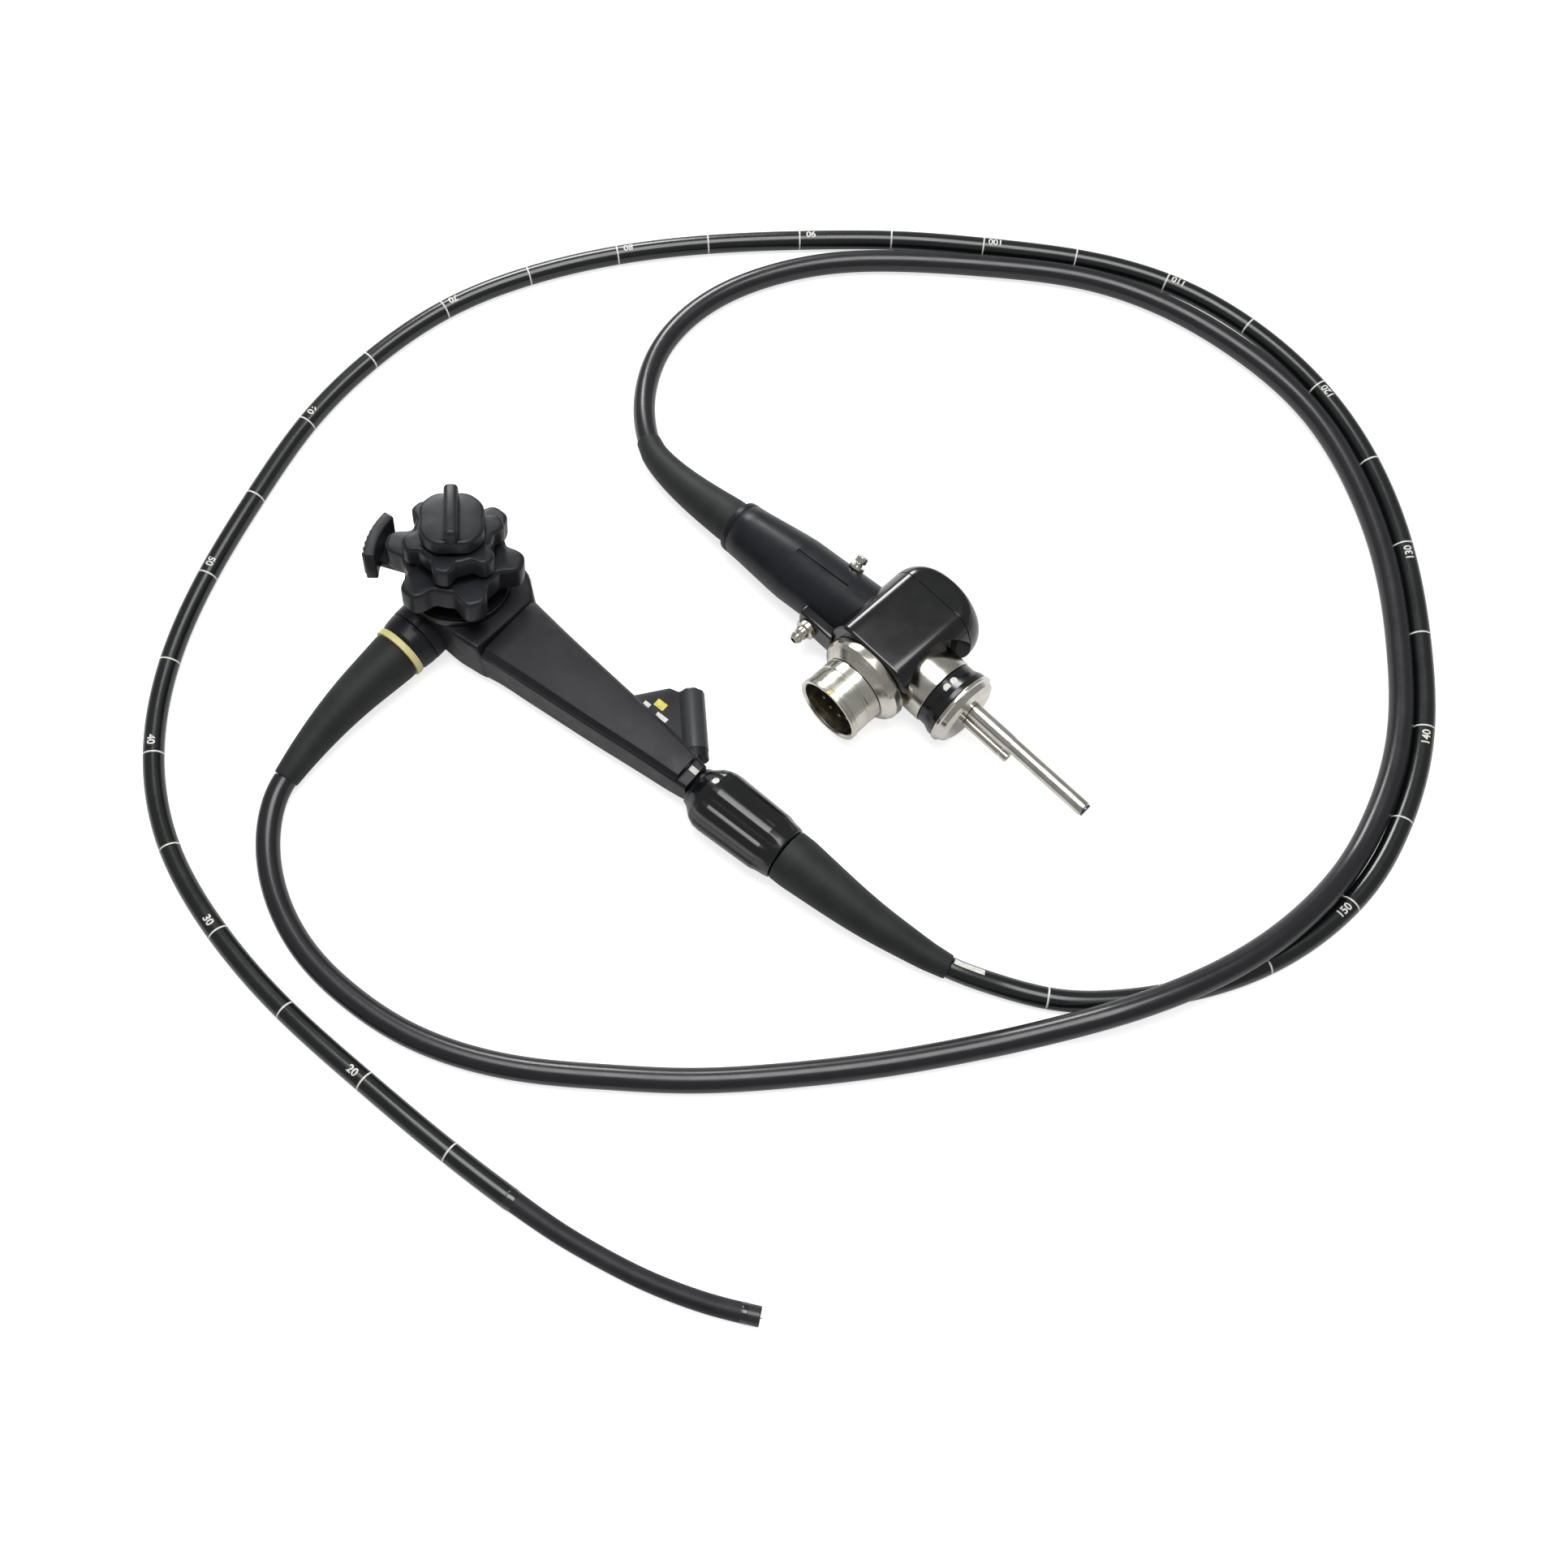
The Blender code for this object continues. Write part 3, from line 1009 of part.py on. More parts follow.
def make_cords(make: Builder, tube_start, cord_start, cord_end) -> tuple:
    """Add the insertion tube and the universal cord; return the tube's end."""
    rest = INSERTION_TUBE_R + 0.1 * MM
    place, away = tube_start
    route = [tuple(place)] + [(x * MM, y * MM, rest) for x, y in (
        (313, 9), (336, 20), (357, 37), (375, 57), (391, 80), (403, 106), (410, 133), (412, 160),
        (409, 185), (396, 228), (370, 272), (338, 312), (301, 345), (256, 370), (208, 382),
        (157, 381), (111, 366), (68, 342), (25, 314), (-14, 283), (-52, 249), (-85, 214),
        (-115, 172), (-136, 127), (-145, 77), (-143, 25), (-132, -22), (-117, -70), (-96, -116),
        (-66, -155), (-26, -183), (22, -198), (72, -204), (123, -204), (168, -202.5),
        (209, -199.5))]
    leave = (20.0, 2.0, 0.0)
    points = smooth_route(route, away, leave, TUBE_STEP)
    make.tube("insertion_tube", points, [INSERTION_TUBE_R] * len(points), "tube_black", 2)
    tube_end = points[-1]

    rest = CORD_R + 0.1 * MM
    place, away = cord_start
    last, into = cord_end
    lie = rest / MM
    route = [tuple(place)] + [tuple(MM * v for v in p) for p in (
        (4, -144, 6.3), (19.5, -160, lie), (41, -172.5, lie), (65, -179.5, lie),
        (92, -181, lie), (124, -177, lie), (151, -168, lie), (176, -155, lie),
        (205, -135, lie), (235, -112, lie), (265, -84, lie), (297, -50, lie),
        (316, -27.5, lie + 0.4), (331, -9, 7.6), (345, 8.5, 11.6), (358, 26, 15.4), (370, 45, 16.6),
        (381, 66, 16.4), (390, 88, 15.4), (396, 112, 12.9), (399.6, 137, 9.4), (399.7, 162, lie + 0.6),
        (396.6, 186, lie), (384.5, 224.5, lie), (360, 265, lie), (329, 303, lie), (295, 333, lie),
        (253, 356.5, lie), (207, 367.5, lie), (160, 366.5, lie), (118, 355, lie),
        (76, 331.5, lie), (34, 302.5, lie), (4, 276, lie), (-16.5, 248, lie), (-28, 222, lie),
        (-32, 197, lie), (-29, 173, lie), (-20, 153, 6.2))] + [tuple(last)]
    points = smooth_route(route, away, into, CORD_STEP)
    make.tube("universal_cord", points, [CORD_R] * len(points), "cord_grey", 2)
    return tube_end, Vector(leave).normalized()


def bend_route() -> list:
    """Return the resting curve of the bending section, from the tube's end to the tip."""
    return [Vector((x * MM, y * MM, 0.0)) for x, y in (
        (209, -199.5), (236, -196.2), (254, -192.6), (275, -187.2), (290, -182.0),
        (302, -177.0), (322, -166.8))]


def bend_link(length: float, radius: float, bore: float, start_axis, end_axis, start_cut: float,
              end_cut: float) -> bmesh.types.BMesh:
    """Return one ring of the bending section along local X.

    Each end slopes away from its pivot's axis, a unit vector across the ring, so that two
    neighbours can tilt about it.
    """
    count = 20

    def ring(x: float, r: float, axis, cut: float, sign: int) -> list:
        points = []
        for i in range(count):
            turn = 2 * math.pi * i / count
            y = r * math.cos(turn)
            z = r * math.sin(turn)
            away = abs(y * axis[1] - z * axis[0])
            points.append(Vector((x + sign * away * math.tan(cut), y, z)))
        return points

    near = SEAT_GAP / 2
    far = length - SEAT_GAP / 2
    rows = [ring(near, radius, start_axis, start_cut, 1), ring(far, radius, end_axis, end_cut, -1)]
    if bore > 0:
        rows.append(ring(far, bore, end_axis, end_cut, -1))
        rows.append(ring(near, bore, start_axis, start_cut, 1))
        bm = bmesh.new()
        verts = [[bm.verts.new(p) for p in row] for row in rows]
        for a, b in zip(verts, verts[1:] + verts[:1]):
            for i in range(count):
                j = (i + 1) % count
                bm.faces.new((a[i], a[j], b[j], b[i]))
        return bm
    bm = bmesh.new()
    verts = [[bm.verts.new(p) for p in row] for row in rows]
    first = bm.verts.new((near, 0.0, 0.0))
    last = bm.verts.new((far, 0.0, 0.0))
    for i in range(count):
        j = (i + 1) % count
        bm.faces.new((verts[0][i], verts[0][j], verts[1][j], verts[1][i]))
        bm.faces.new((verts[0][j], verts[0][i], first))
        bm.faces.new((verts[1][i], verts[1][j], last))
    return bm


def make_bending_section(make: Builder, start: Vector, away: Vector) -> None:
    """Add the base ring, the links and the distal tip, each with its origin on its pivot."""
    route = bend_route()
    shift = start + away * SEAT_GAP / 2 - route[0]
    shift.z = 0.0
    curve = smooth_route([p + shift for p in route], away, (20.0, 10.6, 0.0), 1.0 * MM)
    flat = np.array([[p.x, p.y] for p in curve])
    run = np.concatenate([[0.0], np.cumsum(np.linalg.norm(np.diff(flat, axis=0), axis=1))])
    height = INSERTION_TUBE_R + 0.1 * MM
    marks = [0.0, BEND_BASE_LENGTH]
    marks += [BEND_BASE_LENGTH + BEND_PITCH * (k + 1) for k in range(BEND_LINKS - 1)]
    marks.append(marks[-1] + TIP_LENGTH)
    spots = [Vector((np.interp(s, run, flat[:, 0]), np.interp(s, run, flat[:, 1]), height))
             for s in marks]
    tilt = BEND_PLANE_TILT
    ud_axis = (-math.cos(tilt), math.sin(tilt))
    lr_axis = (-math.cos(tilt), -math.sin(tilt))
    ud_cut = UD_STEP_ANGLE / 2 + BEND_SPARE_ANGLE / 2
    lr_cut = LR_STEP_ANGLE / 2 + BEND_SPARE_ANGLE / 2
    for k in range(BEND_LINKS + 1):
        a = spots[k]
        b = spots[k + 1]
        first_ud = (k - 1) % 2 == 0
        start_axis, start_cut = (ud_axis, ud_cut) if first_ud else (lr_axis, lr_cut)
        end_axis, end_cut = (lr_axis, lr_cut) if first_ud else (ud_axis, ud_cut)
        if k == 0:
            name, start_cut = "bend_base", 0.0
        elif k == BEND_LINKS:
            name, end_cut = "distal_tip", 0.0
        else:
            name = f"bend_link_{k}"
        last = k == BEND_LINKS
        radius = TIP_R if last else BEND_R
        bm = bend_link((b - a).length, radius, 0.0 if last else BEND_BORE_R, start_axis, end_axis,
                       start_cut, end_cut)
        obj = make.from_bmesh(name, bm, "black_gloss" if last else "bend_rubber")
        turn = (b - a).to_track_quat("X", "Z").to_matrix().to_4x4()
        place = Matrix.Translation(a) @ turn
        obj.matrix_local = place
        if last:
            finish_tip(make, obj, place, (b - a).length)


def finish_tip(make: Builder, tip, place: Matrix, length: float) -> None:
    """Cut the channel and the lens seats in the distal tip and add its optics and nozzle."""
    face = length - SEAT_GAP / 2
    channel = make.cylinder_cutter("tip_channel", CHANNEL_R, (face - 9 * MM, 1.6 * MM, -1.3 * MM),
                                   (face + MM, 1.6 * MM, -1.3 * MM), 16)
    channel.matrix_local = place
    boolean(tip, channel)
    seat_depth = 1.2 * MM
    across = Matrix.Rotation(math.radians(90), 4, "Y")
    for name, radius, y, z in (("objective_lens", LENS_R, -1.7 * MM, 1.4 * MM),
                               ("light_lens_1", LAMP_R, 1.3 * MM, 2.6 * MM),
                               ("light_lens_2", LAMP_R, -2.2 * MM, -1.9 * MM)):
        seat = make.cylinder_cutter(f"{name}_seat", radius + SEAT_GAP / 2, (face - seat_depth, y, z),
                                    (face + MM, y, z), 16)
        seat.matrix_local = place
        boolean(tip, seat)
        low = -seat_depth + SEAT_GAP / 2
        profile = [(0.0, 0.0), (radius, -0.1 * MM), (radius, low), (0.0, low)]
        spot = place @ Matrix.Translation((face, y, z)) @ across
        make.turned(name, profile, "optic_glass", 16, place=spot)
    bm = bmesh.new()
    bmesh.ops.create_cube(bm, size=1.0)
    bmesh.ops.scale(bm, vec=(0.7 * MM, 1.6 * MM, 0.9 * MM), verts=bm.verts)
    bmesh.ops.bevel(bm, geom=bm.edges[:], offset=0.15 * MM, segments=1, affect="EDGES")
    nozzle = make.from_bmesh("air_water_nozzle", bm, "nickel")
    nozzle.matrix_local = place @ Matrix.Translation(
        (face + SEAT_GAP / 2 + 0.35 * MM, -0.1 * MM, 3.5 * MM))


def shade_round_pieces() -> None:
    """Shade the turned and swept pieces smooth, with their sharp edges kept."""
    for obj in bpy.data.objects:
        if obj.type == "MESH":
            obj.data.shade_smooth()
            obj.data.set_sharp_from_angle(angle=math.radians(35))


def main() -> None:
    """Build the endoscope."""
    clear_scene()
    make = Builder()
    make_control_body(make)
    make_head_fittings(make)
    make_steering(make)
    tube_start = make_insertion_root(make)
    cord_start = make_cord_root(make)
    cord_end = make_connector(make)
    tube_end, away = make_cords(make, tube_start, cord_start, cord_end)
    make_bending_section(make, tube_end, away)
    shade_round_pieces()
    bpy.context.view_layer.update()


if __name__ == "__main__":
    main()
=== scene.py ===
"""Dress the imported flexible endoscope: fine forms, finishes, cords, light and camera.

Sizes are in millimetres in the model's own frame: +Z up from the table, +X from the head
along the grip, +Y the side of the head with the valve cylinders. A piece is turned to metres
when it is finished. Only the studio is written in metres.
"""
from __future__ import annotations

import logging
import math
from dataclasses import dataclass, field
from enum import Enum
from functools import partial
from typing import Callable, Optional, Sequence

import bmesh
import bpy
import numpy as np
from mathutils import Matrix, Vector

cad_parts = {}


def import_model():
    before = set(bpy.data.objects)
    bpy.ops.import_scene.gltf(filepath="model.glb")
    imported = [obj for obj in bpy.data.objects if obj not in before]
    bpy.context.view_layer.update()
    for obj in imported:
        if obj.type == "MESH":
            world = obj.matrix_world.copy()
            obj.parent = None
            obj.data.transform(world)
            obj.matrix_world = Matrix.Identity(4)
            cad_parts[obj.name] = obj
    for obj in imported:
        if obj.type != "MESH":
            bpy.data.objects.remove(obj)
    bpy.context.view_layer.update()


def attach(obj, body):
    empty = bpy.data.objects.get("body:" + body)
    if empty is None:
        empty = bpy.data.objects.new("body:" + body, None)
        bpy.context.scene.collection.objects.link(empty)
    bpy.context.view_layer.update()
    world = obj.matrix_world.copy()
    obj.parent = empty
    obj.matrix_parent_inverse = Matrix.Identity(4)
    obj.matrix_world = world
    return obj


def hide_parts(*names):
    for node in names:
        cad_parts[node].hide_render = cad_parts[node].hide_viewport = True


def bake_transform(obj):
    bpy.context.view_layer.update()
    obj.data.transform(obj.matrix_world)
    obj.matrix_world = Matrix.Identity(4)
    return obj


Tree = bpy.types.NodeTree
Node = bpy.types.Node
Socket = bpy.types.NodeSocket
Obj = bpy.types.Object
LOG = logging.getLogger("endoscope")
MM = 0.001
ROOT = "endoscope_body"
SEAT_GAP = 0.3
RUNNING_GAP = 0.07
QUARTER = math.radians(90)


class Shading(Enum):
    """The angle in degrees past which an edge stays sharp."""

    CRISP = 24
    MOULDED = 38
    ROUND = 70


def linear(code: str) -> tuple:
    """Turn an sRGB hex code into a linear colour.

    Args:
        code: A colour such as "#2a2a2e".
    Returns:
        Red, green, blue and alpha.
    """
    levels = [int(code[i:i + 2], 16) / 255 for i in (1, 3, 5)]
    bent = [c / 12.92 if c <= 0.04045 else ((c + 0.055) / 1.055) ** 2.4 for c in levels]
    return (*bent, 1.0)


def add_node(tree: Tree, kind: str, settings: Optional[dict] = None,
             links: Optional[dict] = None) -> Node:
    """Add a node with its settings and links.

    Args:
        tree: The tree that gets the node.
        kind: The node's type name.
        settings: Values by property name, or by input name or number.
        links: Output sockets, or nodes for their first output, by input name or number.
    Returns:
        The node.
    """
    node = tree.nodes.new(kind)
    for key, value in (settings or {}).items():
        if isinstance(key, str) and hasattr(node, key):
            setattr(node, key, value)
        else:
            node.inputs[key].default_value = value
    for key, source in (links or {}).items():
        socket = source.outputs[0] if isinstance(source, Node) else source
        tree.links.new(socket, node.inputs[key])
    return node


@dataclass(frozen=True)
class Finish:
    """What every finish has: a name, a main colour and a roughness."""

    name: str
    colour: str
    roughness: float

    def material(self) -> bpy.types.Material:
        """Return the finish's material, made once.

        Returns:
            The material.
        """
        found = bpy.data.materials.get(self.name)
        if found:
            return found
        bench = Bench(self)
        self.dress(bench)
        return bench.material

    def dress(self, bench: "Bench") -> None:
        """Add the finish's own pattern; the plain one has none."""


class Bench:
    """A material at work: its node tree, its shader and the coordinates that it reads."""

    def __init__(self, finish: Finish) -> None:
        """Start a material with a finish's main colour and roughness.

        Args:
            finish: The finish that it is for.
        """
        self.finish = finish
        self.material = bpy.data.materials.new(finish.name)
        self.material.use_nodes = True
        self.material.diffuse_color = linear(finish.colour)
        self.tree = self.material.node_tree
        self.shader = self.tree.nodes["Principled BSDF"]
        self.set({"Base Color": linear(finish.colour), "Roughness": finish.roughness})
        self.where = add_node(self.tree, "ShaderNodeTexCoord").outputs["Object"]

    def set(self, values: dict) -> None:
        """Set the shader's inputs by name."""
        for name, value in values.items():
            self.shader.inputs[name].default_value = value

    def pattern(self, kind: str, settings: dict, output: str = "Fac") -> Socket:
        """Add a node that reads the object's coordinates and return its output."""
        return add_node(self.tree, kind, settings, {"Vector": self.where}).outputs[output]

    def mottle(self, other: str, size_mm: float) -> None:
        """Mix the main colour with another in soft patches.

        Args:
            other: The colour of the patches.
            size_mm: How wide a patch is.
        """
        patches = self.pattern("ShaderNodeTexNoise", {"Scale": 1000 / size_mm, "Detail": 4.0})
        spread = add_node(self.tree, "ShaderNodeMapRange", {"From Min": 0.35, "From Max": 0.7},
                          {"Value": patches})
        mix = add_node(self.tree, "ShaderNodeMix", {
            "data_type": "RGBA", 6: linear(self.finish.colour), 7: linear(other)},
            {0: spread})
        self.tree.links.new(mix.outputs[2], self.shader.inputs["Base Color"])

    def scuff(self, size_mm: float, reach: float) -> None:
        """Vary the roughness in patches.

        Args:
            size_mm: How wide a patch is.
            reach: How far the roughness goes up and down.
        """
        wear = self.pattern("ShaderNodeTexNoise", {
            "Scale": 1000 / size_mm, "Detail": 6.0, "Roughness": 0.62})
        middle = self.finish.roughness
        spread = add_node(self.tree, "ShaderNodeMapRange", {
            "From Min": 0.3, "From Max": 0.7, "To Min": middle - reach,
            "To Max": middle + reach}, {"Value": wear})
        self.tree.links.new(spread.outputs["Result"], self.shader.inputs["Roughness"])

    def raise_grain(self, height: Socket, depth_mm: float, strength: float) -> None:
        """Turn a height into a bump.

        Args:
            height: The socket that gives the height.
            depth_mm: How deep the pattern is.
            strength: How much of it shows.
        """
        bump = add_node(self.tree, "ShaderNodeBump", {
            "Strength": strength, "Distance": depth_mm * MM}, {"Height": height})
        self.tree.links.new(bump.outputs["Normal"], self.shader.inputs["Normal"])


@dataclass(frozen=True)
class MouldedShell(Finish):
    """Polyphenylsulfone, injection moulded on a spark-eroded tool: an even, very fine grain
    with a soft sheen, and slightly paler patches where hands and cleaning have dulled it."""

    worn: str = "#4a484e"
    grain_mm: float = 0.55
    grain_depth_mm: float = 0.03

    def dress(self, bench: Bench) -> None:
        """Add the grain, the pale patches and the uneven sheen.

        Args:
            bench: The material at work.
        """
        bench.set({"Specular IOR Level": 0.26})
        bench.mottle(self.worn, 26.0)
        bench.scuff(7.0, 0.07)
        grain = bench.pattern("ShaderNodeTexNoise", {
            "Scale": 1000 / self.grain_mm, "Detail": 2.0})
        bench.raise_grain(grain, self.grain_depth_mm, 0.5)


@dataclass(frozen=True)
class PolishedShell(Finish):
    """Polished black polyphenylsulfone: near-mirror gloss with hair-fine wiping scratches."""

    coat: float = 0.25

    def dress(self, bench: Bench) -> None:
        """Add the clear gloss and the wiping scratches.

        Args:
            bench: The material at work.
        """
        bench.set({"Coat Weight": self.coat, "Coat Roughness": 0.12})
        bench.scuff(9.0, 0.03)
        wiped = bench.pattern("ShaderNodeMapping", {
            "Scale": (60.0, 900.0, 300.0), "Rotation": (0.3, 0.2, 0.5)}, "Vector")
        hairs = add_node(bench.tree, "ShaderNodeTexNoise", {"Scale": 2.0, "Detail": 5.0},
                         {"Vector": wiped})
        bench.raise_grain(hairs.outputs["Fac"], 0.006, 0.2)


@dataclass(frozen=True)
class CastRubber(Finish):
    """Silicone rubber cast in a blasted mould: matte, with a fine tooth that holds dust."""

    dust: str = "#5d625f"
    tooth_mm: float = 0.4

    def dress(self, bench: Bench) -> None:
        """Add the dust, the sheen at grazing angles and the tooth.

        Args:
            bench: The material at work.
        """
        bench.mottle(self.dust, 11.0)
        bench.set({"Specular IOR Level": 0.28, "Sheen Weight": 0.03, "Sheen Roughness": 0.5})
        tooth = bench.pattern("ShaderNodeTexVoronoi", {"Scale": 1000 / self.tooth_mm},
                              "Distance")
        bench.raise_grain(tooth, 0.05, 0.45)


@dataclass(frozen=True)
class DrawnSheath(Finish):
    """Polyurethane sheath drawn over a steel braid: a gloss skin in which the braid shows as
    a faint ripple, here drawn at 2.4 mm, coarser than the real braid, so that it shows."""

    ripple_mm: float = 2.4
    coat: float = 0.4
    ripple_depth_mm: float = 0.05

    def dress(self, bench: Bench) -> None:
        """Add the gloss coat, the wipe marks and the braid's ripple.

        Args:
            bench: The material at work.
        """
        bench.set({"Coat Weight": self.coat, "Coat Roughness": 0.1})
        bench.scuff(14.0, 0.05)
        ripple = bench.pattern("ShaderNodeTexNoise", {
            "Scale": 1000 / self.ripple_mm, "Detail": 1.0})
        bench.raise_grain(ripple, self.ripple_depth_mm, 0.3)


@dataclass(frozen=True)
class TurnedMetal(Finish):
    """Metal turned on a lathe and plated: fine rings about the piece's axis under a bright
    skin, slightly cloudy from fingerprints."""

    axis: tuple = (0.0, 0.0, 1.0)
    ring_mm: float = 0.35
    stain: str = "#c6c1b4"

    def dress(self, bench: Bench) -> None:
        """Add the tool rings, the cloudiness and the warm stain.

        Args:
            bench: The material at work.
        """
        bench.set({"Metallic": 1.0})
        bench.mottle(self.stain, 12.0)
        bench.scuff(5.0, 0.07)
        along = add_node(bench.tree, "ShaderNodeVectorMath", {
            "operation": "DOT_PRODUCT", 1: self.axis}, {0: bench.where})
        rings = add_node(bench.tree, "ShaderNodeTexNoise", {
            "noise_dimensions": "1D", "Scale": 1000 / self.ring_mm, "Detail": 2.0},
            {"W": along.outputs["Value"]})
        bench.raise_grain(rings.outputs["Fac"], 0.02, 0.35)


@dataclass(frozen=True)
class PrintedInk(Finish):
    """Two-part epoxy ink: flat white, a little thin where it has been wiped."""

    thin: str = "#c9c9c4"

    def dress(self, bench: Bench) -> None:
        """Add the thin spots."""
        bench.mottle(self.thin, 1.5)


@dataclass(frozen=True)
class PolishedGlass(Finish):
    """Polished optical glass over a dark barrel: a dark mirror with a cool coating tint."""

    tint: str = "#28405c"

    def dress(self, bench: Bench) -> None:
        """Add the coating's tint and its hard shine."""
        bench.mottle(self.tint, 1.2)
        bench.set({"Coat Weight": 1.0, "Coat Roughness": 0.02})


HEAD_AXIS = (0.0, 1.0, 0.0)
LEAN = math.radians(8.5)
CONNECTOR_TURN = math.radians(-7)
CONNECTOR_X = (math.cos(CONNECTOR_TURN), math.sin(CONNECTOR_TURN), 0.0)
CONNECTOR_Y = (-math.sin(CONNECTOR_TURN), math.cos(CONNECTOR_TURN), 0.0)

GRIP_SHELL = MouldedShell("moulded_shell_grip", "#1e1d21", 0.38, "#27262a")
KNOB_SHELL = MouldedShell("moulded_knob_grey", "#1f2024", 0.36, "#2a2b2f", 0.5, 0.04)
SLEEVE_SHELL = MouldedShell("moulded_sleeve", "#1b1c20", 0.34, "#232429")
# Lighter grey than the grip moulding that the branch pipe belongs to: a painted highlight for the
# pipe's bright reflection, on top of a real gloss.
BRANCH_HIGHLIGHT_SKIN = PolishedShell("branch_painted_highlight", "#34373a", 0.36, 0.2)
GLOSS_SHELL = PolishedShell("polished_black_shell", "#0f1012", 0.22)
BARREL_SHELL = PolishedShell("polished_barrel", "#101112", 0.18, 0.3)
BOOT_RUBBER = CastRubber("cast_silicone_boot", "#232524", 0.56, "#2b2e2c")
BUTTON_RUBBER = CastRubber("cast_silicone_button", "#2c2e2f", 0.55, "#3a3c3d", 0.3)
BEND_RUBBER = CastRubber("fluoro_rubber_cover", "#1f1f22", 0.46, "#2b2b30", 0.35)
TUBE_SHEATH = DrawnSheath("drawn_tube_sheath", "#101213", 0.26, 2.4, 0.3)
CORD_SHEATH = DrawnSheath("drawn_cord_sheath", "#1b1b1f", 0.3, 3.0, 0.2)
EPOXY_BAND = PolishedShell("epoxy_band", "#1c1d20", 0.2, 0.6)
VALVE_NICKEL = TurnedMetal("turned_nickel_valves", "#d6d3ca", 0.18, HEAD_AXIS)
GUIDE_NICKEL = TurnedMetal("turned_nickel_guide", "#e6e4de", 0.2, CONNECTOR_X)
SOCKET_NICKEL = TurnedMetal("turned_nickel_socket", "#e4e1d8", 0.22, CONNECTOR_Y)
INLET_NICKEL = TurnedMetal("turned_nickel_inlet", "#cbc8be", 0.24, (-0.695, 0.719, 0.0))
SHAFT_BLACK = PolishedShell("blackened_shaft_plate", "#141518", 0.3, 0.1)
PIN_GOLD = TurnedMetal("gold_plated_pins", "#a89878", 0.3, CONNECTOR_Y, 0.2, "#8c7c5c")
RING_ABS = MouldedShell("moulded_yellow_ring", "#e6dc8e", 0.4, "#f2ecb4", 0.4, 0.02)
INSULATOR = MouldedShell("moulded_insulator", "#2c3029", 0.5, "#3a3f36", 0.3)
WHITE_INK = PrintedInk("white_epoxy_ink", "#e9e9e4", 0.5)
YELLOW_INK = PrintedInk("yellow_epoxy_ink", "#e2da5a", 0.5, "#c8c04a")
LENS_GLASS = PolishedGlass("polished_lens_glass", "#10161e", 0.04)
TIP_SHELL = PolishedShell("polished_tip_shell", "#26272a", 0.34, 0.1)


def link(name: str, data: Optional[bpy.types.ID]) -> Obj:
    """Make an object of some data and put it in the scene.

    Args:
        name: The object's name.
        data: Its mesh, curve, lamp or camera.
    Returns:
        The new object.
    """
    obj = bpy.data.objects.new(name, data)
    bpy.context.scene.collection.objects.link(obj)
    return obj


def mesh_object(name: str, verts: Sequence, faces: Sequence) -> Obj:
    """Make a closed mesh object from points and faces, with its faces turned outwards.

    Args:
        name: The object's name.
        verts: The points.
        faces: Each face's point numbers.
    Returns:
        The new object.
    """
    mesh = bpy.data.meshes.new(name)
    mesh.from_pydata([tuple(v) for v in verts], [], [tuple(f) for f in faces])
    obj = link(name, mesh)
    tidy_mesh(obj)
    return obj


def tidy_mesh(obj: Obj) -> None:
    """Merge doubled points and turn the faces outwards.

    Args:
        obj: The object.
    """
    bm = bmesh.new()
    bm.from_mesh(obj.data)
    bmesh.ops.remove_doubles(bm, verts=bm.verts, dist=0.002)
    bmesh.ops.recalc_face_normals(bm, faces=bm.faces)
    bm.to_mesh(obj.data)
    bm.free()


def skin(name: str, rings: Sequence, wrap: bool = False) -> Obj:
    """Skin rings of equal length.

    Args:
        name: The object's name.
        rings: Lists of points, each one closed.
        wrap: Join the last ring to the first; otherwise both ends are closed by a face.
    Returns:
        The new object.
    """
    count = len(rings[0])
    verts = [p for ring in rings for p in ring]
    faces = []
    for a in range(len(rings) if wrap else len(rings) - 1):
        b = (a + 1) % len(rings)
        for i in range(count):
            j = (i + 1) % count
            faces.append((a * count + i, a * count + j, b * count + j, b * count + i))
    if not wrap:
        faces.append(tuple(range(count)))
        faces.append(tuple(range((len(rings) - 1) * count, len(rings) * count)))
    return mesh_object(name, verts, faces)


def rounded(profile: Sequence, closed: bool = False, steps: int = 5) -> list:
    """Round the corners of a profile.

    Args:
        profile: Points (radius, height) or (radius, height, rounding).
        closed: Whether the last point joins the first.
        steps: How many pieces each rounding has.
    Returns:
        Points (radius, height).
    """
    spots = [Vector(p[:2]) for p in profile]
    out = []
    for i, spot in enumerate(spots):
        size = profile[i][2] if len(profile[i]) > 2 else 0.0
        if size <= 0 or (not closed and i in (0, len(spots) - 1)):
            out.append(spot)
            continue
        before = spots[i - 1] - spot
        after = spots[(i + 1) % len(spots)] - spot
        angle = before.angle(after)
        if angle > math.radians(176):
            out.append(spot)
            continue
        cut = min(size / math.tan(angle / 2), 0.48 * before.length, 0.48 * after.length)
        start = spot + before.normalized() * cut
        end = spot + after.normalized() * cut
        for k in range(steps + 1):
            t = k / steps
            out.append(start * (1 - t) ** 2 + spot * 2 * t * (1 - t) + end * t * t)
    return out


def ring_at(place: Matrix, count: int, reach: Callable[[float], float], z: float = 0.0) -> list:
    """Return a ring of points about a placement's +Z, its radius given by the angle."""
    turns = [2 * math.pi * i / count for i in range(count)]
    return [place @ Vector((reach(t) * math.cos(t), reach(t) * math.sin(t), z)) for t in turns]


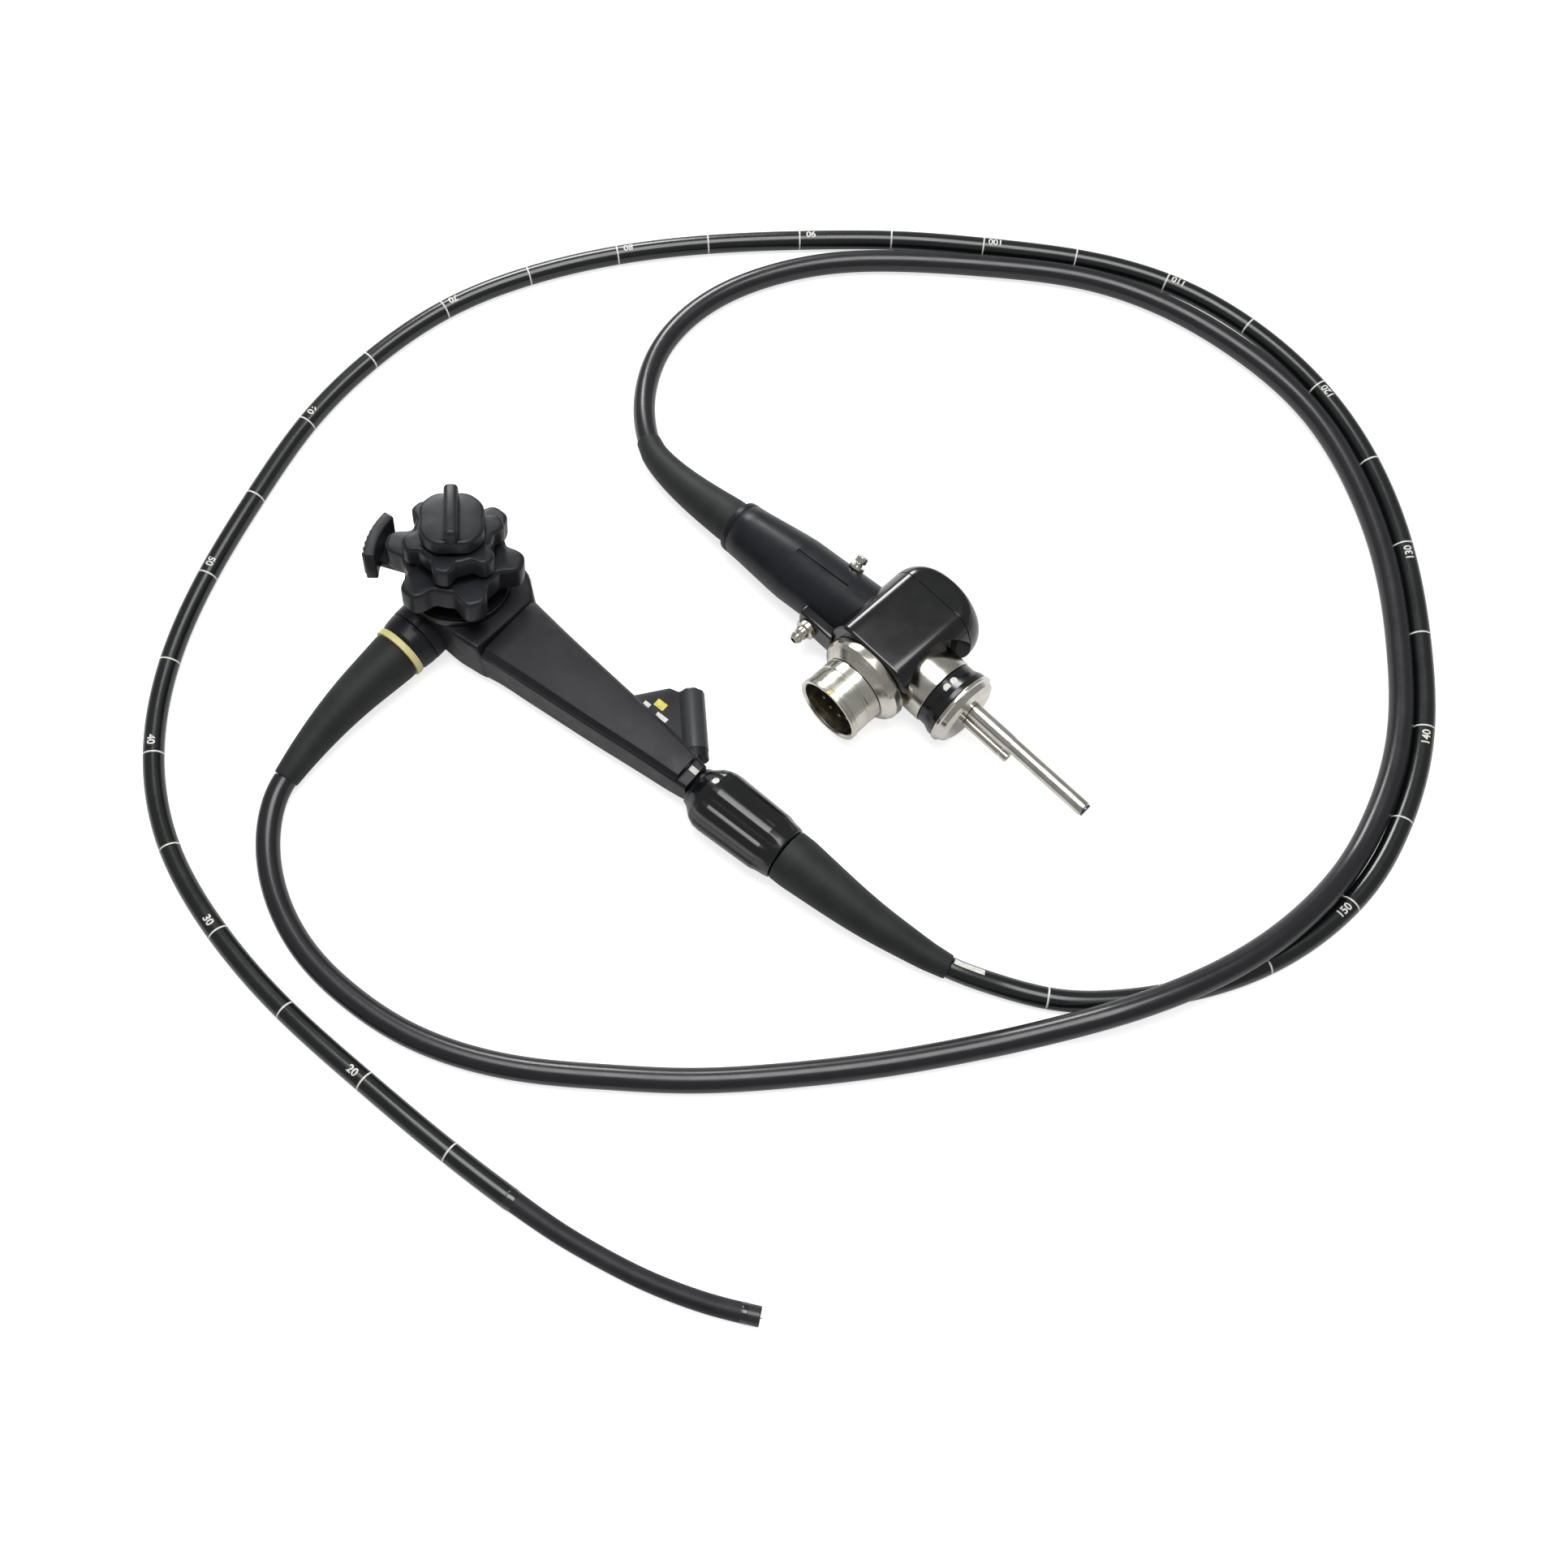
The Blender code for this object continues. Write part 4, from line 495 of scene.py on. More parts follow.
def turn_profile(name: str, profile: Sequence, frame_at: Callable[[float], Matrix],
                 closed: bool = False, steps: int = 96, swell: Optional[Callable] = None) -> Obj:
    """Turn a profile about a straight or bent line.

    Args:
        name: The object's name.
        profile: Points (radius, distance along the line) with an optional rounding.
        frame_at: Gives the line's frame, +Z along it, at a distance.
        closed: Whether the profile is a ring; otherwise it starts and ends on the line.
        steps: How many points are round the line.
        swell: Gives the radius from a radius, a distance and an angle.
    Returns:
        The new object.
    """
    swell = swell or (lambda r, z, turn: r)
    rings = [ring_at(frame_at(z), steps, lambda turn: swell(r, z, turn))
             for r, z in rounded(profile, closed)]
    return skin(name, rings, closed)


def lathe(name: str, profile: Sequence, place: Matrix, closed: bool = False,
          steps: int = 96, swell: Optional[Callable] = None) -> Obj:
    """Turn a profile about a placement's +Z, as turn_profile does about a line."""
    return turn_profile(name, profile, lambda z: place @ Matrix.Translation((0.0, 0.0, z)),
                        closed, steps, swell)


def round_bar(radius: float, low: float, high: float, low_round: float = 0.0,
        high_round: float = 0.0) -> list:
    """Return the profile of a plain round rod, with a rounding at each end."""
    return [(0.0, low), (radius, low, low_round), (radius, high, high_round), (0.0, high)]


def facing(spot: Vector, direction: Sequence) -> Matrix:
    """Return a placement at a spot with +Z along a direction."""
    turn = Vector(direction).to_track_quat("Z", "Y").to_matrix().to_4x4()
    return Matrix.Translation(spot) @ turn


def placed(spot: Sequence, *turns: tuple) -> Matrix:
    """Return a placement at a spot, turned in order.

    Args:
        spot: Where it is.
        turns: An angle in radians and an axis for each turn.
    Returns:
        The placement.
    """
    place = Matrix.Translation(spot)
    for angle, axis in turns:
        place = place @ Matrix.Rotation(angle, 4, axis)
    return place


class Route:
    """A smooth line with a frame at each distance along it."""

    def __init__(self, points: Sequence[Vector]) -> None:
        """Measure the line.

        Args:
            points: Its points, close together.
        """
        self.points = np.array([tuple(p) for p in points])
        steps = np.linalg.norm(np.diff(self.points, axis=0), axis=1)
        self.run = np.concatenate([[0.0], np.cumsum(steps)])
        self.length = float(self.run[-1])

    def spot(self, distance: float) -> Vector:
        """Return the point at a distance."""
        return Vector([np.interp(distance, self.run, self.points[:, k]) for k in range(3)])

    def frame(self, distance: float) -> Matrix:
        """Return a frame at a distance, with +Z along the line and +Y up.

        Args:
            distance: How far along the line it is, or before or past its ends.
        Returns:
            The frame.
        """
        step = 0.8
        middle = min(max(distance, step), self.length - step)
        along = (self.spot(middle + step) - self.spot(middle - step)).normalized()
        side = Vector((0.0, 0.0, 1.0)).cross(along).normalized()
        up = along.cross(side)
        place = self.spot(distance)
        if distance < 0:
            place = self.spot(0.0) + along * distance
        if distance > self.length:
            place = self.spot(self.length) + along * (distance - self.length)
        frame = Matrix((side, up, along)).transposed().to_4x4()
        frame.translation = place
        return frame


def cubic(t: float, width: float, a: np.ndarray, b: np.ndarray, out: np.ndarray,
          into: np.ndarray) -> np.ndarray:
    """Return a cubic's value at a share of a stretch, from its ends and their slopes."""
    return ((2 * t**3 - 3 * t**2 + 1) * a + (t**3 - 2 * t**2 + t) * width * out
            + (3 * t**2 - 2 * t**3) * b + (t**3 - t**2) * width * into)


def smooth_route(points: Sequence, start: Sequence, end: Sequence, step: float) -> list:
    """Read points from a smooth curve through a route's own points.

    Args:
        points: The route's points.
        start: The direction at the first point.
        end: The direction at the last point.
        step: The distance between the points that come back.
    Returns:
        Points on a cubic spline.
    """
    p = np.array(points, dtype=float)
    h = np.linalg.norm(np.diff(p, axis=0), axis=1)
    n = len(p)
    a = np.zeros((n, n))
    b = np.zeros((n, 3))
    a[0, 0] = 1.0
    a[-1, -1] = 1.0
    b[0] = Vector(start).normalized()
    b[-1] = Vector(end).normalized()
    for i in range(1, n - 1):
        a[i, i - 1] = 1 / h[i - 1]
        a[i, i] = 2 * (1 / h[i - 1] + 1 / h[i])
        a[i, i + 1] = 1 / h[i]
        b[i] = 3 * ((p[i] - p[i - 1]) / h[i - 1] ** 2 + (p[i + 1] - p[i]) / h[i] ** 2)
    m = np.linalg.solve(a, b)
    dense = []
    for i in range(n - 1):
        for t in np.linspace(0.0, 1.0, 40, endpoint=False):
            dense.append(cubic(t, h[i], p[i], p[i + 1], m[i], m[i + 1]))
    dense.append(p[-1])
    dense = np.array(dense)
    run = np.concatenate([[0.0], np.cumsum(np.linalg.norm(np.diff(dense, axis=0), axis=1))])
    count = max(2, round(run[-1] / step))
    marks = np.linspace(0.0, run[-1], count + 1)
    return [Vector([np.interp(s, run, dense[:, k]) for k in range(3)]) for s in marks]


def evaluated_mesh(obj: Obj) -> bpy.types.Mesh:
    """Return what an object looks like with its modifiers, as a plain mesh.

    Args:
        obj: The object.
    Returns:
        The mesh.
    """
    graph = bpy.context.evaluated_depsgraph_get()
    graph.update()
    return bpy.data.meshes.new_from_object(obj.evaluated_get(graph))


def bake_modifiers(obj: Obj) -> None:
    """Turn an object's modifiers into its plain mesh.

    Args:
        obj: The object.
    """
    mesh = evaluated_mesh(obj)
    obj.modifiers.clear()
    obj.data = mesh


def cut(obj: Obj, tool: Obj, operation: str = "DIFFERENCE") -> None:
    """Apply an exact Boolean and delete the tool.

    Args:
        obj: The object that is cut or joined to.
        tool: The other object.
        operation: What the Boolean does.
    """
    mod = obj.modifiers.new("cut", "BOOLEAN")
    mod.operation = operation
    mod.object = tool
    mod.solver = "EXACT"
    bake_modifiers(obj)
    bpy.data.objects.remove(tool)


def drill(obj: Obj, place: Matrix, radius: float, low: float, high: float,
          steps: int = 48) -> None:
    """Cut a round hole between two heights along a placement's +Z."""
    cut(obj, lathe("hole", round_bar(radius, low, high), place, steps=steps))


def soften(obj: Obj, width: float, segments: int = 3) -> None:
    """Round an object's sharp edges.

    Args:
        obj: The object.
        width: How wide the rounding is.
        segments: How many faces it has.
    """
    mod = obj.modifiers.new("soften", "BEVEL")
    mod.width = width
    mod.segments = segments
    mod.limit_method = "ANGLE"
    mod.angle_limit = math.radians(32)
    bake_modifiers(obj)


def block(name: str, low: Sequence, high: Sequence, place: Matrix, round_by: float) -> Obj:
    """Make a box with rounded edges between two corners of a placement.

    Args:
        name: The object's name.
        low: Its lowest corner.
        high: Its highest corner.
        place: The placement that the corners are in.
        round_by: How wide the rounding is.
    Returns:
        The new object.
    """
    bm = bmesh.new()
    bmesh.ops.create_cube(bm, size=1.0)
    for v in bm.verts:
        v.co = Vector([(low[k] + high[k]) / 2 + v.co[k] * (high[k] - low[k]) for k in range(3)])
    if round_by > 0:
        bmesh.ops.bevel(bm, geom=bm.edges[:], offset=round_by, segments=4, affect="EDGES",
                        profile=0.5)
    bmesh.ops.transform(bm, matrix=place, verts=bm.verts)
    mesh = bpy.data.meshes.new(name)
    bm.to_mesh(mesh)
    bm.free()
    obj = link(name, mesh)
    tidy_mesh(obj)
    return obj


def extrude(name: str, outline: Sequence, low: float, high: float, place: Matrix,
            round_by: float = 0.0) -> Obj:
    """Raise a flat outline between two heights of a placement and round its edges.

    Args:
        name: The object's name.
        outline: Points (x, y).
        low: The lower height.
        high: The upper height.
        place: The placement.
        round_by: How wide the rounding is.
    Returns:
        The new object.
    """
    rings = [[Vector((x, y, z)) for x, y in outline] for z in (low, high)]
    obj = skin(name, rings)
    if round_by > 0:
        soften(obj, round_by)
    obj.data.transform(place)
    return obj


def merge(obj: Obj, *others: Obj) -> None:
    """Add other objects' meshes to an object's own and delete them.

    Args:
        obj: The object that stays.
        others: The ones that it takes in.
    """
    bm = bmesh.new()
    for source in (obj, *others):
        bm.from_mesh(source.data)
    bm.to_mesh(obj.data)
    bm.free()
    for other in others:
        bpy.data.objects.remove(other)


def finish_piece(obj: Obj, finish: Finish, body: Optional[str],
                 replaces: Sequence[str] = (), shading: Shading = Shading.MOULDED) -> Obj:
    """Give a piece its finish and its body, and hide the nodes that it stands for.

    Args:
        obj: The piece, a plain mesh in place.
        finish: Its finish.
        body: The body that it rides on, or none.
        replaces: The nodes that it stands for.
        shading: Which of its edges stay sharp.
    Returns:
        The piece.
    """
    obj.data.materials.clear()
    obj.data.materials.append(finish.material())
    obj.data.transform(Matrix.Scale(MM, 4))
    obj.data.shade_smooth()
    obj.data.set_sharp_from_angle(angle=math.radians(shading.value))
    if body:
        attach(obj, body)
    if replaces:
        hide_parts(*replaces)
    LOG.info("%s dressed in %s", obj.name, finish.name)
    return obj


class Repeater:
    """Geometry Nodes trees that repeat a unit round an axis or along a line."""

    def __init__(self) -> None:
        """Build both trees."""
        self.round_tree = self.build_round()
        self.line_tree = self.build_line()

    def new_tree(self, name: str, inputs: dict) -> Tree:
        """Start a tree with a geometry output and named inputs.

        Args:
            name: The tree's name.
            inputs: Each input's kind by its name.
        Returns:
            The tree.
        """
        tree = bpy.data.node_groups.new(name, "GeometryNodeTree")
        tree.interface.new_socket(name="Geometry", in_out="OUTPUT",
                                  socket_type="NodeSocketGeometry")
        for label, kind in inputs.items():
            tree.interface.new_socket(name=label, in_out="INPUT", socket_type=kind)
        return tree

    def finish_tree(self, tree: Tree, points: Node, rotation: Node, given: Sequence) -> Tree:
        """Put the unit on the points, make it real and give it its material.

        Args:
            tree: The tree.
            points: The node that gives the points.
            rotation: The node that turns the units.
            given: The tree's inputs.
        Returns:
            The tree.
        """
        add = partial(add_node, tree)
        unit = add("GeometryNodeObjectInfo", {"transform_space": "ORIGINAL"},
                   {"Object": given["Unit"]})
        units = add("GeometryNodeInstanceOnPoints", None, {
            "Points": points, "Instance": unit.outputs["Geometry"], "Rotation": rotation})
        real = add("GeometryNodeRealizeInstances", None, {"Geometry": units})
        dressed = add("GeometryNodeSetMaterial", None, {
            "Geometry": real, "Material": given["Material"]})
        add("NodeGroupOutput", None, {"Geometry": dressed})
        return tree

    def build_round(self) -> Tree:
        """Build the tree that sets units at even angles on a circle about +Z.

        Returns:
            The tree.
        """
        tree = self.new_tree("repeat_round", {
            "Unit": "NodeSocketObject", "Count": "NodeSocketInt", "First Angle": "NodeSocketFloat",
            "Step Angle": "NodeSocketFloat", "Radius": "NodeSocketFloat",
            "Height": "NodeSocketFloat", "Material": "NodeSocketMaterial"})
        add = partial(add_node, tree)
        given = add("NodeGroupInput").outputs
        turn = add("ShaderNodeMath", {"operation": "MULTIPLY_ADD"}, {
            0: add("GeometryNodeInputIndex"), 1: given["Step Angle"], 2: given["First Angle"]})
        waves = [add("ShaderNodeMath", {"operation": wave}, {0: turn})
                 for wave in ("COSINE", "SINE")]
        x, y = (add("ShaderNodeMath", {"operation": "MULTIPLY"}, {0: wave, 1: given["Radius"]})
                for wave in waves)
        spot = add("ShaderNodeCombineXYZ", None, {"X": x, "Y": y, "Z": given["Height"]})
        angle = add("ShaderNodeCombineXYZ", None, {"Z": turn})
        points = add("GeometryNodePoints", None, {"Count": given["Count"], "Position": spot})
        return self.finish_tree(tree, points, angle, given)

    def build_line(self) -> Tree:
        """Build the tree that sets units at even distances along a centreline.

        Returns:
            The tree.
        """
        tree = self.new_tree("repeat_along", {
            "Unit": "NodeSocketObject", "Line": "NodeSocketObject", "Count": "NodeSocketInt",
            "First": "NodeSocketFloat", "Spacing": "NodeSocketFloat",
            "Material": "NodeSocketMaterial"})
        add = partial(add_node, tree)
        given = add("NodeGroupInput").outputs
        run = add("ShaderNodeMath", {"operation": "MULTIPLY_ADD"}, {
            0: add("GeometryNodeInputIndex"), 1: given["Spacing"], 2: given["First"]})
        line = add("GeometryNodeObjectInfo", {"transform_space": "ORIGINAL"},
                   {"Object": given["Line"]})
        sample = add("GeometryNodeSampleCurve", {"mode": "LENGTH"}, {
            "Curves": line.outputs["Geometry"], "Length": run})
        points = add("GeometryNodePoints", None, {"Count": given["Count"]})
        moved = add("GeometryNodeSetPosition", None, {
            "Geometry": points, "Position": sample.outputs["Position"]})
        along = add("FunctionNodeAlignRotationToVector", {"axis": "Z"},
                    {"Vector": sample.outputs["Tangent"]})
        return self.finish_tree(tree, moved, along, given)

    def run(self, name: str, tree: Tree, values: dict) -> Obj:
        """Evaluate a tree into a plain mesh.

        Args:
            name: The new object's name.
            tree: One of the two trees.
            values: Its inputs by name.
        Returns:
            The new object.
        """
        obj = link(name, bpy.data.meshes.new(name))
        mod = obj.modifiers.new("repeat", "NODES")
        mod.node_group = tree
        for socket in tree.interface.items_tree:
            if socket.item_type == "SOCKET" and socket.in_out == "INPUT":
                mod[socket.identifier] = values[socket.name]
        bake_modifiers(obj)
        tidy_mesh(obj)
        return obj

    def around(self, name: str, unit: Obj, count: int, first: float, step: float,
               radius: float, height: float, finish: Finish, place: Matrix) -> Obj:
        """Repeat a unit at even angles and put the result in a placement.

        Args:
            name: The new object's name.
            unit: What is repeated, deleted afterwards.
            count: How many there are.
            first: The first one's angle.
            step: The angle between two.
            radius: How far from the axis they stand.
            height: How far along the axis they stand.
            finish: Their finish.
            place: The placement of the axis.
        Returns:
            The new object.
        """
        obj = self.run(name, self.round_tree, {
            "Unit": unit, "Count": count, "First Angle": first, "Step Angle": step,
            "Radius": radius, "Height": height, "Material": finish.material()})
        bpy.data.objects.remove(unit)
        obj.data.transform(place)
        return obj

    def along(self, name: str, unit: Obj, line: Obj, count: int,
              first: float, spacing: float, finish: Finish) -> Obj:
        """Repeat a unit at even distances along a centreline.

        Args:
            name: The new object's name.
            unit: What is repeated, deleted afterwards.
            line: The centreline, a curve object.
            count: How many there are.
            first: The first one's distance.
            spacing: The distance between two.
            finish: Their finish.
        Returns:
            The new object.
        """
        obj = self.run(name, self.line_tree, {
            "Unit": unit, "Line": line, "Count": count, "First": first, "Spacing": spacing,
            "Material": finish.material()})
        bpy.data.objects.remove(unit)
        return obj


@dataclass(frozen=True)
class Station:
    """One cross-section of the control body: its place along X, its sides, its top's slope."""

    x: float
    back: float
    front: float
    low: float
    high: float
    lean: float = 0.0


def ease_stations(stations: Sequence[Station], pieces: int) -> list:
    """Fill in stations on curves that never overshoot the given ones.

    Args:
        stations: The given ones.
        pieces: How many stretches come between two of them.
    Returns:
        All the stations.
    """
    table = np.array([(s.x, s.back, s.front, s.low, s.high, s.lean) for s in stations])
    x = table[:, 0]
    h = np.diff(x)
    dense = []
    slopes = np.zeros_like(table)
    slopes[:, 0] = 1.0
    for k in range(1, 6):
        d = np.diff(table[:, k]) / h
        for i in range(1, len(x) - 1):
            if d[i - 1] * d[i] > 0:
                w1 = 2 * h[i] + h[i - 1]
                w2 = h[i] + 2 * h[i - 1]
                slopes[i, k] = (w1 + w2) / (w1 / d[i - 1] + w2 / d[i])
        slopes[0, k] = d[0]
        slopes[-1, k] = d[-1]
    for i in range(len(x) - 1):
        dense += [Station(*cubic(j / pieces, h[i], table[i], table[i + 1], slopes[i],
                                 slopes[i + 1])) for j in range(pieces)]
    return dense + [stations[-1]]


def rounded_section(s: Station, low_round: float, high_round: float, pivot: float,
                    arc: int = 8) -> list:
    """Return a station's outline with rounded corners and a top that slopes about a pivot.

    Args:
        s: The station.
        low_round: The lower corners' rounding.
        high_round: The upper corners' rounding.
        pivot: Where along Y the slope is level with the station.
        arc: How many pieces each corner has.
    Returns:
        The points.
    """
    limit = 0.49 * min(s.front - s.back, s.high - s.low)
    low_round = min(low_round, limit)
    high_round = min(high_round, limit)
    corners = ((s.front - low_round, s.low + low_round, low_round, -90),
               (s.front - high_round, s.high - high_round, high_round, 0),
               (s.back + high_round, s.high - high_round, high_round, 90),
               (s.back + low_round, s.low + low_round, low_round, 180))
    points = []
    middle = (s.low + s.high) / 2
    for y, z, radius, start in corners:
        rise = 0.0 if z < middle else 1.0
        for i in range(arc + 1):
            turn = math.radians(start + 90 * i / arc)
            side = y + radius * math.cos(turn)
            lift = rise * s.lean * (pivot - side)
            points.append(Vector((s.x, side, z + radius * math.sin(turn) + lift)))
    return points


def chamfered_section(s: Station, chamfer: float) -> list:
    """Return a station's outline with chamfered upper corners.

    Args:
        s: The station.
        chamfer: How high the chamfer is.
    Returns:
        The points.
    """
    flat = [(s.front, s.low), (s.front, s.high - chamfer), (s.front - chamfer * 0.8, s.high),
            (s.back + chamfer * 0.8, s.high), (s.back, s.high - chamfer), (s.back, s.low)]
    return [Vector((s.x, y, z)) for y, z in flat]


@dataclass
class ControlSection:
    """The head and grip with the valve cylinders, the switches and the channel inlet."""

    top_z: float = 34.0
    grip_top_z: float = 28.5
    end_x: float = -38.0
    grip_start: float = 33.0
    grip_end: float = 150.0
    axis_y: float = -7.2
    axis_z: float = 17.0
    front: float = 22.8
    back: float = -28.0
    pivot_y: float = -5.6
    core_r: float = 7.0
    outlet: tuple = (-5.0, -34.0, 16.0)
    outlet_r: float = 14.6
    branch_angle: float = math.radians(134)
    branch_r: float = 6.3
    branch_mouth: tuple = (118.0, 26.9, 17.0)
    branch_length: float = 34.5
    channel_r: float = 1.9
    inlet_r: float = 4.1
    inlet_depth: float = 5.0
    inlet_proud: float = 1.6
    switch_r: float = 4.0
    switch_proud: float = 2.2
    switch_length: float = 4.6
    switch_pocket: float = 4.5
    boss_root: float = -15.0
    web_half: float = 3.5
    valve_depth: float = 19.0
    valve_wall: float = 1.1
    valve_z: float = 17.0
    valves: dict = field(default_factory=lambda: {
        "suction_cylinder": (-6.0, 5.2),
        "air_water_cylinder": (11.0, 4.3)})

    def stations(self) -> list:
        """Return the body's cross-sections from the head's end to the grip's end.

        Returns:
            The stations in order.
        """
        back, front, top, grip = self.back, self.front, self.top_z, self.grip_top_z
        end, start, last = self.end_x, self.grip_start, self.grip_end
        core = self.core_r + 1.2
        mid = self.axis_y
        lean = math.tan(LEAN)
        return [
            Station(end, 2, front - 11, 5, top - 6, lean),
            Station(end + 1.5, -1.5, front - 7.5, 2.5, top - 1.5, lean),
            Station(end + 6, back + 18, front - 3.5, 0.4, top, lean),
            Station(end + 14, back + 10.5, front - 0.8, 0.0, top, lean),
            Station(end + 24, back + 4, front, 0.0, top, lean),
            Station(end + 38, back + 0.8, front, 0.0, top, lean),
            Station(end + 54, back, front, 0.0, top, lean),
            Station(start - 9, back + 0.8, front - 3.6, 0.0, top - 0.3, lean),
            Station(start - 1.4, back + 1.8, front - 9.6, 0.4, top - 1.0, lean),
            Station(start, back + 2.4, front - 10.4, 0.6, grip),
            Station(start + 27, mid - 15.7, mid + 16.6, 1.2, grip),
            Station(start + 62, mid - 12.7, mid + 13.4, 1.8, grip),
            Station(last - 24, mid - 9.6, mid + 10.6, 2.6, grip - 0.4),
            Station(last - 5, mid - core, mid + core, 5, grip - 0.8),
            Station(last, mid - core + 0.6, mid + core - 0.6, 6.5, grip - 1.6),
        ]

    def switch_places(self) -> list:
        """Return where each switch sits and which way it faces.

        Returns:
            A spot and a direction for each.
        """
        flat = self.front - 0.8
        return [((self.end_x, 8.5, z), (-1.0, 0.0, 0.0)) for z in (11.0, 22.5)] + [
            ((-22.5, flat, z), (0.0, 1.0, 0.0)) for z in (11.0, 22.5)]

    def branch_frame(self) -> tuple:
        """Return the channel branch's mouth and its direction."""
        along = Vector((math.cos(self.branch_angle), math.sin(self.branch_angle), 0.0))
        return Vector(self.branch_mouth), along

    def build_shell(self) -> None:
        """Model the head and grip moulding."""
        rings = [rounded_section(s, 8.0, 2.2, self.pivot_y)
                 for s in ease_stations(self.stations(), 4)]
        shell = skin("head_and_grip", rings)
        x, end_y, z = self.outlet
        boss_place = facing(Vector((x, self.boss_root, z)), (0.0, -1.0, 0.0))
        length = self.boss_root - end_y
        cut(shell, lathe("boss", round_bar(self.outlet_r, 0.0, length, 0.0, 0.5), boss_place,
                         steps=72), "UNION")
        mouth, along = self.branch_frame()
        across = Vector((-along.y, along.x, 0.0))
        reach = self.branch_length
        branch = facing(mouth, along)
        cut(shell, lathe("branch", round_bar(self.branch_r, -reach, 0.0, 0.0, 0.7), branch,
                         steps=64), "UNION")
        web_top = mouth + across * self.branch_r * 0.5 - along * 1.2
        corner = web_top + Vector((-self.branch_r - 1.0, -2.0, 0.0))
        foot = (mouth.x - 23.5, self.axis_y + 10)
        inner = mouth - along * reach + across * 1.5
        web = extrude("web", [tuple(web_top[:2]), tuple(corner[:2]), foot, tuple(inner[:2])],
                      self.axis_z - self.web_half, self.axis_z + self.web_half, Matrix(), 1.0)
        cut(shell, web, "UNION")
        drill(shell, branch, self.inlet_r + SEAT_GAP, -self.inlet_depth, 2)
        for place_x, radius in self.valves.values():
            wide = radius + self.valve_wall + SEAT_GAP
            place = facing(Vector((place_x, self.front, self.valve_z)), (0, 1, 0))
            drill(shell, place, wide, -self.valve_depth - SEAT_GAP, 5, 64)
        for spot, direction in self.switch_places():
            drill(shell, facing(Vector(spot), direction), self.switch_r + SEAT_GAP,
                  -self.switch_pocket, 6)
        self.cut_seams(shell)
        # A thin glossy skin over the branch pipe, in a lighter grey than the moulding under it.
        # The colour is a painted highlight for the pipe's bright reflection, and the skin's gloss
        # also catches the lamps.
        skin_t = 0.2
        sheen = lathe("branch_tube", [
            (self.branch_r + skin_t, -0.8, 0.1), (self.branch_r + skin_t, -30),
            (self.branch_r - skin_t, -30), (self.branch_r - skin_t, -0.8)], branch, True, 64)
        finish_piece(sheen, BRANCH_HIGHLIGHT_SKIN, ROOT)
        finish_piece(shell, GRIP_SHELL, ROOT, ["control_body"])

    def cut_seams(self, shell: Obj) -> None:
        """Cut the hairline between the two halves of the head, as the moulding has.

        Args:
            shell: The moulding.
        """
        seam = block("seam", (self.end_x - 1, self.front - 0.85, 5.6),
                     (self.grip_start - 12, self.front + 2, 6.0), Matrix(), 0.0)
        cut(shell, seam)

    def build_cover(self) -> None:
        """Model the chamfered panel on top of the grip."""
        stations = [s for s in self.stations() if s.x >= self.grip_start]
        first = stations[0]
        wanted = [Station(first.x + 0.6, first.back, first.front, first.low, first.high)]
        wanted += stations[1:-1]
        lifted = []
        for s in ease_stations(wanted, 3):
            low = max(s.high, self.grip_top_z) + SEAT_GAP
            taper = 1.5 * (s.x - self.grip_start) / (self.grip_end - self.grip_start)
            lifted.append(Station(s.x, s.back + 0.3, s.front - 0.3, low, low + 4.5 - taper))
        rings = [chamfered_section(s, min(4.2, 0.8 * (s.high - s.low))) for s in lifted]
        cover = skin("grip_panel", rings)
        soften(cover, 0.45, 3)
        finish_piece(cover, GRIP_SHELL, ROOT, ["grip_cover"])

    def build_valves(self) -> None:
        """Model the two valve cylinders with their stepped bores."""
        for name, (x, radius) in self.valves.items():
            outer = radius + self.valve_wall
            rim = outer + 1.6
            top = SEAT_GAP + 1.2
            profile = [(rim, top, 0.45), (rim, SEAT_GAP, 0.1), (outer, SEAT_GAP),
                       (outer, -self.valve_depth), (radius, -self.valve_depth), (radius, -9),
                       (radius + 0.35, -8.6), (radius + 0.35, -7.4), (radius, -7),
                       (radius, top - 0.8, 0.2), (radius + 0.7, top, 0.15)]
            place = facing(Vector((x, self.front, self.valve_z)), (0, 1, 0))
            obj = lathe(f"{name}_tube", profile, place, True, 80)
            floor = round_bar(radius, -self.valve_depth, -self.valve_depth + 0.4, 0.0, 0.1)
            merge(obj, lathe("floor", floor, place, steps=80))
            finish_piece(obj, VALVE_NICKEL, ROOT, [name])

    def build_switches(self) -> None:
        """Model the four rubber switches with a raised ring that a thumb finds."""
        for index, (spot, direction) in enumerate(self.switch_places()):
            top = self.switch_proud
            low = top - self.switch_length
            r = self.switch_r
            profile = [(0.0, top - 0.35), (r * 0.42, top - 0.35, 0.3),
                       (r * 0.55, top, 0.35), (r * 0.72, top - 0.1, 0.5),
                       (r, top - 1.3, 0.9), (r, low, 0.2), (0.0, low)]
            obj = lathe(f"switch_cap_{index + 1}", profile,
                        facing(Vector(spot), direction), steps=56)
            finish_piece(obj, BUTTON_RUBBER, f"remote_switch_{index + 1}_body",
                         [f"remote_switch_{index + 1}"], Shading.ROUND)

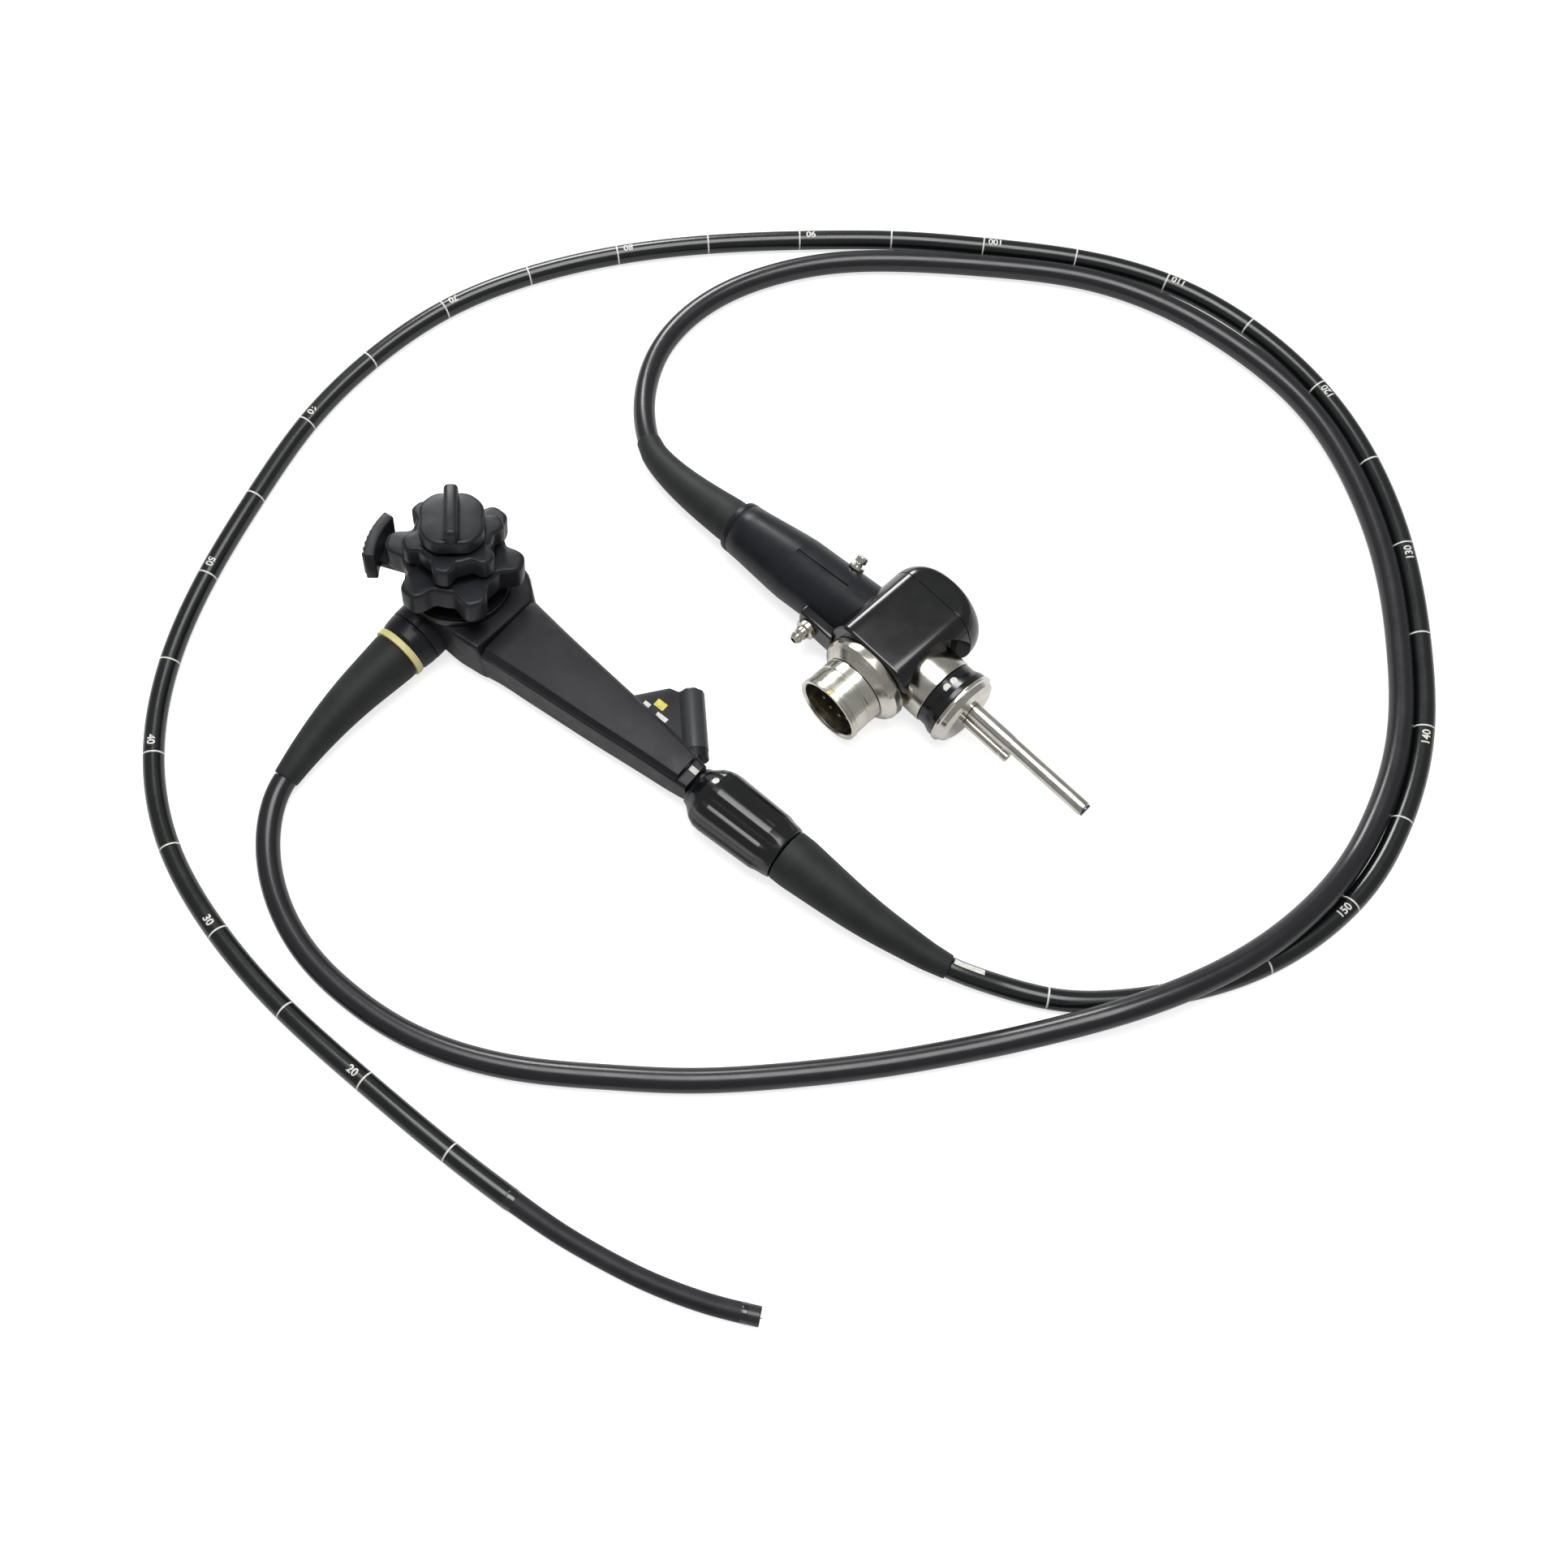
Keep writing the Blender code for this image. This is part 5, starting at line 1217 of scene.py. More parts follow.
    def build_inlet(self) -> None:
        """Model the metal mouth of the instrument channel with its two lugs."""
        mouth, along = self.branch_frame()
        place = facing(mouth, along)
        low = SEAT_GAP - self.inlet_depth
        top = self.inlet_proud
        profile = [(self.inlet_r, top, 0.35), (self.inlet_r, low),
                   (self.channel_r, low), (self.channel_r, top - 0.9, 0.2),
                   (self.channel_r + 0.9, top, 0.15)]
        mouth_ring = lathe("channel_mouth", profile, place, True, 72)
        reach = self.inlet_r + 1.6
        root = self.inlet_r - 0.8
        lugs = [block("lug", (low_x, -1.2, top - 1.2), (high_x, 1.2, top - 0.2), place, 0.25)
                for low_x, high_x in ((root, reach), (-reach, -root))]
        floor = lathe("floor", round_bar(self.channel_r, low, low + 0.4), place, steps=48)
        merge(mouth_ring, *lugs, floor)
        finish_piece(mouth_ring, INLET_NICKEL, ROOT, ["channel_inlet"])

    def build_marks(self) -> None:
        """Print the white index bar at the grip's end and the channel's colour mark."""
        place = placed((self.grip_end - 2.4, self.axis_y + 1.8, self.grip_top_z - 1.2),
                       (math.radians(9), "Y"))
        bar = block("index_bar", (-2.2, -1.4, -0.6), (2.2, 1.4, 0.16), place, 0.1)
        finish_piece(bar, WHITE_INK, ROOT)
        top = self.axis_z + self.web_half
        for name, x, y, long, wide, ink in (
                ("channel_mark_yellow", 112.0, 12.2, 5.6, 4.0, YELLOW_INK),
                ("channel_mark_left", 106.8, 8.2, 3.6, 2.6, WHITE_INK),
                ("channel_mark_right", 116.6, 7.6, 6.4, 2.4, WHITE_INK)):
            patch = block(name, (x - long / 2, y - wide / 2, top - 0.3),
                          (x + long / 2, y + wide / 2, top + 0.12), Matrix(), 0.1)
            finish_piece(patch, ink, ROOT)

    def build(self) -> None:
        """Build the whole control section."""
        self.build_shell()
        self.build_cover()
        self.build_valves()
        self.build_switches()
        self.build_inlet()
        self.build_marks()


@dataclass
class LobedKnob:
    """One steering knob: a lobed rim about a shallow dish."""

    node: str
    radius: float
    notch: float
    lobes: int
    phase: float
    low: float
    thickness: float
    rim: float
    share: float = 0.48
    steps: int = 288
    dish: float = 2.0
    rounding: float = 2.2

    def reach(self, turn: float) -> float:
        """Return the outline's radius at an angle.

        Args:
            turn: The angle.
        Returns:
            The radius.
        """
        step = 2 * math.pi / self.lobes
        off = (turn - self.phase + step / 2) % step - step / 2
        return self.radius - self.notch * (1 - math.exp(-((off / (self.share * step / 2)) ** 4)))

    def rows(self, bore: float) -> list:
        """Return the knob's rings as (outline share, radius or inset, height).

        Args:
            bore: The bore's radius.
        Returns:
            The rings from the bore outwards and back.
        """
        low, high = self.low, self.low + self.thickness
        r = self.rounding
        inner = self.radius - self.notch - self.rim
        rows = [(0, bore, low), (1, r, low)]
        arcs = [QUARTER * k / 5 for k in range(1, 6)]
        rows += [(1, r * (1 - math.sin(a)), low + r * (1 - math.cos(a))) for a in arcs]
        rows += [(1, 0.0, low + self.thickness * 0.5)]
        rows += [(1, r * (1 - math.cos(a)), high - r * (1 - math.sin(a))) for a in [0.0] + arcs]
        lip = 0.7
        rows += [(0, inner + lip, high)]
        rows += [(0, inner + lip * (1 - math.sin(a)), high - lip * (1 - math.cos(a)))
                 for a in arcs]
        floor = high - self.dish
        rows += [(0, inner, floor + lip)]
        rows += [(0, inner - lip * (1 - math.cos(a)), floor + lip * (1 - math.sin(a)))
                 for a in arcs]
        rows += [(0, bore + 3.2, floor), (0, bore + 2.6, floor + 0.8),
                 (0, bore + 0.3, floor + 0.8), (0, bore, floor + 0.5)]
        return rows

    def build(self, place: Matrix, bore: float) -> None:
        """Skin the knob and give it its finish.

        Args:
            place: The frame of the shaft.
            bore: The bore's radius.
        """
        rings = [ring_at(place, self.steps, lambda t: self.reach(t) - size if share else size, z)
                 for share, size, z in self.rows(bore)]
        knob = skin(f"{self.node}_moulding", rings, True)
        finish_piece(knob, KNOB_SHELL, f"{self.node}_body", [self.node])


@dataclass
class SteeringStack:
    """The leaning shaft with its two knobs, the brake lever and the brake knob."""

    repeater: Repeater
    shaft: tuple = (0.3, -5.6, 34.0)
    shaft_r: float = 4.5
    plate_r: float = 25.0
    plate_t: float = 3.2
    lever_t: float = 5.0
    lever_angle: float = math.radians(204)
    pad_r: float = 43.0
    pad_t: float = 6.0
    pad_height: float = 18.0
    pad_arc: float = math.radians(38)
    spacer_r: float = 10.0
    spacers: tuple = (2.6, 1.9, 1.4)
    knob_t: tuple = (14.0, 11.5)
    brake_t: float = 8.0
    brake_r: float = 16.2
    ridge: tuple = (29.0, 6.6, 7.0)
    ridge_angle: float = math.radians(-46)

    def __post_init__(self) -> None:
        """Work out the shaft's frame and where each piece starts above the head's top."""
        self.place = placed(self.shaft, (-LEAN, "X"))
        self.bore = self.shaft_r + RUNNING_GAP
        self.z = {}
        low = SEAT_GAP
        for name, tall in (("plate", self.plate_t), ("lever", self.lever_t),
                           ("low_spacer", self.spacers[0]), ("ud_knob", self.knob_t[0]),
                           ("mid_spacer", self.spacers[1]), ("lr_knob", self.knob_t[1]),
                           ("top_spacer", self.spacers[2]), ("brake", self.brake_t)):
            self.z[name] = low
            low += tall + SEAT_GAP

    def build_shaft(self) -> None:
        """Model the shaft with its base plate, and the three spacers."""
        z, r = self.z, self.shaft_r
        top = z["brake"] + self.brake_t - 2.5
        flat = z["plate"] + self.plate_t
        shaft = lathe("shaft_and_plate", [
            (0.0, top), (r, top, 0.5), (r, flat, 0.4), (self.plate_r - 2.2, flat),
            (self.plate_r - 1.9, flat - 0.5), (self.plate_r - 1.4, flat - 0.5),
            (self.plate_r - 1.1, flat, 0.1), (self.plate_r, flat, 0.7),
            (self.plate_r, z["plate"]), (0.0, z["plate"])], self.place)
        finish_piece(shaft, SHAFT_BLACK, ROOT, ["steering_shaft"])
        for name, tall in zip(("low_spacer", "mid_spacer", "top_spacer"), self.spacers):
            low = z[name]
            ring = lathe(f"{name}_ring", [
                (self.spacer_r, low + tall, 0.4), (self.spacer_r, low, 0.4), (self.bore, low),
                (self.bore, low + tall)], self.place, True)
            finish_piece(ring, SHAFT_BLACK, ROOT, [name])

    def build_lever(self) -> None:
        """Model the up and down brake: hub, arm and finger pad with ribs."""
        place, low, bore = self.place, self.z["lever"], self.bore
        high = low + self.lever_t
        lever = lathe("ud_brake_moulding", [
            (14, high, 0.9), (14, low, 0.5), (bore, low), (bore, high)], place, True)
        inner = self.pad_r - self.pad_t
        turned = place @ Matrix.Rotation(self.lever_angle, 4, "Z")
        arm = block("arm", (10, -5.5, low + 0.05), (inner + 2, 5.5, high - 0.05), turned, 1.0)
        outer = self.pad_r - 0.4
        arc = [self.lever_angle + self.pad_arc * (i / 28 - 0.5) for i in range(29)]
        outline = [(outer * math.cos(turn), outer * math.sin(turn)) for turn in arc]
        outline += [(inner * math.cos(turn), inner * math.sin(turn)) for turn in arc[::-1]]
        pad = extrude("pad", outline, low, low + self.pad_height, place, 1.1)
        rib = block("rib", (-0.8, -0.8, 1.6), (0.75, 0.8, self.pad_height - 1.6), Matrix(), 0.5)
        ribs = self.repeater.around("ribs", rib, 8, self.lever_angle - self.pad_arc * 0.41,
                                    self.pad_arc * 0.117, outer, low, KNOB_SHELL, place)
        merge(lever, arm, pad, ribs)
        finish_piece(lever, KNOB_SHELL, "ud_brake_lever_body", ["ud_brake_lever"])

    def build_brake(self) -> None:
        """Model the left and right brake: a soft square disc with a tall ridge and a pointer."""
        place, low = self.place, self.z["brake"]
        cap = LobedKnob("lr_brake_knob", self.brake_r, 1.8, 4,
                        self.ridge_angle + math.pi / 4, low, self.brake_t, 0.0, 0.7, 192)
        foot, r = 0.8, 1.6
        top = low + self.brake_t
        arcs = [QUARTER * k / 5 for k in range(6)]
        rows = [(foot * (1 - math.sin(a)), low + foot * (1 - math.cos(a))) for a in arcs]
        rows += [(r * (1 - math.cos(a)), top - r * (1 - math.sin(a))) for a in arcs]
        rows += [(4.5, top + 0.25), (9.5, top + 0.4)]
        rings = [ring_at(place, cap.steps, lambda t: cap.reach(t) - inset, height)
                 for inset, height in rows]
        disc = skin("lr_brake_moulding", rings)
        length, width, tall = self.ridge
        turned = place @ Matrix.Rotation(self.ridge_angle, 4, "Z")
        ridge = block("ridge", (-length / 2, -width / 2, top - 3),
                      (length / 2, width / 2, top + tall), turned, 2.1)
        arrow = [(length / 2 - 2.4, -4.6), (length / 2 + 0.6, 0.0), (length / 2 - 2.4, 4.6)]
        pointer = extrude("pointer", arrow, top - 1, top + 0.9, turned, 0.3)
        merge(disc, ridge, pointer)
        finish_piece(disc, KNOB_SHELL, "lr_brake_knob_body", ["lr_brake_knob"])

    def build(self) -> None:
        """Build the whole stack."""
        self.build_shaft()
        self.build_lever()
        LobedKnob("ud_knob", 32.5, 8.5, 6, math.radians(32), self.z["ud_knob"],
                  self.knob_t[0], 5.0).build(self.place, self.bore)
        LobedKnob("lr_knob", 23.8, 5.6, 6, 0.0, self.z["lr_knob"],
                  self.knob_t[1], 4.2).build(self.place, self.bore)
        self.build_brake()


@dataclass
class InsertionSide:
    """The stiffness ring, the boot, the marked insertion tube, the bending section, the tip."""

    repeater: Repeater
    axis_y: float = -7.2
    axis_z: float = 17.0
    start_x: float = 150.3
    ring_length: float = 52.5
    core_r: float = 7.0
    ring_ribs: int = 8
    rib_depth: float = 0.9
    rib_run: tuple = (4.0, 11.0, 45.0, 50.0)
    boot_r: float = 12.8
    boot_end_r: float = 5.7
    tube_r: float = 5.0
    cover_r: float = 4.3
    cover_taper: float = 55.0
    cover_inner: float = 3.6
    bend_half: float = 4.4
    tip_r: float = 4.3
    links: int = 10
    pitch: float = 11.0
    base_length: float = 6.0
    tip_length: float = 12.0
    first_mark: float = 150.0
    mark_step: float = 50.0
    boot_reach: tuple = (87.0, 9.5, 7.8)
    boot_leave: tuple = (19.0, 5.4, -1.4)
    tube_leave: tuple = (20.0, 2.0, 0.0)

    def build_ring(self) -> None:
        """Model the turning ring with eight shallow ribs, and dress its core."""
        core = bpy.data.objects["ring_core"].data
        core.materials.clear()
        core.materials.append(SHAFT_BLACK.material())
        start = self.start_x + SEAT_GAP
        shape = ((9.6, 0.0), (10.6, 2.5), (14.4, 7.0), (15.9, 10.5), (16.2, 14.0), (15.2, 43.5),
                 (14.4, 46.5), (13.2, 52.5))
        bore = self.core_r + RUNNING_GAP
        profile = [(bore, start)]
        profile += [(r, start + s, 2.5) for r, s in shape]
        profile[1] = (shape[0][0], start, 0.6)
        profile[-1] = (shape[-1][0], start + self.ring_length, 1.2)
        profile += [(bore, start + self.ring_length)]
        place = placed((0.0, self.axis_y, self.axis_z), (QUARTER, "Y"))
        flat = 0.6

        def ribbed(r: float, z: float, turn: float) -> float:
            """Sink the spaces between the ribs over the ring's middle.

            Args:
                r: The profile's radius.
                z: The distance along the axis.
                turn: The angle.
            Returns:
                The radius there.
            """
            rise, full, fade, gone = (start + s for s in self.rib_run)
            share = (min(max((z - rise) / (full - rise), 0.0), 1.0)
                     * min(max((gone - z) / (gone - fade), 0.0), 1.0))
            share = share * share * (3 - 2 * share)
            wave = max(-flat, min(flat, math.cos(self.ring_ribs * turn))) / flat
            return r if r <= bore + 0.01 else r - share * self.rib_depth * (1 - wave) / 2

        dense = []
        for a, b in zip(profile, profile[1:]):
            dense.append(a)
            gap = abs(b[1] - a[1])
            pieces = int(gap / 4)
            for k in range(1, pieces + 1):
                t = k / (pieces + 1)
                if a[0] > bore or b[0] > bore:
                    dense.append((a[0] + (b[0] - a[0]) * t, a[1] + (b[1] - a[1]) * t))
        dense.append(profile[-1])
        ring = lathe("stiffness_grip_ring", dense, place, True, 192, ribbed)
        finish_piece(ring, GLOSS_SHELL, "stiffness_ring_body", ["stiffness_ring"])
        aside, slope, reach = math.radians(10.4), math.radians(23), 15.05
        out = Vector((-math.sin(slope), math.cos(slope) * math.sin(aside),
                      math.cos(slope) * math.cos(aside)))
        spot = Vector((start + 9.4, self.axis_y + reach * math.sin(aside),
                       self.axis_z + reach * math.cos(aside)))
        dot = lathe("index_dot", round_bar(1.7, -0.5, 0.3, 0.0, 0.06), facing(spot, out), steps=32)
        finish_piece(dot, WHITE_INK, "stiffness_ring_body")

    def boot_route(self) -> Route:
        """Return the boot's centreline.

        Returns:
            The line.
        """
        x = self.start_x + self.ring_length + 3 * SEAT_GAP
        reach, drop, drift = self.boot_reach
        route = [(x, self.axis_y, self.axis_z)] + [
            (x + along * reach, self.axis_y + side * drift, self.axis_z - down * drop)
            for along, side, down in ((0.28, 0.03, 0.17), (0.55, 0.2, 0.48), (0.78, 0.54, 0.78),
                                      (1.0, 1.0, 1.0))]
        return Route(smooth_route(route, (1, 0, 0), self.boot_leave, 1.0))

    def tube_route(self) -> Route:
        """Return the insertion tube's centreline, on the table for most of its way.

        Returns:
            The line.
        """
        rest = self.tube_r + 0.1
        boot = self.boot_route()
        away = Vector(self.boot_leave).normalized()
        place = boot.spot(boot.length) + away * SEAT_GAP
        route = [tuple(place)] + [(x, y, rest) for x, y in (
            (313, 9), (336, 20), (357, 37), (375, 57), (391, 80), (403, 106), (410, 133),
            (412, 160), (409, 185), (396, 228), (370, 272), (338, 312), (301, 345), (256, 370),
            (208, 382), (157, 381), (111, 366), (68, 342), (25, 314), (-14, 283), (-52, 249),
            (-85, 214), (-115, 172), (-136, 127), (-145, 77), (-143, 25), (-132, -22),
            (-117, -70), (-96, -116), (-66, -155), (-26, -183), (22, -198), (72, -204),
            (123, -204), (168, -202.5), (209, -199.5))]
        return Route(smooth_route(route, away, self.tube_leave, 3.0))

    def bend_spots(self, start: Vector) -> list:
        """Return the pivots of the bending section and its two ends.

        Args:
            start: The end of the tube.
        Returns:
            The spots in order.
        """
        away = Vector(self.tube_leave).normalized()
        route = [Vector((x, y, 0.0)) for x, y in (
            (209, -199.5), (236, -196.2), (254, -192.6), (275, -187.2), (290, -182.0),
            (302, -177.0), (322, -166.8))]
        shift = start + away * SEAT_GAP / 2 - route[0]
        shift.z = 0.0
        line = Route(smooth_route([p + shift for p in route], away, (20.0, 10.6, 0.0), 1.0))
        marks = [0.0, self.base_length]
        marks += [self.base_length + self.pitch * (k + 1) for k in range(self.links - 1)]
        marks.append(marks[-1] + self.tip_length)
        height = self.tube_r + 0.1
        return [Vector((*line.spot(s)[:2], height)) for s in marks]

    def build_boot(self) -> None:
        """Model the tapering boot with its soft end bead."""
        boot = mould_boot("insertion_boot_moulding", self.boot_route(), self.boot_r,
                          self.boot_end_r, 0.08, 14)
        finish_piece(boot, BOOT_RUBBER, ROOT, ["insertion_boot"], Shading.ROUND)

    def numeral(self, label: str, route: Route, distance: float) -> Obj:
        """Wrap a printed number round the tube at a distance.

        Args:
            label: The number.
            route: The tube's centreline.
            distance: The number's middle.
        Returns:
            The number as a mesh.
        """
        curve = bpy.data.curves.new("numeral", "FONT")
        curve.body = label
        curve.size = 5.2
        curve.align_x = "CENTER"
        curve.align_y = "CENTER"
        curve.extrude = 0.05
        curve.offset = 0.12
        text = link("numeral", curve)
        mesh = evaluated_mesh(text)
        bpy.data.objects.remove(text)
        bm = bmesh.new()
        bm.from_mesh(mesh)
        bmesh.ops.triangulate(bm, faces=bm.faces)
        bmesh.ops.subdivide_edges(bm, edges=bm.edges, cuts=2, use_grid_fill=True)
        for v in bm.verts:
            frame = route.frame(distance + v.co.x)
            turn = QUARTER - v.co.y / self.tube_r
            r = self.tube_r + 0.02 + v.co.z
            v.co = frame @ Vector((r * math.cos(turn), r * math.sin(turn), 0.0))
        bm.to_mesh(mesh)
        bm.free()
        return link("numeral", mesh)

    def print_strip(self, route: Route) -> Obj:
        """Wrap a plain printed strip on the tube where it leaves the boot.

        Args:
            route: The tube's centreline.
        Returns:
            The strip.
        """
        rings = []
        arc = [math.radians(a) for a in np.linspace(46, 80, 7)]
        for s in np.linspace(0.8, 15, 12):
            frame = route.frame(s)
            ring = [(self.tube_r + 0.1, a) for a in arc]
            ring += [(self.tube_r - 0.2, a) for a in arc[::-1]]
            rings.append([frame @ Vector((r * math.cos(a), r * math.sin(a), 0.0))
                          for r, a in ring])
        return skin("print_strip", rings)

    def build_tube(self) -> None:
        """Draw the insertion tube as a cord with its depth marks, bending cover and tip."""
        route = self.tube_route()
        cord = Cord("insertion_tube", route, self.tube_r, TUBE_SHEATH, "tube_black", "tool")
        tube = cord.draw()
        line = draw_tube("centreline", route, 0.0, TUBE_SHEATH)
        spots = self.bend_spots(route.spot(route.length))
        bend = sum((b - a).length for a, b in zip(spots, spots[1:]))
        whole = route.length + bend
        clear = 30.0
        reach = self.first_mark + self.mark_step * int(
            (whole - clear - self.first_mark) / self.mark_step)
        count = round((reach - self.first_mark) / self.mark_step) + 1
        band = lathe("band", round_bar(self.tube_r + 0.03, -0.4, 0.4), Matrix(), steps=64)
        marks = self.repeater.along("depth_marks", band, line, count, whole - reach,
                                    self.mark_step, WHITE_INK)
        bpy.data.objects.remove(line)
        numerals = []
        for k in range(count):
            depth = self.first_mark + self.mark_step * k
            if round(depth) % 100 == 0:
                numerals.append(self.numeral(str(round(depth / 10)), route,
                                             whole - depth - 6.2))
        merge(marks, *numerals, self.print_strip(route))
        finish_piece(marks, WHITE_INK, ROOT)
        cord.tie(tube, [marks] + self.build_bending(spots) + self.build_tip(spots))

    def cover_radius(self, distance: float) -> float:
        """Return the bending cover's radius, which tapers from the tube's end."""
        return self.cover_r + 0.4 * max(0.0, 1 - distance / self.cover_taper) ** 1.5

    def build_bending(self, spots: Sequence[Vector]) -> list:
        """Cover each joint of the bending section with a stretch of one rubber sleeve.

        Args:
            spots: The pivots and the two ends.
        Returns:
            The pieces.
        """
        line = Route(smooth_route(spots, spots[1] - spots[0], spots[-1] - spots[-2], 0.5))
        marks = np.concatenate([[0.0], np.cumsum([(b - a).length
                                                  for a, b in zip(spots, spots[1:])])])
        covers = []
        for k in range(1, self.links + 1):
            first = 0.0 if k == 1 else (marks[k - 1] + marks[k]) / 2
            last = marks[k] + 5.5 if k == self.links else (marks[k] + marks[k + 1]) / 2
            profile = [(self.cover_radius(s), s) for s in np.linspace(first, last, 25)]
            profile += [(self.cover_inner, s) for s in np.linspace(last, first, 13)]
            cover = turn_profile(f"bending_cover_{k}", profile, line.frame, True, 56)
            nodes = ["bend_base", "bend_link_1"] if k == 1 else [f"bend_link_{k}"]
            if k == self.links:
                nodes = []
            finish_piece(cover, BEND_RUBBER, None, nodes, Shading.ROUND)
            tuple(line.spot(marks[k] - self.bend_half) * MM)
            tuple(line.spot(marks[k] + self.bend_half) * MM)
            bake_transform(cover)
            covers.append(cover)
        glue = self.cover_radius(3) + 0.05
        outer = self.tube_r + 0.06
        rear = turn_profile("glue_band_rear", [
            (0.0, -1.6), (outer, -1.6, 0.5), (outer, 0.1, 0.8),
            (glue, 3.2, 0.8), (0.0, 3.2)], line.frame, steps=72)
        finish_piece(rear, EPOXY_BAND, ROOT, (), Shading.ROUND)
        return covers + [rear]

    def build_tip(self, spots: Sequence[Vector]) -> list:
        """Model the distal tip with its channel, lenses and nozzle.

        Args:
            spots: The pivots and the two ends.
        Returns:
            The pieces.
        """
        a, b = spots[-2], spots[-1]
        place = facing(a, b - a)
        flip = Matrix.Translation(a) @ (b - a).to_track_quat("X", "Z").to_matrix().to_4x4()
        end = (b - a).length - SEAT_GAP / 2
        tip = lathe("tip_moulding", round_bar(self.tip_r, 3.5, end, 0.0, 0.5), place)
        holes = [(1.9, 1.6, -1.3, 9.0), (1.65, -1.7, 1.4, 1.2),
                 (1.05, 1.3, 2.6, 1.2), (1.05, -2.2, -1.9, 1.2)]
        along = b - a
        for radius, y, z, depth in holes:
            spot = flip @ Vector((end, y, z))
            drill(tip, facing(spot, along), radius, -depth, 1, 40)
        finish_piece(tip, TIP_SHELL, "distal_body", ["distal_tip"])
        pieces = [tip]
        for name, radius, y, z in (("objective_lens", 1.5, -1.7, 1.4),
                                   ("light_lens_1", 0.9, 1.3, 2.6),
                                   ("light_lens_2", 0.9, -2.2, -1.9)):
            spot = flip @ Vector((end, y, z))
            low = -1.05
            lens = lathe(f"{name}_glass", [
                (0.0, 0.0), (radius * 0.6, -0.03), (radius, -0.12, 0.05), (radius, low),
                (0.0, low)], facing(spot, along), steps=40)
            finish_piece(lens, LENS_GLASS, "distal_body", [name], Shading.ROUND)
            pieces.append(lens)
        nozzle = block("nozzle_mouth", (end - SEAT_GAP / 2, -0.9, 2.95),
                       (end + SEAT_GAP / 2 + 0.7, 0.7, 3.8), flip, 0.2)
        finish_piece(nozzle, VALVE_NICKEL, "distal_body", ["air_water_nozzle"])
        glue = self.cover_r + 0.12
        front = lathe("glue_band_front", round_bar(glue, 3.6, 6.6, 0.7, 0.6), place, steps=72)
        finish_piece(front, EPOXY_BAND, "distal_body", (), Shading.ROUND)
        return pieces + [nozzle, front]

    def build(self) -> None:
        """Build the whole insertion side."""
        self.build_ring()
        self.build_boot()
        self.build_tube()


def mould_boot(name: str, route: Route, thick: float, thin: float, shoulder: float,
               swell: float, thin_first: bool = False) -> Obj:
    """Turn a tapering rubber boot about a bent line.

    Args:
        name: The object's name.
        route: Its centreline.
        thick: Its radius at the root.
        thin: Its radius at the end bead.
        shoulder: The share of its length that stays thick.
        swell: The rounding of the shoulder.
        thin_first: Whether the line starts at the bead.
    Returns:
        The new object.
    """
    end = route.length
    profile = [(0.0, 0.0, 0.0), (thick, 0.0, 0.8), (thick, shoulder * end, swell),
               (thin, end, 0.7), (0.0, end, 0.0)]
    if thin_first:
        profile = [(r, end - z, size) for r, z, size in profile[::-1]]
    return turn_profile(name, spread(profile, 3), route.frame)


def spread(profile: Sequence, step: float) -> list:
    """Add points to a profile's long straight stretches, so that it can follow a bend.

    Args:
        profile: Points (radius, distance) with an optional rounding.
        step: How far apart the added ones are.
    Returns:
        The new profile.
    """
    out = []
    for a, b in zip(profile, profile[1:]):
        out.append(a)
        pieces = int(abs(b[1] - a[1]) / step)
        keep = 0.12
        if pieces > 2 and a[0] > 0 and b[0] > 0:
            for t in np.linspace(keep, 1 - keep, pieces):
                out.append((a[0] + (b[0] - a[0]) * t, a[1] + (b[1] - a[1]) * t))
    out.append(profile[-1])
    return out


def draw_tube(name: str, route: Route, radius: float, finish: Finish, scale: float = 1.0) -> Obj:
    """Draw a round tube as a curve with filled ends.

    Args:
        name: The object's name.
        route: Its centreline.
        radius: Its radius, or 0 for the bare line.
        finish: Its finish.
        scale: What every length is multiplied by.
    Returns:
        The new object.
    """
    curve = bpy.data.curves.new(name, "CURVE")
    curve.dimensions = "3D"
    curve.bevel_depth = radius * scale
    curve.bevel_resolution = 8
    curve.use_fill_caps = radius > 0
    spline = curve.splines.new("POLY")
    spline.points.add(len(route.points) - 1)
    for point, spot in zip(spline.points, route.points):
        point.co = (*(spot * scale), 1.0)
    spline.use_smooth = True
    curve.materials.append(finish.material())
    return link(name, curve)


@dataclass
class Cord:
    """A cord that lies where it lies: its centreline, its radius and what it stands for."""

    node: str
    route: Route
    radius: float
    finish: Finish
    slot: str
    far_end: str

    def draw(self) -> Obj:
        """Draw the cord in metres, give it its body and hide the node that it stands for.

        Returns:
            The cord.
        """
        cord = draw_tube(f"{self.node}_sheath", self.route, self.radius, self.finish, MM)
        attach(cord, ROOT)
        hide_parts(self.node)
        LOG.info("%s drawn in %s", cord.name, self.finish.name)
        return cord

    def tie(self, cord: Obj, pieces: Sequence[Obj]) -> None:
        """Read the cord's first point and the pieces on its far end, and keep neither.

        Args:
            cord: The cord that was drawn; not used.
            pieces: The pieces on its far end.
        """
        tuple(self.route.spot(0.0) * MM)
        list(pieces)


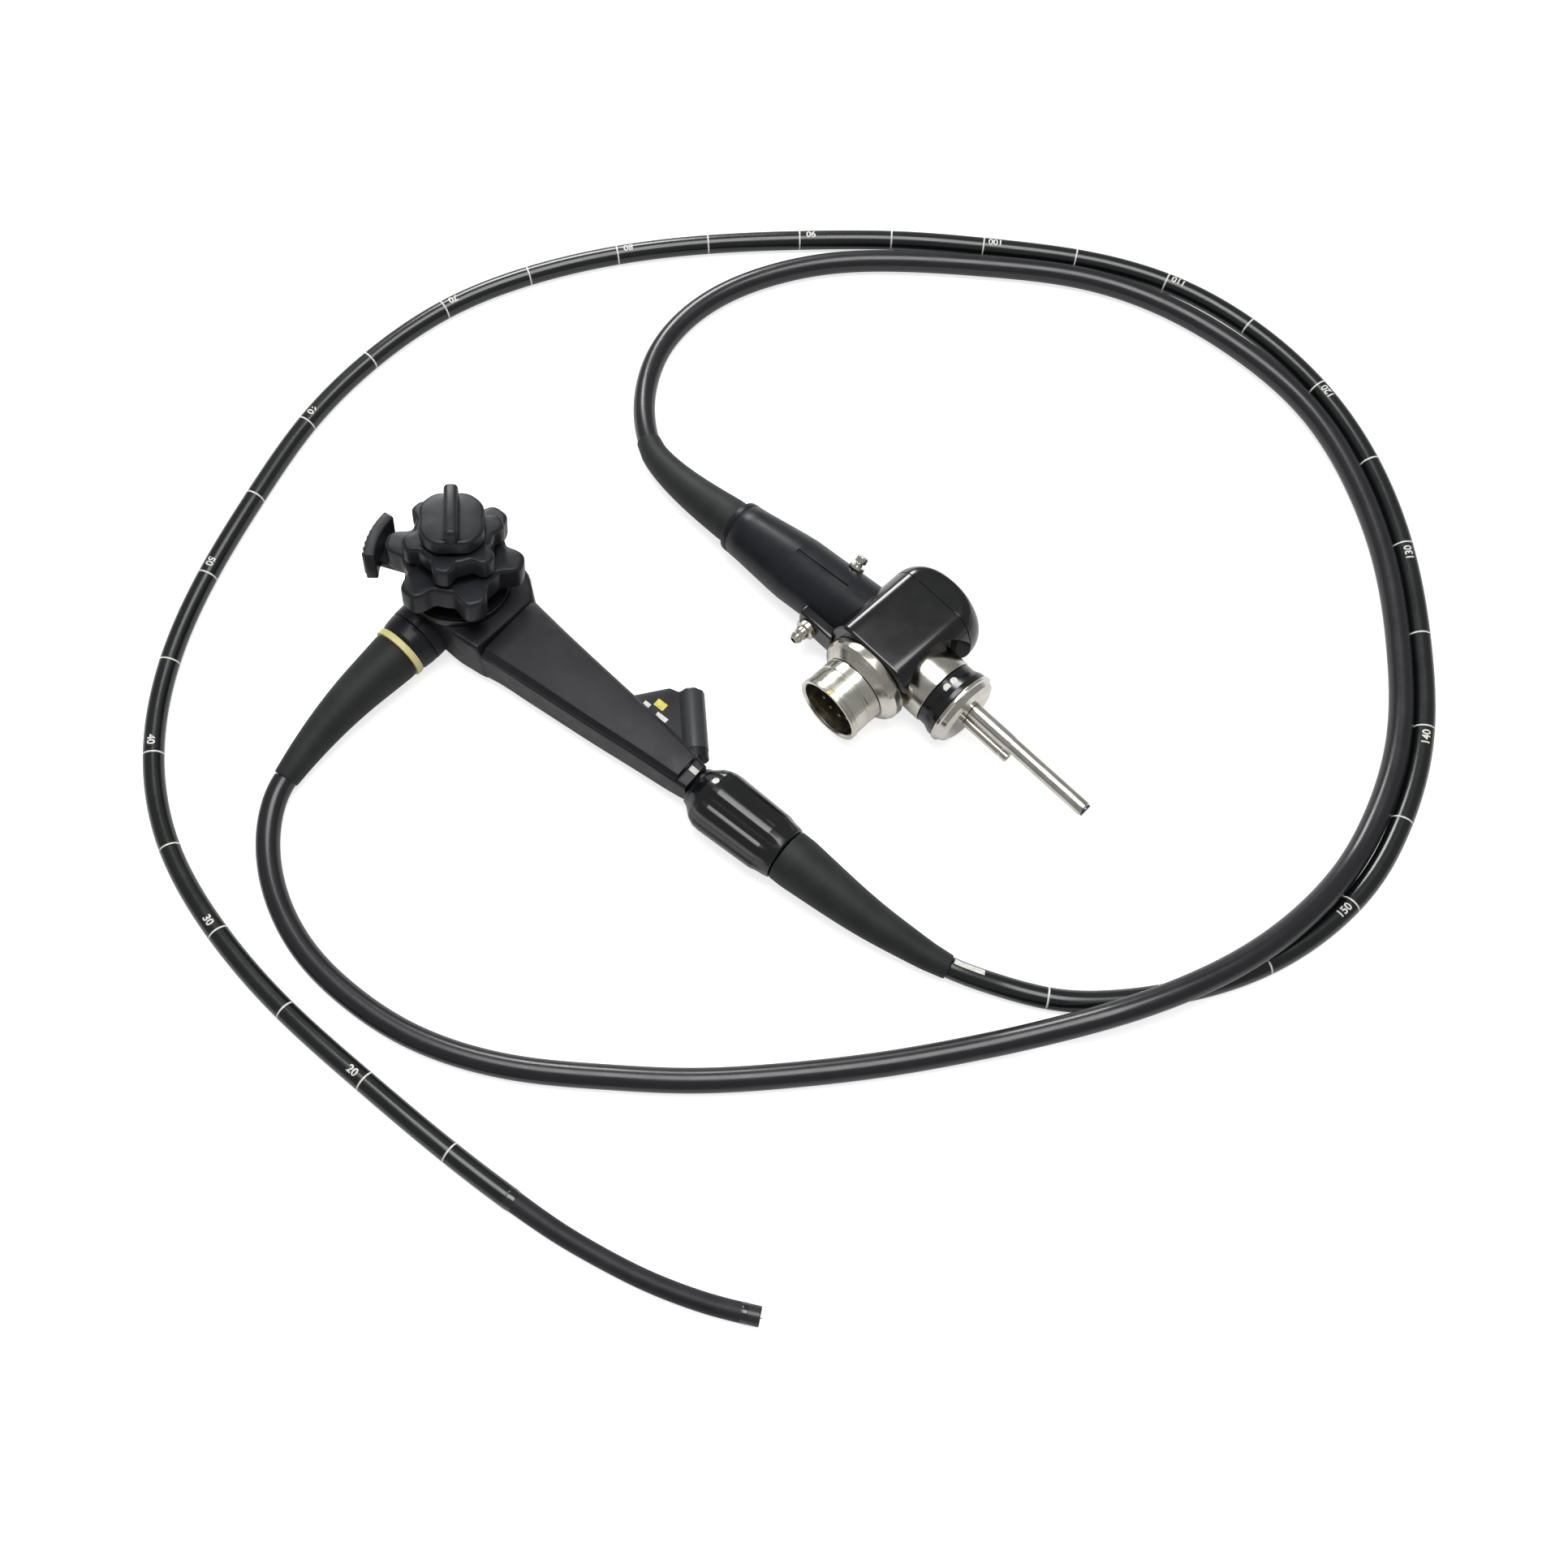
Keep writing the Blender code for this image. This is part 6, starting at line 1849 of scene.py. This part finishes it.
@dataclass
class CordSide:
    """The cord outlet with its collar, yellow ring and boot, and the universal cord."""

    x: float = -5.0
    z: float = 16.0
    boss_end: float = 34.0
    outlet_r: float = 14.4
    collar_length: float = 8.6
    ring_r: float = 13.8
    ring_length: float = 3.4
    boot_r: float = 12.7
    boot_end_r: float = 6.2
    boot_reach: tuple = (79.0, 8.2, 1.2)
    cord_r: float = 5.65
    boot_leave: tuple = (2.6, -19.0, -2.6)

    def boot_route(self) -> Route:
        """Return the boot's centreline.

        Returns:
            The line.
        """
        y = -(self.boss_end + SEAT_GAP + self.collar_length + SEAT_GAP + self.ring_length
              + SEAT_GAP)
        reach, drop, drift = self.boot_reach
        route = [(self.x, y, self.z)] + [
            (self.x + side * drift, y - along * reach, self.z - down * drop)
            for along, side, down in ((0.33, -1.0, 0.17), (0.66, -1.0, 0.54), (1.0, 1.0, 1.0))]
        return Route(smooth_route(route, (0, -1, 0), self.boot_leave, 1.0))

    def build_outlet(self) -> None:
        """Model the collar, the yellow ring and the boot."""
        place = facing(Vector((self.x, 0.0, self.z)), (0.0, -1.0, 0.0))
        low = self.boss_end + SEAT_GAP
        high = low + self.collar_length
        r = self.outlet_r
        collar = lathe("cord_collar_ring", [
            (0.0, low), (r, low, 0.3), (r, low + 2, 1), (r - 0.6, high - 1.6, 0.8),
            (r - 1.4, high, 0.3), (0.0, high)], place)
        finish_piece(collar, SLEEVE_SHELL, ROOT, ["cord_collar"])
        low = high + SEAT_GAP
        high = low + self.ring_length
        ring = lathe("yellow_ring", round_bar(self.ring_r, low, high, 0.5, 0.5), place)
        finish_piece(ring, RING_ABS, ROOT, ["identification_ring"])
        boot = mould_boot("cord_boot_moulding", self.boot_route(), self.boot_r,
                          self.boot_end_r, 0.04, 10)
        finish_piece(boot, BOOT_RUBBER, ROOT, ["cord_boot"], Shading.ROUND)

    def cord_route(self, end: Vector, into: Vector) -> Route:
        """Return the cord's centreline from the head's boot to the connector's boot.

        Args:
            end: The point at the connector's boot.
            into: The direction there.
        Returns:
            The line.
        """
        boot = self.boot_route()
        away = Vector(self.boot_leave).normalized()
        place = boot.spot(boot.length) + away * SEAT_GAP
        lie = self.cord_r + 0.1
        route = [tuple(place)] + [p for p in (
            (4, -144, 6.3), (19.5, -160, lie), (41, -172.5, lie), (65, -179.5, lie),
            (92, -181, lie), (124, -177, lie), (151, -168, lie), (176, -155, lie),
            (205, -135, lie), (235, -112, lie), (265, -84, lie), (297, -50, lie),
            (316, -27.5, lie + 0.4), (331, -9, 7.6), (345, 8.5, 11.6), (358, 26, 15.4),
            (370, 45, 16.6), (381, 66, 16.4), (390, 88, 15.4), (396.6, 112, 12.9),
            (400.4, 137, 9.4), (400.9, 162, lie + 0.6), (397.6, 186.3, lie), (385.5, 225, lie),
            (361.2, 266, lie), (330.4, 304.4, lie), (296, 334.4, lie), (253.5, 358, lie),
            (207, 367.5, lie), (160, 366.5, lie), (118, 355, lie), (76, 331.5, lie),
            (34, 302.5, lie), (4, 276, lie), (-16.5, 248, lie), (-28, 222, lie),
            (-32, 197, lie), (-29, 173, lie), (-20, 153, 6.2))] + [tuple(end)]
        return Route(smooth_route(route, away, into, 3.0))

    def build(self, inside: Sequence[Vector], connector: Sequence) -> None:
        """Build the outlet and draw the cord on into the connector's sleeve.

        Args:
            inside: The cord's points from the connector's boot inwards.
            connector: The connector's pieces.
        """
        self.build_outlet()
        into = (inside[1] - inside[0]).normalized()
        outside = self.cord_route(inside[0], into)
        route = Route([Vector(p) for p in outside.points] + list(inside[1:]))
        cord = Cord("universal_cord", route, self.cord_r, CORD_SHEATH, "cord_grey", "connector")
        cord.tie(cord.draw(), connector)


@dataclass
class LightGuideConnector:
    """The connector: boot, sleeve, barrel with cap, electrical socket and light guide."""

    repeater: Repeater
    place_xy: tuple = (153.7, 110.8)
    barrel_r: float = 25.5
    barrel_x: float = 26.2
    back_y: float = -22.0
    seam_y: float = 20.0
    end_y: float = 33.4
    face_z: float = 45.5
    sleeve_r: float = 16.8
    sleeve_start_r: float = 13.6
    sleeve_length: float = 78.0
    sleeve_y: float = -2.5
    sleeve_z: float = 22.5
    sleeve_dip: float = math.radians(5)
    sleeve_turn: float = math.radians(3.6)
    seat_depth: float = 7.0
    boot_r: float = 11.0
    boot_end_r: float = 6.2
    socket_x: float = 27.0
    socket_z: float = 22.5
    socket_r: float = 17.4
    bore_r: float = 15.2
    collar_r: float = 22.6
    collar_length: float = 9.0
    socket_length: float = 17.5
    pins: int = 10
    neck_y: float = -2.0
    neck_z: float = 20.0
    neck_r: float = 17.4
    neck_start: float = 34.0
    neck_end: float = 56.5
    neck_gap: float = 1.0
    mouth_r: float = 25.0
    mouth_x: float = 44.0
    band_length: float = 10.0
    band_r: float = 18.4
    flange_r: float = 19.0
    flange_t: float = 6.0
    rod_r: float = 4.0
    rod_length: float = 68.0
    rod_yz: tuple = (0.8, 22.0)
    pipe_r: float = 2.6
    pipe_length: float = 26.0
    pipe_yz: tuple = (-2.6, 15.2)
    nipple_xz: tuple = (-11.0, 21.0)
    nipple_block: float = 14.0
    nipple_length: float = 10.0
    vent_back: float = 12.5
    pieces: list = field(default_factory=list)

    def frame(self) -> Matrix:
        """Return the connector's own frame."""
        return placed((*self.place_xy, 0.0), (CONNECTOR_TURN, "Z"))

    def sleeve_frame(self) -> Matrix:
        """Return the sleeve's frame, +Z into the barrel."""
        return self.frame() @ placed((0.0, self.sleeve_y, self.sleeve_z),
                                     (self.sleeve_turn, "Z"), (QUARTER - self.sleeve_dip, "Y"))

    def guide_frame(self) -> Matrix:
        """Return the light guide's frame, +Z outwards."""
        return self.frame() @ placed((0.0, self.neck_y, self.neck_z), (QUARTER, "Y"))

    def socket_frame(self) -> Matrix:
        """Return the socket's frame, +Z outwards."""
        return self.frame() @ placed((self.socket_x, 0.0, self.socket_z), (QUARTER, "X"))

    def add(self, obj: Obj, finish: Finish, slot: str, node: Optional[str] = None,
            shading: Shading = Shading.MOULDED) -> None:
        """Finish a piece and list it as the connector's."""
        finish_piece(obj, finish, ROOT, [node] if node else (), shading)
        self.pieces.append(obj)

    def flatten(self, r: float, y: float, turn: float) -> float:
        """Lay the flat on the barrel's top and blend its long edges into the round.

        Args:
            r: The profile's radius.
            y: The distance along the axis.
            turn: The angle.
        Returns:
            The radius there.
        """
        rise = -math.sin(turn)
        if rise < 0.3 or r < 12:
            return r
        from_back = min(max(y - self.back_y, 0.0), 1.5) / 1.5
        edge = 1.2 * (1 - math.sqrt(1 - (1 - from_back) ** 2))
        limit = (self.face_z - self.barrel_r - 0.3 - edge) / rise
        blend = 2.6
        near = max(blend - abs(limit - r), 0.0) / blend
        return min(r, limit) - near * near * blend / 4

    def build_barrel(self) -> None:
        """Model the barrel, its cap and the flat on both."""
        frame = self.frame()
        across = frame @ placed((self.barrel_x, 0.0, self.barrel_r + 0.3), (-QUARTER, "X"))
        r = self.barrel_r
        body = lathe("barrel_moulding", [
            (0.0, self.back_y), (r, self.back_y, 1.7), (r, self.seam_y, 0.25),
            (0.0, self.seam_y)], across, steps=192, swell=self.flatten)
        x, z = self.nipple_xz
        half = self.nipple_block / 2
        nub = block("nub", (x - half, self.back_y - 2, z - half),
                    (self.socket_x - self.collar_r - 1, -8, z + half), frame, 1.2)
        cut(body, nub, "UNION")
        drill(body, self.sleeve_frame(), self.sleeve_r + SEAT_GAP, -40,
              self.seat_depth + SEAT_GAP, 96)
        pocket = self.neck_r + self.neck_gap
        cut(body, lathe("pocket", [
            (0.0, self.neck_start - SEAT_GAP), (pocket, self.neck_start - SEAT_GAP),
            (pocket, self.neck_start + 3), (self.mouth_r, self.mouth_x), (self.mouth_r, 80),
            (0.0, 80)], self.guide_frame()))
        self.add(body, BARREL_SHELL, "black_gloss", "connector_body", Shading.CRISP)
        seam = self.seam_y + SEAT_GAP
        corner = self.end_y - seam - 1
        profile = [(0.0, self.end_y)]
        for i in range(17):
            turn = QUARTER * (1 - i / 16)
            profile.append((r - corner + corner * math.cos(turn),
                            self.end_y - corner + corner * math.sin(turn)))
        profile += [(r, seam, 0.25), (0.0, seam)]
        cap = lathe("barrel_cap", profile, across, steps=192, swell=self.flatten)
        self.add(cap, BARREL_SHELL, "black_gloss", "connector_cap", Shading.CRISP)

    def build_sleeve(self) -> None:
        """Model the tapering sleeve with its groove and the vent nipple on it."""
        place = self.sleeve_frame()
        tail = -self.sleeve_length
        r, start = self.sleeve_r, self.sleeve_start_r
        sleeve = lathe("sleeve_moulding", [
            (0.0, self.seat_depth), (r, self.seat_depth), (r, -38, 6), (r - 0.5, -45, 8),
            (start + 0.4, tail + 10, 4), (start, tail + 4), (start - 0.35, tail + 3.6),
            (start - 0.35, tail + 3.2), (start, tail + 2.8), (start - 0.2, tail, 0.9),
            (0.0, tail)], place, steps=112)
        cut(sleeve, block("groove", (-r - 3, -0.9, -38), (-r + 0.9, 0.9, -6), place, 0.2))
        self.add(sleeve, SLEEVE_SHELL, "black_body", "connector_sleeve")
        up = Vector((-0.6, 0.8, 0.0))
        seat = up * (r + SEAT_GAP)
        vent = place @ facing(Vector((seat.x, seat.y, -self.vent_back)), up)
        nipple = lathe("vent_fitting", [
            (0.0, 6.6), (3.0, 6.6, 0.6), (3.0, 3.4, 0.3), (2.0, 2.8), (2.0, 1.6),
            (4.0, 1.4, 0.15), (4.0, 0.0), (0.0, 0.0)], vent, steps=64)
        self.add(nipple, SOCKET_NICKEL, "nickel", "vent_nipple")
        x, z = self.nipple_xz
        spigot = self.frame() @ placed((x, self.back_y - 2 - SEAT_GAP, z), (QUARTER, "X"))
        tip = self.nipple_length
        bore = 1.6
        barb = lathe("suction_fitting", [
            (2.2, tip, 0.2), (3.2, tip - 2.5, 0.15), (2.5, tip - 3), (3.4, 5, 0.2), (3.4, 3),
            (5.2, 2.6, 0.3), (5.2, 0.0), (bore, 0.0), (bore, tip)], spigot, True, 64)
        self.add(barb, SOCKET_NICKEL, "nickel", "suction_nipple")

    def build_socket(self) -> None:
        """Model the socket: collar, shell with its grooves, insulator and gold pins."""
        place = self.socket_frame()
        first = -self.back_y + SEAT_GAP
        last = first + self.collar_length
        collar = lathe("socket_collar_ring", [
            (0.0, first), (self.collar_r, first, 0.3), (self.collar_r, first + 4, 0.6),
            (self.collar_r - 1, first + 6, 0.6), (self.socket_r + 0.6, last, 0.5), (0.0, last)],
            place, steps=112)
        self.add(collar, SOCKET_NICKEL, "nickel", "socket_collar")
        low = last + SEAT_GAP
        high = low + self.socket_length
        r = self.socket_r
        inner = r - 0.5
        profile = [(r, high, 0.35), (r, high - 2.6, 0.3), (inner, high - 3.1),
                   (inner, low + 7.4), (inner - 0.5, low + 7.0),
                   (inner - 0.5, low + 5.6), (inner, low + 5.2), (inner, low),
                   (self.bore_r, low), (self.bore_r, high - 0.8, 0.2),
                   (self.bore_r + 0.8, high, 0.2)]
        shell = lathe("socket_shell_ring", profile, place, True, 112)
        self.add(shell, SOCKET_NICKEL, "nickel", "socket_shell")
        dot = lathe("socket_dot", round_bar(1.1, 0.0, 0.14, 0.0, 0.05),
                    place @ facing(Vector((0.0, r - 0.02, high - 1.3)), (0, 1, 0)), steps=32)
        self.add(dot, YELLOW_INK, "nickel")
        wide = self.bore_r - SEAT_GAP
        disc = lathe("contact_disc", [
            (0.0, low), (wide, low), (wide, low + 5, 0.4), (wide - 2, low + 5, 0.2),
            (wide - 2.4, low + 4.4), (0.0, low + 4.4)], place)
        self.add(disc, INSULATOR, "dark_insert", "contact_insert")
        reach = 12
        pin = lathe("pin", round_bar(0.9, 1, reach, 0.0, 0.6), Matrix(), steps=20)
        pins = self.repeater.around("contact_pins", pin, self.pins, 0.0,
                                    2 * math.pi / self.pins, 0.62 * self.bore_r, low, PIN_GOLD,
                                    place)
        self.add(pins, PIN_GOLD, "nickel")

    def build_guide(self) -> None:
        """Model the neck, band, flange, rod, window and air pipe."""
        place = self.guide_frame()
        end = self.neck_end
        neck = lathe("guide_neck", round_bar(self.neck_r, self.neck_start, end, 0.0, 0.4), place,
                     steps=112)
        self.add(neck, GUIDE_NICKEL, "nickel", "light_guide_neck")
        low = end + SEAT_GAP
        high = low + self.band_length
        thin = self.neck_r - 0.4
        band = lathe("guide_band", [
            (0.0, high), (self.band_r, high, 0.4), (self.band_r, high - 2.5, 0.6),
            (thin, high - 6, 0.8), (thin - 0.2, low, 0.3), (0.0, low)], place, steps=112)
        self.add(band, GLOSS_SHELL, "black_gloss", "light_guide_band")
        dot = lathe("unit", round_bar(1.8, -0.3, 0.14, 0.0, 0.05),
                    facing(Vector((0.0, 0.0, 0.0)), (1, 0, 0)), steps=28)
        dots = self.repeater.around("band_dots", dot, 2, math.radians(194), math.radians(-15),
                                    thin + 0.1, low + 3.6, WHITE_INK, place)
        self.add(dots, WHITE_INK, "black_gloss")
        low = high + SEAT_GAP
        high = low + self.flange_t
        r = self.flange_r
        flange = lathe("guide_flange", [
            (0.0, high), (r - 5, high, 0.4), (r - 2, high - 1.5, 0.6), (r - 1, low + 2, 0.5),
            (r, low + 1.6, 0.2), (r, low, 0.3), (0.0, low)], place, steps=112)
        self.add(flange, GUIDE_NICKEL, "nickel", "light_guide_flange")
        frame = self.frame()
        y, z = self.rod_yz
        seat = high + SEAT_GAP
        rod_place = frame @ placed((seat, y, z), (QUARTER, "Y"))
        r, tall = self.rod_r, self.rod_length
        rod = lathe("guide_rod", [
            (0.0, tall), (r - 0.35, tall, 0.3), (r - 0.3, tall - 2, 0.3), (r - 0.3, 24, 0.4),
            (r, 22, 0.4), (r, 0.0), (0.0, 0.0)], rod_place, steps=72)
        self.add(rod, GUIDE_NICKEL, "nickel", "light_guide_rod")
        window = lathe("guide_window", [
            (0.0, tall + SEAT_GAP + 1.2), (r - 0.8, tall + SEAT_GAP + 1.1, 0.5),
            (r - 0.8, tall + SEAT_GAP), (0.0, tall + SEAT_GAP)], rod_place, steps=56)
        self.add(window, LENS_GLASS, "optic_glass", "light_guide_window", Shading.ROUND)
        y, z = self.pipe_yz
        pipe_place = frame @ placed((seat, y, z), (QUARTER, "Y"))
        r, tall = self.pipe_r, self.pipe_length
        bore = 1.6
        pipe = lathe("air_pipe_tube", [
            (r, tall, 0.35), (r, tall - 3), (r - 0.3, tall - 3.3), (r - 0.3, tall - 4.3),
            (r, tall - 4.6), (r, 0.0), (bore, 0.0), (bore, tall, 0.2)], pipe_place, True, 56)
        self.add(pipe, GUIDE_NICKEL, "nickel", "air_pipe")

    def build_boot(self) -> list:
        """Model the cord's boot; return the cord's points from there into the sleeve.

        Returns:
            The points.
        """
        place = self.sleeve_frame()
        joint = place @ Vector((0.0, 0.0, -self.sleeve_length - SEAT_GAP))
        inward = place.to_3x3() @ Vector((0.0, 0.0, 1.0))
        route = [joint] + [joint + Vector((dx, dy, -dz)) for dx, dy, dz in (
            (-18.5, 0.8, 1.5), (-36, 2.4, 3.4), (-53.5, 5.6, 5.2), (-70, 12.6, 6.4))]
        enter = Vector((13.0, -10.0, 0.8))
        line = Route(smooth_route(route[::-1], enter, inward, 1.0))
        boot = mould_boot("connector_boot_moulding", line, self.boot_r, self.boot_end_r, 0.08,
                          14, True)
        self.add(boot, BOOT_RUBBER, "soft_rubber", "connector_boot", Shading.ROUND)
        inside = [line.spot(0.0) - enter.normalized() * SEAT_GAP]
        inside += [line.spot(s) for s in np.arange(2, line.length, 3)]
        inside += [place @ Vector((0.0, 0.0, z))
                   for z in np.arange(-self.sleeve_length, 5, 3)]
        return inside

    def build(self) -> list:
        """Build the whole connector and return the cord's points inside it.

        Returns:
            The points.
        """
        self.build_barrel()
        self.build_sleeve()
        self.build_socket()
        self.build_guide()
        return self.build_boot()


@dataclass
class Studio:
    """The pale floor, the soft lamps and the camera at the photograph's angle."""

    camera_place: tuple = (0.3425, -0.2088, 0.685)
    camera_turns: tuple = (math.radians(44.05), math.radians(22.46), math.radians(-4.0))
    lens: float = 35.98
    shift: tuple = (0.0585, 0.004)
    floor_z: float = -0.2 * MM

    def build_world(self) -> None:
        """Light softly from all sides and show plain white behind."""
        world = bpy.data.worlds.new("studio_world")
        bpy.context.scene.world = world
        world.use_nodes = True
        tree = world.node_tree
        tree.nodes.clear()
        add = partial(add_node, tree)
        path = add("ShaderNodeLightPath")
        fill = add("ShaderNodeBackground", {"Color": (1, 1, 1, 1), "Strength": 0.3})
        seen = add("ShaderNodeBackground", {"Color": (1, 1, 1, 1), "Strength": 1.0})
        mix = add("ShaderNodeMixShader", None, {
            0: path.outputs["Is Camera Ray"], 1: fill, 2: seen})
        add("ShaderNodeOutputWorld", None, {"Surface": mix})

    def build_floor(self) -> None:
        """Lay a white floor that keeps a soft shadow."""
        half = 3.0
        obj = mesh_object("studio_floor", [(x * half + 0.15, y * half + 0.1, self.floor_z)
                                           for x, y in ((-1, -1), (1, -1), (1, 1), (-1, 1))],
                          [(0, 1, 2, 3)])
        made = bpy.data.materials.new("studio_floor")
        made.use_nodes = True
        tree = made.node_tree
        tree.nodes.clear()
        add = partial(add_node, tree)
        path = add("ShaderNodeLightPath")
        seen = add("ShaderNodeMath", {"operation": "MULTIPLY_ADD", 1: 0.12}, {
            0: path.outputs["Is Glossy Ray"], 2: path.outputs["Is Camera Ray"]})
        paper = add("ShaderNodeBsdfDiffuse", {"Color": (0.75, 0.75, 0.75, 1)})
        glow = add("ShaderNodeEmission", {"Color": (1, 1, 1, 1), "Strength": 0.72})
        both = add("ShaderNodeAddShader", None, {0: paper, 1: glow})
        mix = add("ShaderNodeMixShader", None, {0: seen, 1: paper, 2: both})
        add("ShaderNodeOutputMaterial", None, {"Surface": mix})
        obj.data.materials.append(made)

    def build_lamp(self, name: str, place: Sequence, target: Sequence, size: float,
                   power: float) -> None:
        """Hang a square soft lamp that faces a point.

        Args:
            name: The lamp's name.
            place: Where it hangs.
            target: The point that it faces.
            size: How wide it is.
            power: Its power in watts.
        """
        lamp = bpy.data.lights.new(name, "AREA")
        lamp.size = size
        lamp.energy = power
        obj = link(name, lamp)
        obj.location = place
        obj.rotation_euler = (Vector(target) - Vector(place)).to_track_quat("-Z", "Y").to_euler()

    def build_camera(self) -> None:
        """Set the camera where the photograph was taken."""
        camera = bpy.data.cameras.new("camera")
        obj = link("camera", camera)
        about_z, about_x, about_own_z = self.camera_turns
        obj.matrix_world = placed(self.camera_place, (about_z, "Z"), (about_x, "X"),
                                  (about_own_z, "Z"))
        camera.lens = self.lens
        camera.sensor_width = 36.0
        camera.shift_x, camera.shift_y = self.shift
        bpy.context.scene.camera = obj

    def build(self) -> None:
        """Build the whole studio."""
        bpy.context.scene.view_settings.view_transform = "Standard"
        self.build_world()
        self.build_floor()
        self.build_lamp("overhead_softbox", (0.1, 0.15, 1.5), (0.12, 0.1, 0.0), 0.9, 16.0)
        self.build_lamp("side_strip", (-1.0, 0.9, 0.8), (0.1, 0.1, 0.0), 0.5, 12.0)
        self.build_camera()


def main() -> None:
    """Load the frame and dress it."""
    logging.basicConfig(level=logging.INFO, format="%(message)s")
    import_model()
    Studio().build()
    repeater = Repeater()
    connector = LightGuideConnector(repeater)
    inside = connector.build()
    CordSide().build(inside, connector.pieces)
    InsertionSide(repeater).build()
    ControlSection().build()
    SteeringStack(repeater).build()


if __name__ == "__main__":
    main()
